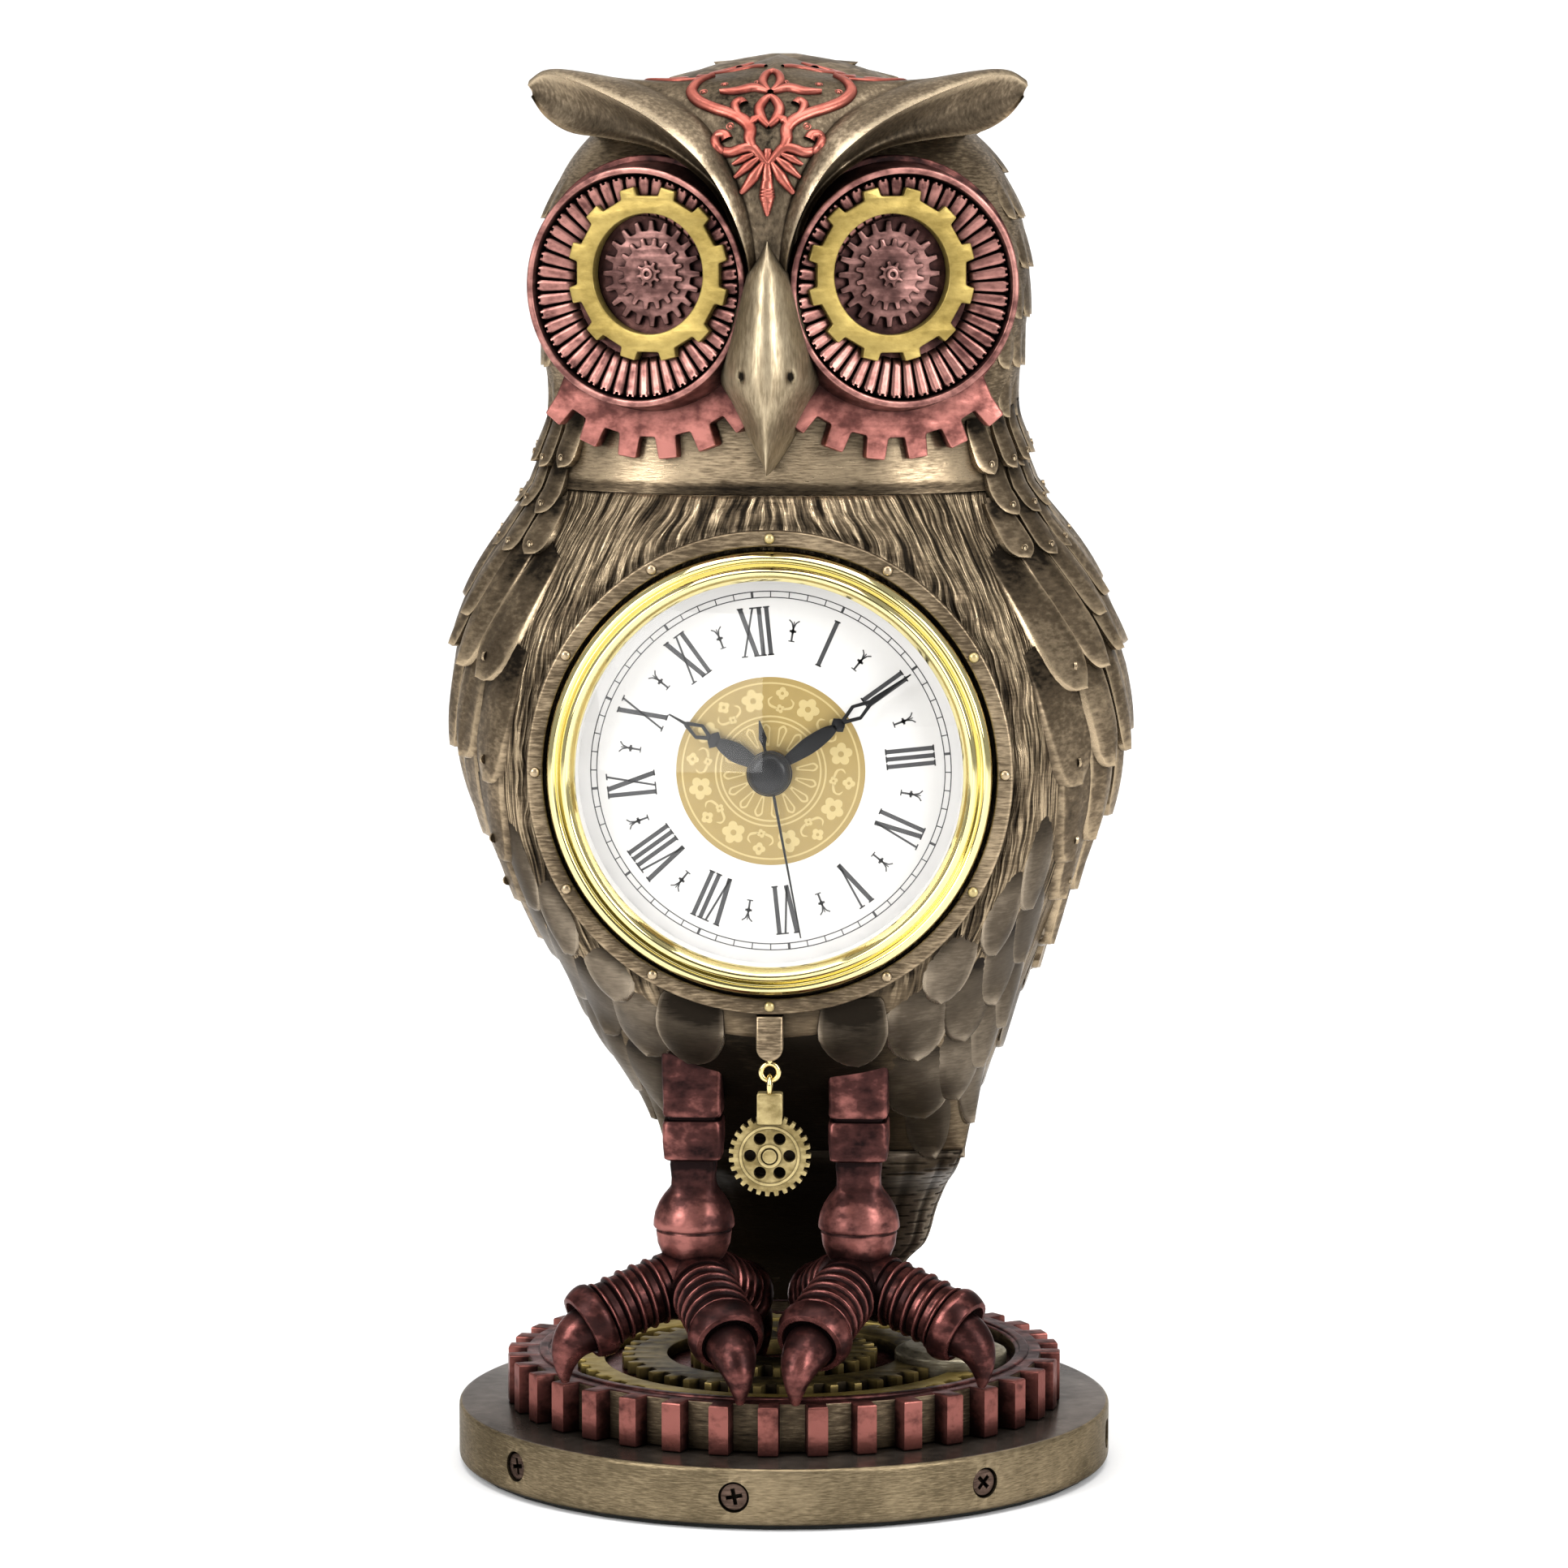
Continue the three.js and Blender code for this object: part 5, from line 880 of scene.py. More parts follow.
collar = {"inner": 37.7, "flat": 43.4, "outer": 50, "sides": 240, "floorY": -45.0 + 31.4, "flatY": -44.9}
flatRadii = [0, collar["inner"], collar["inner"], 39, 41, 42.6, collar["flat"]]
radii = np.concatenate([flatRadii, np.linspace(44, collar["outer"], 14)])
turn = np.linspace(0, 2 * np.pi, collar["sides"], endpoint=False)
rows = []
for i, r in enumerate(radii):
    x = r * np.cos(turn)
    z = np.minimum(clockZ + r * np.sin(turn), seamZ - 0.1)
    if i < 2:
        y = np.full_like(x, collar["floorY"])
    elif r <= collar["flat"]:
        y = np.full_like(x, collar["flatY"])
    else:
        share = bodyShare(z)
        half = alongRows(bodyRows, share, 1) * body["halfWidth"]
        depth = alongRows(bodyRows, share, 2) * body["front"]
        inside = np.clip(1 - (np.abs(x - bodySway(share)) / half) ** body["blunt"], 0, 1)
        plain = -depth * inside ** (1 / body["blunt"])
        near = 1 - smooth(body["swellIn"], body["swellOut"], r)
        y = plain + (np.minimum(plain, body["chest"]) - plain) * near
        y = y - 0.25 * (1 - smooth(46, 49.5, r)) + 0.5 * smooth(48, 50, r)
    rows.append(np.stack([x, y, z], 1))
points = np.array(rows)
tone = np.repeat(np.where(radii < 40, 0.1, 0.45), collar["sides"])
collarPile = newPile()
addTo(collarPile, points, gridFaces(len(radii), collar["sides"], True), tone)
collarFur = furFlow(points.reshape(-1, 3))
makePiece("chestCollar", collarPile, furBronze, "figure", (), 40, collarFur)
print("stage: body skin built")

# wings
wing = {
    "thick": 5.4, "edge": 2.0, "gap": 0.8, "front": -40, "back": 64, "tip": 12, "spread": 9, "topShare": 0.99,
    "tipShare": 0.3, "taper": 2.5, "plumage": 2.9, "least": 0.3, "tuck": -0.6, "rows": 40, "columns": 40,
    "highest": 184, "stud": 0.62,
}
wingFeather = {"perDegree": 1.0, "crown": 0.7, "thick": 2.0, "shaft": 0.15}


def onSide(surface, side):  # the same surface, mirrored for the left
    def placed(degrees, z, grow):
        return surface(degrees if side > 0 else 180 - degrees, z, grow)
    return placed


def wingLimits(z):
    down = wing["topShare"] - (z - body["bottom"]) / body["height"]
    v = np.clip(down / (wing["topShare"] - wing["tipShare"]), 0, 1)
    front = wing["front"] + (wing["tip"] - wing["front"] - wing["spread"]) * v ** wing["taper"]
    back = wing["back"] + (wing["tip"] - wing["back"] + wing["spread"]) * v ** wing["taper"]
    return v, front, back


def wingRise(degrees, z):  # how far the wing stands off the body's skin, less its feathers
    v, front, back = wingLimits(z)
    u = np.clip((degrees - front) / (back - front), 0, 1)
    along = np.sin(np.pi * np.minimum(v * 1.25, 1))
    swell = np.sin(np.pi * u) ** 0.6 * (0.15 + 0.85 * along)
    full = wing["gap"] + wing["edge"] + (wing["thick"] - wing["edge"]) * swell
    return np.maximum(full - wing["plumage"], wing["least"])


wingRowsList = [  # root z, tip z, first and last tip angle, count, half width, angle from root to tip, lift
    (107, 91, 4, 24, 3, 4.3, 2, 1.6),
    (118, 98, -6, 36, 5, 4.6, 3, 1.8),
    (131, 108, -17, 48, 7, 4.9, 4, 1.9),
    (145, 120, -24, 58, 8, 5.1, 7, 2.0),
    (160, 134, -28, 64, 9, 5.2, 10, 2.0),
    (177, 152, -29, 66, 10, 5.0, 14, 2.0),
    (183, 163.5, -13, 66, 8, 4.7, 12, 1.9),
]
for side, name in bothSides:
    pile = newPile()
    surface = onSide(bodySurface, side)
    v = np.linspace(0, 1, wing["rows"])[:, None]
    z = body["bottom"] + body["height"] * (wing["topShare"] + (wing["tipShare"] - wing["topShare"]) * v)
    _, front, back = wingLimits(z)
    d = front + (back - front) * np.linspace(0, 1, wing["columns"])[None, :]
    z = np.repeat(z, wing["columns"], 1)
    rise = wingRise(d, z)
    rise[:, 0] = wing["tuck"]
    rise[:, -1] = wing["tuck"]
    rise[-1, :] = wing["tuck"]
    addTo(pile, surface(d, z, rise), gridFaces(wing["rows"], wing["columns"]), 0.25)
    studs = []
    for rootZ, tipZ, first, last, count, half, lean, lift in wingRowsList:
        for i in range(count):
            share = i / (count - 1)
            at = first + (last - first) * share + rng.uniform(-0.8, 0.8)
            dropTip = 7.0 * (1 - math.exp(-i / 2)) - 2.5 if tipZ > 115 else 3.0 * abs(share - 0.45)
            endZ = tipZ + dropTip + rng.uniform(-0.9, 0.9)
            look = {**wingFeather, "lift": lift, "base": wingRise, "bow": rng.uniform(-0.6, 0.3)}
            root = (at - lean, min(rootZ + dropTip, wing["highest"]))
            place = addFeather(pile, surface, root, (at, endZ), half * rng.uniform(0.94, 1.06), look)
            if at < -15 and (i + int(tipZ)) % 2 == 0:
                studs.append((place, surface(at, endZ, 6.0) - surface(at, endZ, 0.0)))
    for place, out in studs:
        addStud(pile, place, out, wing["stud"])
    makePiece(f"{name}WingLook", pile, featherBronze, "figure", [f"{name}_wing"], 60)
print("stage: wings built")

# broad feathers on the lower body and the back
lowPile = newPile()
flankFeathers = [  # tip x and z seen from the front, half width, length, how far the root stands outwards
    (25.8, 66.5, 6.0, 19, 1.5), (32.0, 70.5, 5.3, 19, 3), (36.5, 77, 5.0, 19, 3.5),
    (40.5, 84.5, 5.0, 19, 3.5), (25.2, 80.5, 5.8, 19, 3), (33.5, 83.5, 5.3, 19, 4.5),
    (39.0, 90, 5.0, 19, 4.5), (44.0, 97.5, 5.0, 19, 4), (27.5, 57.4, 5.0, 19, 1.2),
    (34.5, 64.5, 4.6, 18, 2), (14.8, 80.2, 5.9, 14, 0.3), (29.7, 92.5, 5.7, 18, 6.5),
    (39.3, 101, 5.4, 19, 5), (45.8, 109, 5.2, 19, 3.5),
]
flank = {"lift": 1.0, "crown": 0.8, "thick": 1.8, "base": -0.4, "shaft": 0.0, "round": 0.6}
overLeg = {"lift": 1.2, "crown": 0.8, "thick": 2.5, "base": 0.5, "shaft": 0.0, "round": 0.4, "tone": -0.25}
flankLimits = {"overLeg": 20, "ring": 42.6, "perDegree": 0.42}


def frontAngle(x, z):  # body angle of a point seen from the front
    share = bodyShare(z)
    c = (x - bodySway(share)) / float(alongRows(bodyRows, share, 1) * body["halfWidth"])
    c = np.clip(c, -0.998, 0.998)
    return -math.degrees(math.acos(math.copysign(abs(c) ** (body["blunt"] / 2), c)))


def between(start, end, share):
    return [start[k] + (end[k] - start[k]) * share for k in (0, 1)]


for side, _ in bothSides:
    for x, z, half, length, lean in flankFeathers:
        centre = 0
        if x > flankLimits["overLeg"]:
            centre = body["sway"] * (1 - (z - body["bottom"]) / body["height"]) * min(x / 40, 1)
        rootX = x + lean - (0 if side > 0 else 1)
        tipX = x
        if side < 0:
            rootX = side * rootX + centre
            tipX = side * tipX + centre
        root = [frontAngle(rootX, z + length), z + length]
        tip = [frontAngle(tipX, z), z]
        for q in np.linspace(0, 1, 30):  # the root stays outside the chest ring
            place = bodySurface(*between(root, tip, q))
            if math.hypot(place[0], place[2] - clockZ) > flankLimits["ring"]:
                break
        root = between(root, tip, q)
        near = 0.5 * (bodySurface(tip[0] + 1, z) - bodySurface(tip[0] - 1, z))
        perDegree = max(float(np.linalg.norm(near)), flankLimits["perDegree"])
        look = {**(flank if x > flankLimits["overLeg"] else overLeg), "perDegree": perDegree}
        addFeather(lowPile, bodySurface, root, tip, half, look)
lowRows = [  # root z, tip z, count round the body, half width, lift
    (77, 57.4, 20, 6.2, 0.1), (86, 69, 20, 6.8, 0.8), (96, 78, 22, 7.2, 1.1), (106, 87, 22, 7.4, 1.2),
    (115, 97, 24, 7.4, 1.2),
]
lowFeather = {"crown": 0.7, "thick": 1.8, "base": -0.5, "shaft": 0.0}
for r, (rootZ, tipZ, count, half, lift) in enumerate(lowRows):
    for i in range(count):
        at = 360 / count * (i + 0.5 * (r % 2)) + rng.uniform(-1, 1)
        offFront = (at + 90 + 180) % 360 - 180
        if abs(offFront) < 84:
            continue
        perDegree = float(alongRows(bodyRows, bodyShare(tipZ), 1) * body["halfWidth"] * np.pi / 180 * 0.92)
        look = {**lowFeather, "perDegree": perDegree, "lift": lift}
        addFeather(lowPile, bodySurface, (at, rootZ), (at, tipZ + rng.uniform(-0.8, 0.8)), half, look)
backRows = {"first": 106, "end": 182, "step": 11.5, "count": 7, "apart": 9.5, "length": 20, "half": 5.2}
backFeather = {"perDegree": 0.9, "lift": 1.6, "crown": 0.8, "thick": 1.8, "base": 0.2}
for r, tipZ in enumerate(np.arange(backRows["first"], backRows["end"], backRows["step"])):
    for i in range(backRows["count"]):
        at = 90 + (i - 3 + 0.5 * (r % 2)) * backRows["apart"]
        root = (at, min(tipZ + backRows["length"], wing["highest"]))
        addFeather(lowPile, bodySurface, root, (at, tipZ), backRows["half"], backFeather)
makePiece("lowFeathers", lowPile, oliveBronze, "figure", (), 60)

tail = {"length": 37, "merge": 0.36, "bands": 14, "strips": 18, "columns": 126, "rows": 130}
tailRows = np.array([
    (0, 0.5, 0.05 * 45 / 51, 0.88), (0.233, 0.455, -0.275, 0.88), (0.467, 0.4, -0.51, 0.89),
    (0.677, 0.36, -0.65, 0.88), (0.78, 0.3, -0.71, 0.85), (1, 0.21, -0.77, 0.83),
])
v = np.linspace(0, 1, tail["rows"])[:, None]
angle = np.linspace(0, 360, tail["columns"], endpoint=False)[None, :]
half = alongRows(tailRows, v, 1) * body["halfWidth"]
front = alongRows(tailRows, v, 2) * body["back"]
back = alongRows(tailRows, v, 3) * body["back"]
x, y = ovalPoint(angle, half, (front + back) / 2, (front + back) / 2, body["blunt"])
middle = (back - front) / 2
_, topY = ovalPoint(angle, half, bodyRows[0, 2] * body["front"], bodyRows[0, 3] * body["back"], body["blunt"])
y = topY - middle + (y + middle - topY) * smooth(0, tail["merge"], v)
x = np.where(x < 0, x * (1 - body["leftDraw"] * (1 - smooth(0, 0.6, v))), x)
plume = angle * tail["strips"] / 360
groove = np.clip(1 - np.abs(((v * tail["bands"] + 0.37 * np.floor(plume)) % 1) - 0.5) * 9, 0, 1)
split = np.clip(1 - np.abs((plume % 1) - 0.5) * 7, 0, 1)
shrink = 1 - (0.016 * groove + 0.028 * split) * smooth(0.02, 0.1, v)
z = np.repeat(body["bottom"] - 0.05 - v * tail["length"], tail["columns"], 1)
points = np.stack([x * shrink + body["sway"], y * shrink + middle, z], -1)
tailPile = newPile()
shadedTailFront = (1 - smooth(13, 22, np.abs(points[..., 0]))) * (np.sin(np.radians(angle)) < 0.2)
tone = 0.55 - 0.5 * np.maximum(groove, split) - 0.6 * shadedTailFront - 0.4 * (v < 0.01)  # painted shade on the tail's front, dark between the legs; grooves and the top row darker too
addTo(tailPile, points, closedGrid(tail["rows"], tail["columns"]), tone)
makePiece("tailLook", tailPile, tailBronze, "figure", ["tail"], 60)
print("stage: feathers and tail built")

# head
eye = {"x": 24.1, "y": -45.0, "z": 221.7, "yaw": 20.0, "cup": 21.29, "flat": -9.75, "shift": 2.4}


def eyeTurn(side):
    angle = side * math.radians(eye["yaw"])
    return math.cos(angle), math.sin(angle)


def toEye(points, side):  # shared frame to an eye's own axes
    p = np.asarray(points, float) - np.array([side * eye["x"], eye["y"], eye["z"]])
    c, s = eyeTurn(side)
    return np.stack([p[..., 0] * c + p[..., 1] * s, p[..., 2], p[..., 0] * s - p[..., 1] * c], -1)


def fromEye(points, side):
    p = np.asarray(points, float)
    c, s = eyeTurn(side)
    x = p[..., 0] * c + p[..., 2] * s + side * eye["x"]
    y = p[..., 0] * s - p[..., 2] * c + eye["y"]
    return np.stack([x, y, p[..., 1] + eye["z"]], -1)


degrees = np.linspace(0, 360, 260, endpoint=False)
share = np.concatenate([np.linspace(0, 0.9, 120), np.linspace(0.905, 1, 30)])
gridD, gridS = np.meshgrid(degrees, share)
points = headSurface(gridD, seamZ + 0.05 + gridS * (head["height"] - 0.05))
for side, _ in bothSides:
    local = toEye(points, side)
    far = np.hypot(local[..., 0], local[..., 1])
    inside = 1 - smooth(eye["cup"] - 1, eye["cup"] + 1, far)
    local[..., 2] += (np.minimum(local[..., 2], eye["flat"]) - local[..., 2]) * inside
    points = fromEye(local, side)
headPile = newPile()
lipBand = 1 - smooth(1.2, 2.2, np.abs(points[..., 2] - (seamZ + 0.2)))
# lighter on the front of the head, just above the seam
polish = 0.3 * (1 - smooth(194, 199, points[..., 2])) * (points[..., 1] < -15)
addTo(headPile, points, closedGrid(*points.shape[:2]), 0.55 + polish - 0.6 * lipBand)
makePiece("headSkin", headPile, bronze, "figure", ["head_shell"], 50)

headFeathers = newPile()
headScales = [  # tip z, count, half width
    (188, 23, 5.0), (197, 23, 5.0), (206, 23, 5.0), (215, 22, 5.0), (224, 22, 4.9), (233, 21, 4.7),
    (241, 19, 4.4), (248, 16, 4.1), (254, 13, 3.6), (258, 10, 3.2), (260.8, 7, 2.7),
]
headScale = {"crown": 0.5, "thick": 1.5, "shaft": 0.15}
for r, (tipZ, count, half) in enumerate(headScales):
    share = (tipZ - seamZ) / head["height"]
    perDegree = float(alongRows(headRows, share, 1) * head["halfWidth"] * np.pi / 180)
    first = -22 if tipZ < 236 else 2  # the hood covers the upper rows' front
    flat = float(smooth(250, 257, tipZ))  # the crown's scales lie closer
    look = {**headScale, "perDegree": perDegree, "lift": 1.2 - 0.6 * flat, "base": -0.9 + 0.35 * flat}
    rootZ = min(tipZ + 14, max(261, tipZ + 1.4))
    for i in range(count):
        at = first + (180 - 2 * first) * (i + 0.5 * (r % 2)) / (count - 0.5)
        addFeather(headFeathers, headSurface, (at, rootZ), (at, tipZ), half, look)


def neckSurface(degrees, z, grow=0.0):  # head above the seam, body below it
    above = np.asarray(z)[..., None] >= seamZ
    return np.where(above, headSurface(degrees, z, grow), bodySurface(degrees, z, grow))


tabRows = [(188, 0.0, 4.0), (180, 4.5, 4.2), (172.6, 0.5, 4.4)]  # tip z, shift round the neck, half width
tab = {"first": -36, "apart": 12.2, "count": 9, "riveted": 6, "length": 10, "stud": 0.6}
tabFeather = {"perDegree": 0.82, "lift": 1.3, "crown": 0.6, "thick": 1.7, "shaft": 0.0}
for side, _ in bothSides:  # riveted tabs across the seam
    around = onSide(neckSurface, side)
    for tipZ, shift, half in tabRows:
        look = {**tabFeather, "base": 0.7 if tipZ < 176 else 0.3}
        for i in range(tab["count"]):
            at = tab["first"] + shift + tab["apart"] * i
            low = tipZ + 0.5 * i + rng.uniform(-0.5, 0.5)
            place = addFeather(headFeathers, around, (at - 1, low + tab["length"]), (at, low), half, look)
            if i < tab["riveted"]:
                spot = (np.array(at), np.array(low))
                addStud(headFeathers, place, around(*spot, 5.0) - around(*spot, 0.0), tab["stud"])
makePiece("headFeathers", headFeathers, featherBronze, "figure", (), 60)
print("stage: head built")

# brow: one hood with two horns, from guide lines on the left side
brow = {
    "under": [
        (-4, -40, 217), (-4.2, -40, 222), (-5, -40, 231), (-7, -40, 239), (-11, -39, 245),
        (-18, -36.5, 249), (-26, -32, 250.5), (-33, -25, 251.5), (-38.5, -20.5, 253.5), (-42.8, -19.5, 256),
    ],
    "lower": [
        (-5.8, -47.5, 217), (-5.2, -49.5, 222.5), (-6.2, -51, 231.5), (-9.3, -50.5, 238),
        (-14, -48.5, 242.6), (-20.5, -45.5, 246.2), (-29, -40, 247.9), (-36.6, -32.5, 248.9),
        (-41.6, -26.5, 251.6), (-44.6, -22.3, 255.2),
    ],
    "ridge": [
        (-4.6, -50, 218), (-3.2, -52.3, 224.5), (-5.4, -55, 233.2), (-9.4, -55.4, 241),
        (-14.1, -53.6, 246.4), (-21.4, -49.2, 251.8), (-30.5, -41, 256.2), (-38, -32.5, 258.8),
        (-42.4, -26, 259.0), (-45.2, -21.8, 257.2),
    ],
    "upper": [
        (-3, -50.5, 219), (-2, -51.6, 225.5), (-3.6, -52.6, 235.4), (-7.2, -50.8, 244.2),
        (-12.2, -45.6, 251.4), (-21, -37, 256.6), (-30.4, -30.5, 259.0), (-37.4, -25.4, 259.8),
        (-41.6, -22.6, 259.4), (-44.7, -20.4, 257.7),
    ],
    "saddle": [
        (-1.5, -50.6, 219.3), (-1, -51.8, 225.8), (-1.8, -53, 235.6), (-3.6, -51.2, 244.4),
        (-6.2, -46.2, 251.8), (-11, -38.2, 256.8), (-16.5, -31, 258.1), (-20, -24.7, 258.1),
        (-21.2, -20, 257.9), (-22, -16, 257.7),
    ],
    "middle": [
        (0, -50.8, 219.5), (0, -52, 226), (0, -53.2, 235.8), (0, -51.4, 244.6), (0, -46.6, 252.2),
        (0, -39.4, 258.0), (0, -31.5, 260.8), (0, -24, 262.2), (0, -17, 262.7), (0, -11, 262.9),
    ],
}
hoodSize = {"rows": 90, "across": 24, "dip": 3.4, "narrow": 0.74, "back": 9.0, "down": -8.0, "arch": 1.6}
lines = {name: spline(line, hoodSize["rows"]) for name, line in brow.items()}


def strip(start, end, count, dip, push):  # rows of points between two lines, hollowed along push
    q = np.linspace(0, 1, count)[None, :, None]
    straight = start[:, None] * (1 - q) + end[:, None] * q
    return straight + dip[:, None, None] * 4 * q * (1 - q) * np.asarray(push, float)


stations = np.linspace(0, 1, hoodSize["rows"])
hornEnd = 0.35 + 0.65 * (1 - smooth(0.75, 1.0, stations))
hollowDepth = hoodSize["dip"] * smooth(0.02, 0.3, stations) * hornEnd
crestRise = 0.8 * smooth(0.05, 0.3, stations)
roofRise = 0.9 * smooth(0.1, 0.4, stations) * (1 - smooth(0.5, 0.75, stations))
parts = [
    strip(lines["under"], lines["lower"], 6, np.zeros(hoodSize["rows"]), (0, 0, 0)),
    strip(lines["lower"], lines["ridge"], 16, hollowDepth, (0.35, 0.9, -0.25)),
    strip(lines["ridge"], lines["upper"], 10, crestRise, (0, -0.3, 0.9)),
    strip(lines["upper"], lines["middle"], hoodSize["across"], roofRise, (0, -0.6, 0.8)),
]
q = np.linspace(0, 1, hoodSize["across"])
sink = lines["saddle"] - 0.5 * (lines["upper"] + lines["middle"])
parts[3] = parts[3] + sink[:, None] * (4 * q * (1 - q))[None, :, None]
left = np.concatenate([parts[0]] + [part[:, 1:] for part in parts[1:]], 1)
right = (left * [-1, 1, 1])[:, -2::-1]
hood = np.concatenate([left, right], 1)
target = hood[-1] * [hoodSize["narrow"], 1, 1] + [0, hoodSize["back"], hoodSize["down"]]
tucked = []
for q in (0.12, 0.3, 0.55, 0.8, 1.0):  # the rear end runs down into the head
    rise = [0, 0, hoodSize["arch"] * math.sin(math.pi * q)]
    tucked.append(hood[-1] * (1 - q) + target * q + rise)
hood = np.concatenate([hood, np.stack(tucked, 0)], 0)
hoodFaces = gridFaces(*hood.shape[:2])
columns = hood.shape[1]
column = np.minimum(np.arange(columns), columns - 1 - np.arange(columns))  # counted in from either edge
onEdge = np.maximum(np.exp(-((column - 20) / 1.3) ** 2), 0.6 * np.exp(-((column - 5) / 1.0) ** 2))
forehead = smooth(30, 40, column) * 0.22  # patina left between the horns
# painted shade: the underside strip, the first four columns from each edge, is darker
tone = 0.5 + 0.4 * onEdge - 0.3 * (column < 4) - forehead
browPile = newPile()
addTo(browPile, hood, hoodFaces, np.repeat(tone[None, :], len(hood), 0))
makePiece("browLook", browPile, hornBronze, "figure", ["brow_crest"], 55)
hoodTree = BVHTree.FromPolygons([Vector(p) for p in hood.reshape(-1, 3)], hoodFaces.tolist())


def onHood(start, way):  # where a straight line meets the hood, and the outward direction there
    hit, normal, _, _ = hoodTree.ray_cast(Vector(start), Vector(way))
    return np.array(hit), np.array(normal if normal.dot(Vector(way)) < 0 else -normal)


def fromFront(x, z):
    return onHood((x, -90, z), (0, 1, 0))


def fromAbove(x, y):
    return onHood((x, y, 300), (0, 0, -1))


scrollProfile = [  # share of the half width, share of the height, relief
    (-1, -0.5, 0.05), (-0.96, 0.45, 0.4), (-0.6, 0.95, 0.65), (0, 1.1, 0.7), (0.6, 0.95, 0.65),
    (0.96, 0.45, 0.4), (1, -0.5, 0.05),
]


def addScroll(pile, line, widths, place, height=0.75, count=56):  # raised half-round ornament stroke
    line = spline(line, count)
    widths = np.interp(np.linspace(0, 1, count), np.linspace(0, 1, len(widths)), widths)
    found = [place(*p) for p in line]
    path = np.array([p for p, _ in found])
    out = np.array([n for _, n in found])
    along = np.gradient(path, axis=0)
    along = along / np.maximum(np.linalg.norm(along, axis=1), 1e-6)[:, None]
    across = np.cross(along, out)
    points = [path + across * (s * widths * 0.7)[:, None] + out * (h * height) for s, h, _ in scrollProfile]
    tone = np.repeat([[t for _, _, t in scrollProfile]], count, 0)
    addTo(pile, np.stack(points, 1), gridFaces(count, len(scrollProfile)), tone)


ornament = [  # right half: line of (x, z), then widths along it
    ([(0, 246.0), (0, 241.5), (0, 238.0), (0, 234.6)], [1.2, 1.4, 2.1, 0.4]),
    ([(0.9, 243.7), (2.4, 241.4), (4.5, 238.6)], [0.6, 1.5, 0.7]),
    ([(1.7, 244.5), (3.6, 243.1), (5.6, 241.3)], [0.6, 1.3, 0.6]),
    ([(2.5, 245.2), (4.2, 244.5), (6.0, 243.5)], [0.5, 1.1, 0.5]),
    ([(0.3, 243.6), (1.6, 245.2), (2.9, 246.4), (4.6, 246.2), (6.6, 245.6), (8.4, 246.0), (9.4, 247.3),
      (8.9, 248.6), (7.7, 248.7), (7.2, 247.8)],
     [0.8, 1.3, 1.5, 1.4, 1.4, 1.4, 1.4, 1.3, 1.3, 1.6]),
    ([(2.7, 246.2), (3.3, 248.0), (3.2, 249.6), (4.4, 251.2), (7.0, 252.4), (10.2, 253.4), (12.9, 254.6),
      (14.2, 256.2), (13.2, 257.8), (10.8, 258.8)],
     [1.2, 1.5, 1.6, 1.7, 1.6, 1.6, 1.6, 1.5, 1.2, 0.5]),
    ([(4.7, 251.5), (5.8, 252.6), (6.1, 253.9), (5.2, 254.5), (4.6, 253.9)], [0.8, 1.2, 1.2, 1.2, 1.4]),
    ([(0, 250.0), (1.4, 251.6), (1.8, 253.2), (1.0, 254.6), (0, 255.2)], [0.7, 1.5, 1.4, 1.2, 0.8]),
    ([(1.3, 251.8), (2.7, 251.2), (3.4, 250.2)], [0.6, 1.2, 0.4]),
    ([(0.4, 256.0), (3.0, 256.8), (6.0, 256.2), (9.0, 256.0)], [0.7, 1.7, 1.5, 0.4]),
    ([(0.2, 256.0), (1.5, 257.6), (1.2, 259.0), (0, 259.6)], [0.7, 1.2, 1.1, 0.8]),
]
crownOrnament = [  # the same on the crown, as lines of (x, y)
    ([(13.4, -34), (17.5, -33), (21.5, -30), (22.5, -26), (20, -23.2), (16.8, -24.4), (17, -27), (19, -27.4)],
     [0.7, 1.5, 1.7, 1.6, 1.5, 1.4, 1.3, 1.7]),
    ([(1.5, -31), (4, -28), (8, -26.5), (11.2, -23), (10.4, -18.8), (6.8, -17.8), (5, -20.4), (6.8, -22.2)],
     [0.6, 1.4, 1.7, 1.7, 1.6, 1.5, 1.3, 1.7]),
    ([(11, -30), (13.2, -27.6), (14, -24)], [0.5, 1.7, 0.4]),
]
ornamentDots = [(8.4, 257.5), (12.0, 256.2), (6.8, 250.2), (2.4, 257.9)]
crownHeight = 0.4
dotRadius = 0.5
ornamentPile = newPile()
for side, _ in bothSides:
    for line, widths in ornament:
        addScroll(ornamentPile, [(side * x, z) for x, z in line], widths, fromFront)
    for line, widths in crownOrnament:
        addScroll(ornamentPile, [(side * x, y) for x, y in line], widths, fromAbove, crownHeight)
    for x, z in ornamentDots:
        place, out = fromFront(side * x, z)
        addStud(ornamentPile, place, out, dotRadius)
makePiece("browOrnament", ornamentPile, scrollCopper, "figure", (), 60)

beak = {
    "half": 10.4, "keel": 0.7, "length": 41, "low": seamZ + 4.6, "reach": 16.5, "front": 43, "root": -36,
    "rows": 70, "columns": 61,
}
nostril = {"x": 4.3, "z": 206.5, "tall": 0.62, "size": 0.28, "depth": 1.6}
beakRows = np.array([  # share down the beak, width, reach
    (0, 0.05, 0.62), (0.075, 0.30, 0.74), (0.15, 0.58, 0.82), (0.34, 0.80, 0.93), (0.57, 1, 1),
    (0.71, 0.74, 1.0), (0.81, 0.54, 0.98), (0.92, 0.28, 0.94), (1, 0.05, 0.87),
])
v = np.linspace(0, 1, beak["rows"])[:, None]
u = np.linspace(-1, 1, beak["columns"])[None, :]
wide = alongRows(beakRows, v, 1) * beak["half"]
nose = -(beak["front"] + alongRows(beakRows, v, 2) * beak["reach"])
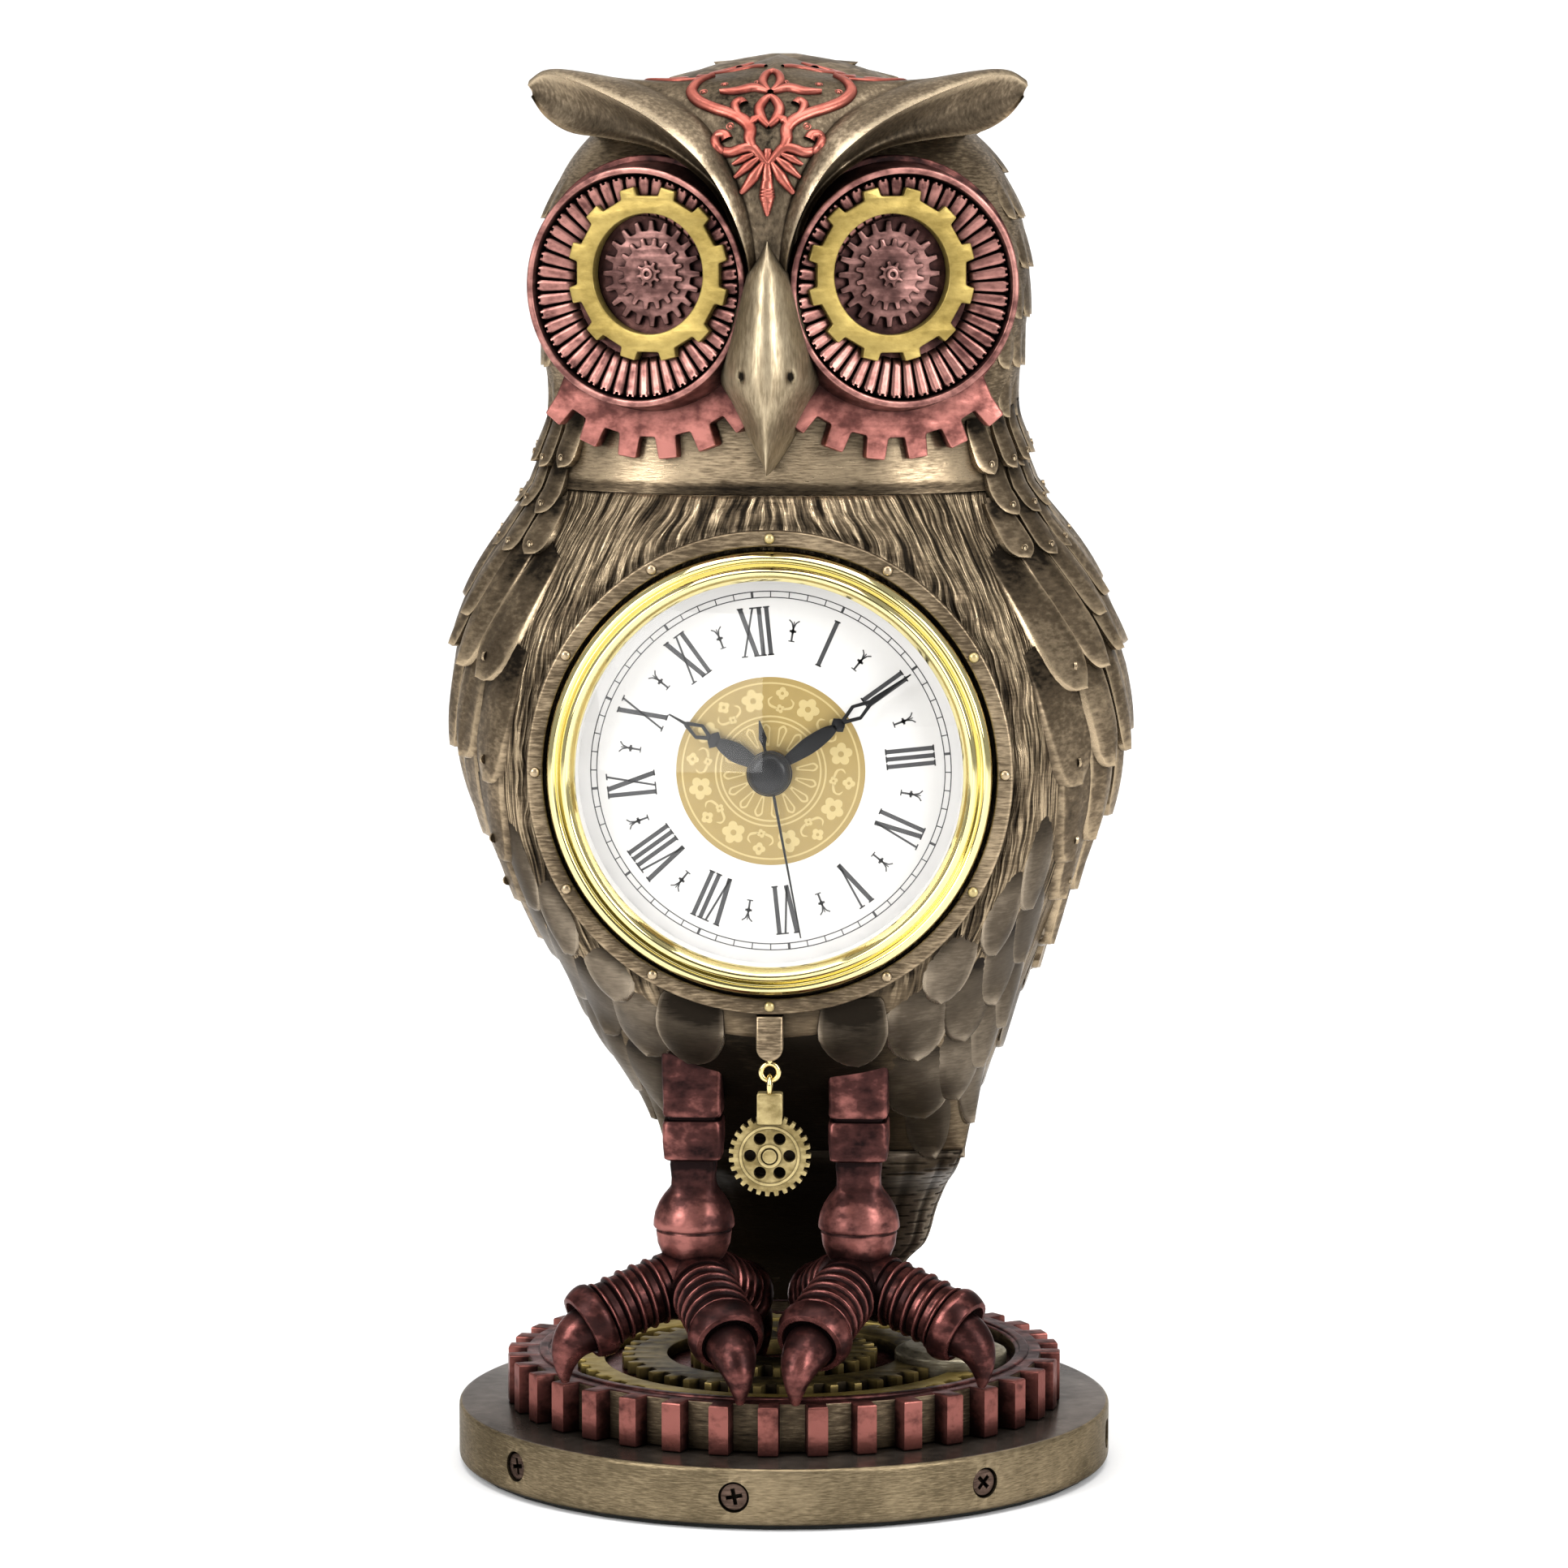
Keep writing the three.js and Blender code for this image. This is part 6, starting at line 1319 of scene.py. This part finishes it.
bulge = np.clip(1 - np.abs(u) ** (1.7 + 0.8 * (1 - smooth(0.6, 0.8, v))), 0, 1) ** 0.75
ridge = beak["keel"] * np.exp(-((u / 0.3) ** 2)) * np.sin(np.pi * np.clip(v * 1.05, 0, 1))
z = beak["low"] + (1 - v) * beak["length"]
x = wide * u
y = beak["root"] + (nose - beak["root"]) * bulge - ridge
high = ((z - nostril["z"]) * nostril["tall"]) ** 2
hole = sum(np.exp(-((x - side * nostril["x"]) ** 2 + high) / nostril["size"]) for side, _ in bothSides)
y = y + nostril["depth"] * hole
points = np.stack([x, y, np.repeat(z, beak["columns"], 1)], -1)
tone = np.clip(0.55 + 0.1 * np.exp(-((u / 0.35) ** 2)) - 0.7 * np.clip(hole, 0, 1), 0, 1)
beakPile = newPile()
addTo(beakPile, points, gridFaces(beak["rows"], beak["columns"]), tone)
makePiece("beakLook", beakPile, beakBronze, "figure", ["beak"], 70)
print("stage: brow and beak built")

# eyes
fins = {"count": 46, "low": 12.5, "high": 19.95, "floor": -3.05, "each": 8}
skirt = {
    "teeth": 6, "pitch": 15.0, "turn": 271.0, "root": 27, "tip": 31, "inner": 23.4, "back": -9.4,
    "front": -6.2,
}
goldEye = {"teeth": 12, "tip": 15.6, "root": 14.0, "hole": 10.7, "back": -2.9, "front": -0.15}
eyeGears = [(20, 9.5, 7.7, -1.9), (16, 6.4, 5.1, -1.2), (8, 2.4, 1.6, -0.4)]  # teeth, tip, root, front
cup = eye["cup"]
cupProfile = [(cup + 1.2, -7), (cup + 0.1, -1.4), (cup, 0), (cup - 1.15, 0), (cup - 1.35, -3), (0, -3)]
r = np.concatenate([np.linspace(fins["low"], 18.5, 8), [19.1, 19.5, 19.8, fins["high"]]])[:, None]
a = np.linspace(0, 2 * np.pi, fins["count"] * fins["each"], endpoint=False)[None, :]
wave = np.abs(((a * fins["count"] / (2 * np.pi)) % 1) - 0.5) * 2
fin = np.clip(6.0 * wave - 0.6, 0, 1)
outerEnd = 1 - smooth(fins["high"] - 0.35, fins["high"], r + 0.7 * np.abs(wave - 0.6))
ends = smooth(fins["low"], fins["low"] + 0.8, r) * outerEnd
finZ = fins["floor"] + (1.0 + 0.16 * (r - fins["low"])) * fin * ends
finPoints = np.stack([r * np.cos(a), r * np.sin(a), finZ], -1)
first = skirt["turn"] - (skirt["teeth"] - 1) / 2 * skirt["pitch"]
lastDegrees = first + (skirt["teeth"] - 0.5) * skirt["pitch"]
skirtLine = []
for i in range(skirt["teeth"]):
    for edge, part in (("root", -0.29), ("tip", -0.22), ("tip", 0.22), ("root", 0.29)):
        q = math.radians(first + (i + part) * skirt["pitch"])
        skirtLine.append((skirt[edge] * math.cos(q), skirt[edge] * math.sin(q)))
for q in np.radians(np.linspace(lastDegrees, first + 360 - 0.5 * skirt["pitch"], 40)):
    skirtLine.append((skirt["inner"] * math.cos(q), skirt["inner"] * math.sin(q)))
for side, name in bothSides:
    shift = np.array([-side * eye["shift"], eye["shift"], 0])

    def inEye(points):
        return fromEye(points, side)

    def shifted(points):
        return fromEye(points + shift, side)

    pile = pileOf(turned(rounded(cupProfile, 0.35, 4), 128), inEye, 0.55)
    addTo(pile, inEye(finPoints), gridFaces(*finPoints.shape[:2], True), 0.1 + 0.5 * fin * ends)
    makePiece(f"{name}EyeCupLook", pile, eyeCopper, "figure", [f"{name}_eye_cup"], 45)

    points, faces = cutSheet([rounded(skirtLine, 0.35, 2, True)], skirt["back"], skirt["front"], 0.35, 2)
    points = points * [side, 1, 1]
    faces = faces if side > 0 else [f[::-1] for f in faces]
    # painted shade: the skirt is darker close to the cup and lighter towards its teeth
    outwards = smooth(21, 29, np.hypot(points[:, 0], points[:, 1]))
    pile = pileOf((points, faces), inEye, 0.15 + 0.5 * outwards)
    skirtNodes = [f"{name}_eye_back_gear"]
    makePiece(f"{name}EyeSkirtLook", pile, brightCopper, "figure", skirtNodes, 40)

    outline = gearOutline(
        goldEye["teeth"], goldEye["root"], goldEye["tip"], 0.36, 0.44, math.radians(15), 0.25,
    )
    sheet = cutSheet([outline, circle(goldEye["hole"], 72)], goldEye["back"], goldEye["front"], 0.3, 2)
    pile = pileOf(sheet, shifted, 0.55)
    makePiece(f"{name}EyeGoldLook", pile, gold, "figure", [f"{name}_eye_gold_gear"], 40)

    pile = newPile()
    for teeth, tip, root, high in eyeGears:
        outline = gearOutline(teeth, root, tip, 0.30, 0.52, 0.1 * tip, 0.2)
        addSolid(pile, cutSheet([outline], -2.95, high, 0.22, 2), shifted)
    boss = rounded([(1.05, -0.5), (1.05, 0.1), (0.5, 0.1), (0.5, -0.5)], 0.15, 2)
    addSolid(pile, turned(boss, 24), shifted, 0.8)
    gearNodes = [f"{name}_eye_copper_gear"]
    makePiece(f"{name}EyeCopperLook", pile, mutedCopper, "figure", gearNodes, 40)
print("stage: eyes built")

# chest ring and insert clock
ring = {"inner": 40.6, "outer": 43.6, "back": 45.1, "front": 47.1, "rivets": 12, "gilded": (0, 2, 4, 6)}
ringCorners = (
    ("inner", "back"), ("outer", "back"), ("outer", "front"), ("inner", "front"), ("inner", "back"),
)
ringProfile = rounded([(ring[r], ring[z]) for r, z in ringCorners], 0.6, 4)
ringPile = pileOf(turned(ringProfile, 160), atInsert)
rivetPoints, rivetFaces = turned([(1.0, -0.4), (0.95, 0.15), (0.7, 0.42), (0.35, 0.56), (0, 0.6)], 16)
at = (ring["inner"] + ring["outer"]) / 2
for i in range(ring["rivets"]):
    a = 2 * math.pi * i / ring["rivets"]
    points = moved(rivetPoints, at * math.sin(a), at * math.cos(a), ring["front"])
    addTo(ringPile, atInsert(points), rivetFaces, 0.75, int(i in ring["gilded"]))
makePiece("chestRingLook", ringPile, [bronze, charmGold], "figure", ["chest_ring"], 45)

bezelLine = [  # radius, front
    (36.7, 45.2), (39.4, 45.12), (40, 45.8), (40, 47.4), (39.7, 48.6), (38.9, 49.4), (38.3, 49.3),
    (38.0, 49.0), (37.6, 49.4), (37.0, 50.4), (36.4, 50.8), (35.8, 50.5), (35.1, 49.6), (34.7, 48.9),
    (34.75, 48.3),
]
bezelProfile = spline(bezelLine, 70)
bezelPile = pileOf(turned(bezelProfile, 220), atInsert)
makePiece("bezelLook", bezelPile, bezelGold, "insert", ["bezel"], 60)

lens = {"clear": 34.5, "back": 47.85, "thick": 1.6, "dome": 2.3, "seat": 0.3}
r = np.linspace(0, lens["clear"], 24)
z = lens["back"] + lens["thick"] + lens["dome"] * (1 - (r / lens["clear"]) ** 2) - lens["seat"]
lensPile = pileOf(turned(np.stack([r, z], 1), 96), atInsert)
makePiece("lensLook", lensPile, lensClear, "insert", ["lens"], None)

dial = {
    "front": 42.8, "radius": 35.1, "turn": 6.0, "hole": 3.9, "trackOut": 32.4, "trackIn": 31.3,
    "trackLine": 0.09, "numeralOut": 29.6, "numeralIn": 20.8, "mark": 25.6, "markWeight": 1.35, "gold": 17.0,
}
ink = 1  # paint numbers on the dial, after its white
foil = 2
lightFoil = 3
level = dial["front"]
dialHole = circle(dial["hole"], 32)
dialPile = pileOf(cutSheet([circle(dial["radius"], 128), dialHole], level - 0.8, level, 0.05), atInsert)
wallProfile = [(dial["radius"] + 0.02, level - 0.1), (34.4, level + 2.4), (34.9, 47.8)]
addSolid(dialPile, turned(wallProfile, 120), atInsert)


def printed(outlines, paint, high=0.03):  # thin printed shape on the dial
    points, faces = cutSheet(outlines, level, level + high)
    addTo(dialPile, atInsert(spun(points, math.radians(dial["turn"]))), faces, 0.5, paint)


def bandAt(shape, clockDegrees, radius):  # shape's +y looks outwards
    return spun(np.asarray(shape, float) + [0, radius], -math.radians(clockDegrees))


def stroke(x0, y0, x1, y1, width):
    run = np.array([x1 - x0, y1 - y0])
    side = np.array([-run[1], run[0]]) / np.linalg.norm(run) * width / 2
    a = np.array([x0, y0])
    b = np.array([x1, y1])
    return np.array([a - side, b - side, b + side, a + side])


for radius in (dial["trackOut"], dial["trackIn"]):
    printed([circle(radius + dial["trackLine"], 180), circle(radius - dial["trackLine"], 180)], ink)
for i in range(60):
    wide = 0.46 if i % 5 == 0 else 0.18
    printed([bandAt(stroke(0, dial["trackIn"], 0, dial["trackOut"], wide), 6 * i, 0)], ink)
numerals = ["XII", "I", "II", "III", "IV", "V", "VI", "VII", "VIII", "IX", "X", "XI"]
letterWidth = {"I": 1.35, "V": 3.0, "X": 3.2}
tall = dial["numeralOut"] - dial["numeralIn"]
letter = {"inset": 0.45, "bold": 0.85, "serif": 1.15, "serifLine": 0.26, "serifIn": 0.1}


def letterStrokes(c, x, w):  # one Roman letter, w wide from x
    mid = x + w / 2
    low = x + letter["inset"]
    high = x + w - letter["inset"]
    strokes = {
        "I": [(mid, 0, mid, tall, 0.78)],
        "V": [(low, tall, mid + 0.1, 0, letter["bold"]), (x + w - 0.4, tall, mid, 0, 0.38)],
        "X": [(low, tall, high, 0, letter["bold"]), (high, tall, low, 0, 0.36)],
    }[c]
    for place in [mid] if c == "I" else [x + 0.5, high]:
        start = place - letter["serif"] / 2
        end = place + letter["serif"] / 2
        for y in [tall - letter["serifIn"]] + ([] if c == "V" else [letter["serifIn"]]):
            strokes.append((start, y, end, y, letter["serifLine"]))
    return strokes


for hour, word in enumerate(numerals):
    x = -sum(letterWidth[c] for c in word) / 2
    for c in word:
        for line in letterStrokes(c, x, letterWidth[c]):
            printed([bandAt(stroke(*line), 30 * hour, dial["numeralIn"])], ink)
        x += letterWidth[c]
markStrokes = [  # start, end and width of each line in a small forked mark
    (0, -1.9, 0, 0.6, 0.26), (-0.55, -1.9, 0.55, -1.9, 0.16), (-0.6, -0.1, 0.6, -0.1, 0.3),
    (0, 0.4, -0.35, 1.4, 0.2), (0, 0.4, 0.35, 1.4, 0.2), (-0.35, 1.4, -0.95, 1.9, 0.17),
    (0.35, 1.4, 0.95, 1.9, 0.17), (0, 0.5, 0, 1.7, 0.13),
]
diamond = [(0, 0.55), (0.42, -0.1), (0, -0.75), (-0.42, -0.1)]
for hour in range(12):  # one mark between each two hours
    shapes = [stroke(*line, dial["markWeight"] * w) for *line, w in markStrokes] + [diamond]
    for shape in shapes:
        printed([bandAt(shape, 30 * hour + 15, dial["mark"])], ink)
printed([circle(dial["gold"], 120), dialHole], foil, 0.05)


def flower(petals, size, heart, x, y, spin):
    a = np.linspace(0, 2 * np.pi, petals * 10, endpoint=False)
    r = size * (0.62 + 0.38 * np.abs(np.cos(petals * (a - spin) / 2)) ** 0.7)
    return [np.stack([x + r * np.cos(a), y + r * np.sin(a)], 1), circle(heart, 12, x, y)]


def inlay(outlines):
    printed(outlines, lightFoil, 0.08)


petal = [(-0.25, 4.6), (-0.62, 6.8), (-0.75, 7.9), (0, 8.6), (0.75, 7.9), (0.62, 6.8), (0.25, 4.6)]
petalHole = [(-0.12, 5.1), (-0.36, 6.8), (-0.45, 7.7), (0, 8.2), (0.45, 7.7), (0.36, 6.8), (0.12, 5.1)]
curl = [(0.6, 11.2), (2.0, 11.6), (2.4, 12.8), (1.6, 13.4), (2.1, 12.6), (1.8, 12.0), (0.6, 11.6)]
for radius in (9.0, 9.9, 15.9):
    inlay([circle(radius + 0.16, 90), circle(radius - 0.16, 90)])
for i in range(16):
    inlay([bandAt(spline(line, 24), 22.5 * i, 0) for line in (petal, petalHole)])
for i in range(8):
    a = math.radians(45 * i + 8)
    inlay(flower(5, 2.1, 0.55, 13.0 * math.cos(a), 13.0 * math.sin(a), a))
    b = a + math.radians(22.5)
    inlay(flower(4, 1.15, 0.3, 14.2 * math.cos(b), 14.2 * math.sin(b), b))
    inlay(flower(4, 0.8, 0.22, 11.4 * math.cos(b), 11.4 * math.sin(b), b + 0.4))
    for bend in (-1, 1):
        inlay([bandAt(spline([(x * bend, y) for x, y in curl], 26), -45 * i + 82 + 22.5, 0)])
dialFinishes = [whiteDial, inkGrey, dialGold, paleGold]
makePiece("dialLook", dialPile, dialFinishes, "insert", ["dial"], 30)
print("stage: ring, bezel and dial built")

hands = {"hour": -60.3, "minute": 54.7, "second": 169.3, "hourLow": 44.4, "step": 1.0, "thick": 0.4}


def makeHand(name, outlines, degrees, level, ride, node, hub, hole):
    pile = newPile()
    low = hands["hourLow"] + level * hands["step"]
    high = low + hands["thick"]
    for outline in outlines:
        points, faces = cutSheet(outline, low, high, 0.1, 1)
        addTo(pile, atInsert(spun(points, -math.radians(degrees))), faces)
    addSolid(pile, cutSheet([circle(hub, 32), circle(hole, 24)], low, high, 0.05, 1), atInsert)
    makePiece(name, pile, handBlack, ride, [node], 40)


def mirrorLine(points):
    points = np.asarray(points, float)
    return np.concatenate([points, (points * [-1, 1])[::-1]])


def bladeHand(blade, cross, loop, window):  # a blade, a small cross and a pierced point
    return [[mirrorLine(spline(blade, 20))], [mirrorLine(cross)], [mirrorLine(loop), mirrorLine(window)]]


hourShape = bladeHand(
    [(0.7, 2.0), (1.35, 4.5), (1.75, 7.0), (1.3, 9.6), (0.55, 11.2)],
    [(0.5, 10.6), (1.0, 10.8), (1.7, 11.6), (1.0, 12.3), (0.6, 12.6)],
    [(0.42, 12.2), (1.5, 14.6), (0.5, 17.4), (0.28, 17.6), (0.15, 20.9)],
    [(0.06, 13.2), (0.85, 14.7), (0.06, 16.6)],
)
minuteShape = bladeHand(
    [(0.6, 2.0), (1.2, 5.5), (1.55, 9.0), (1.2, 12.6), (0.5, 14.6)],
    [(0.5, 14.0), (0.9, 14.2), (1.5, 15.0), (0.9, 15.8), (0.5, 16.2)],
    [(0.4, 15.8), (1.55, 19.0), (0.5, 22.2), (0.55, 23.0), (0.14, 30.9)],
    [(0.06, 16.9), (0.9, 19.1), (0.06, 21.4)],
)
secondShape = [[mirrorLine([(0.12, -9.7), (0.75, -6.4), (0.4, -5.4), (0.26, -4.8), (0.3, 0), (0.13, 30.2)])]]
makeHand("hourHandLook", hourShape, hands["hour"], 0, "hour", "hour_hand", 3.4, 2.45)
makeHand("minuteHandLook", minuteShape, hands["minute"], 1, "minute", "minute_hand", 2.6, 1.42)
makeHand("secondHandLook", secondShape, hands["second"], 2, "second", "second_hand", 1.9, 0.56)
low = hands["hourLow"] + 2 * hands["step"] + hands["thick"] + 0.06
capRows = [(0, 0), (3.8, 0), (3.9, 0.3), (3.7, 1.0), (2.9, 1.85), (1.5, 2.3), (0, 2.4)]  # radius, height
capPile = pileOf(turned(spline([(r, low + rise) for r, rise in capRows], 40), 64), atInsert)
makePiece("handCapLook", capPile, handBlack, "second", ["hand_cap"], 60)

# ornament on its wire
hang = {
    "y": -45.5, "tabTop": -43.9, "tabBottom": -52.1, "tabHalf": 2.4, "eye": -54.25, "loop": -56.55,
    "blockTop": -57.9, "blockBottom": -63.7, "blockHalf": 2.3, "bob": -69.4,
}


def addHung(pile, solid, height, relief=0.5):  # centred at a height below the dial's middle
    points, faces = solid
    addTo(pile, atInsert(moved(points, 0, height, -hang["y"])), faces, relief)


half = hang["tabHalf"]
arcs = np.linspace(math.pi, 2 * math.pi, 20)
roundEnd = [(half * math.cos(a), hang["tabBottom"] + half + half * math.sin(a)) for a in arcs]
outline = [(-half, hang["tabTop"])] + roundEnd + [(half, hang["tabTop"])]
tabPile = pileOf(cutSheet([np.array(outline)], 43.9, 47.1, 0.5, 3), atInsert)
makePiece("tabLook", tabPile, bronze, "figure", ["pendulum_bracket"], 50)


def wireRing(radius, wire, across=False, around=48, sides=12):  # flat in the dial's plane, or across it
    turnA = np.linspace(0, 2 * np.pi, around, endpoint=False)
    a, b = np.meshgrid(turnA, np.linspace(0, 2 * np.pi, sides + 1)[:-1], indexing="ij")
    flat = radius + wire * np.cos(b)
    points = np.stack([flat * np.cos(a), flat * np.sin(a), wire * np.sin(b)], -1)
    if across:
        points = points[..., [2, 1, 0]]
    faces = []
    for i in range(around):
        this = i * sides
        following = (i + 1) % around * sides
        for j in range(sides):
            k = (j + 1) % sides
            faces.append([this + j, following + j, following + k, this + k])
    return points.reshape(-1, 3), faces


pile = newPile()
addHung(pile, wireRing(1.55, 0.5), hang["eye"])
points, faces = turned([(0, 1.6), (0.5, 1.6), (0.5, 4.4), (0, 4.4)], 14)
addHung(pile, (points[:, [0, 2, 1]], faces), hang["eye"])
makePiece("screwEyeLook", pile, brassWire, "figure", ["screw_eye"], 50)
pile = newPile()
addHung(pile, wireRing(1.8, 0.45, True), hang["loop"])
makePiece("wireLoopLook", pile, brassWire, "pendulum", ["pendulum_eye"], 50)

bob = {"tip": 7.4, "root": 6.6, "teeth": 27, "holes": 6, "holeAt": 3.55, "hole": 1.1}
bobLines = [gearOutline(bob["teeth"], bob["root"], bob["tip"], 0.42, 0.62)]
for i in range(bob["holes"]):
    a = math.radians(360 / bob["holes"] * i)
    bobLines.append(circle(bob["hole"], 18, bob["holeAt"] * math.cos(a), bob["holeAt"] * math.sin(a)))
bobRim = [(5.5, 0.9), (5.5, 1.25), (5.0, 1.25), (5.0, 0.9)]
bobHub = [(2.15, 0.9), (2.15, 1.5), (1.55, 1.5), (1.5, 1.15), (1.3, 1.15), (1.3, 1.7), (0, 1.75)]
pile = newPile()
addHung(pile, cutSheet(bobLines, -1.0, 1.0, 0.15, 1), hang["bob"])
addHung(pile, turned(rounded(bobRim, 0.15, 2), 48), hang["bob"], 0.65)
addHung(pile, turned(rounded(bobHub, 0.18, 2), 48), hang["bob"], 0.65)
blockCorners = [(-1, "blockBottom"), (1, "blockBottom"), (1, "blockTop"), (-1, "blockTop")]
outline = rounded([(way * hang["blockHalf"], hang[z]) for way, z in blockCorners], 0.4, 2, True)
addSolid(pile, cutSheet([outline], 44.0, 47.0, 0.35, 2), atInsert)
makePiece("charmLook", pile, charmGold, "pendulum", ["pendulum_bob"], 40)
print("stage: hands and ornament built")

# the insert's own works keep their CAD shape
works = [
    (darkPlastic, ("insert_case", "movement_back_plate", "battery_door", "set_knob")),
    (softRubber, ("gasket",)),
    (plateBrass, ("movement_front_plate", "minute_wheel", "hour_wheel")),
    (whitePlastic, ("rotor", "intermediate_wheel", "second_wheel", "third_wheel", "motion_wheel")),
    (bareSteel, ("stator", "battery")),
    (boardGreen, ("circuit_board",)),
    (coilCopper, ("coil",)),
]
for material, names in works:
    for name in names:
        repaint(name, material)
print("stage: works finished")

# floor, light, camera
studio = {
    "floor": (0.90, 0.90, 0.90), "paper": 0.985, "world": 0.42, "front": 0.12, "near": -3.5, "back": 1.6,
    "bend": 0.9, "top": 4.0, "wide": 4.0,
}
arcs = np.linspace(0, math.pi / 2, 16)
bend = studio["bend"]
profile = [(studio["back"] + bend * math.sin(a), bend - bend * math.cos(a)) for a in arcs]
profile = [(studio["near"], 0.0)] + profile + [(studio["back"] + bend, studio["top"])]
sweep = np.array([[(x, y, z) for x in (-studio["wide"], studio["wide"])] for y, z in profile])
mesh = bpy.data.meshes.new("floor")
mesh.from_pydata(sweep.reshape(-1, 3).tolist(), [], gridFaces(len(profile), 2).tolist())
mesh.shade_smooth()
material, tree, shader = shaderStart("floorPaper")
coords = addNode(tree, "ShaderNodeTexCoord").outputs["Object"]
paper = noiseNode(tree, coords, 6.0, 2.0).outputs[0]
tone = mixNode(tree, paper, (*[c * studio["paper"] for c in studio["floor"]], 1), (*studio["floor"], 1))
tree.links.new(tone, shader.inputs["Base Color"])
shader.inputs["Roughness"].default_value = 0.7
mesh.materials.append(material)
floor = addObject("floor", mesh)

world = bpy.data.worlds.new("studio")
scene.world = world
world.use_nodes = True
sky = world.node_tree
around = addNode(sky, "ShaderNodeTexCoord").outputs["Generated"]
facing = addNode(sky, "ShaderNodeSeparateXYZ", {0: around}).outputs[1]
darkening = {0: facing, 1: -0.95, 2: -0.35, 3: studio["front"], 4: studio["world"]}
tone = addNode(sky, "ShaderNodeMapRange", darkening, interpolation_type="SMOOTHSTEP").outputs[0]
sky.nodes["Background"].inputs[0].default_value = (1.0, 1.0, 1.0, 1)
sky.links.new(tone, sky.nodes["Background"].inputs[1])


def addLight(name, place, size, power, aim=(0, 0, 0.13)):
    data = bpy.data.lights.new(name, "AREA")
    data.shape = "RECTANGLE"
    data.size, data.size_y = size
    data.energy = power
    holder = addObject(name, data)
    holder.location = place
    holder.rotation_euler = (Vector(aim) - Vector(place)).to_track_quat("-Z", "Y").to_euler()


addLight("keyLeft", (-1.0, -1.0, 0.8), (0.7, 1.0), 20)
addLight("card", (-0.22, -1.1, 0.16), (0.3, 0.29), 0.7)
addLight("keyRight", (1.1, -0.9, 0.7), (0.6, 1.0), 18)
addLight("topLight", (0, -0.3, 1.5), (1.4, 1.0), 18)
addLight("backWash", (0, 1.0, 1.8), (2.5, 1.0), 30, (0, 2.2, 0.6))

shot = {"distance": 1.130, "height": 0.263, "azimuth": 3.2, "pitch": 6.83, "lens": 140.1}
data = bpy.data.cameras.new("camera")
data.lens = shot["lens"]
data.sensor_width = 36
data.clip_end = 20
holder = addObject("camera", data)
turn = math.radians(shot["azimuth"])
holder.location = (shot["distance"] * math.sin(turn), -shot["distance"] * math.cos(turn), shot["height"])
holder.rotation_euler = (math.radians(90 - shot["pitch"]), 0, turn)
scene.camera = holder
scene.view_settings.view_transform = "Standard"
scene.view_settings.look = "None"
print("stage: studio set")
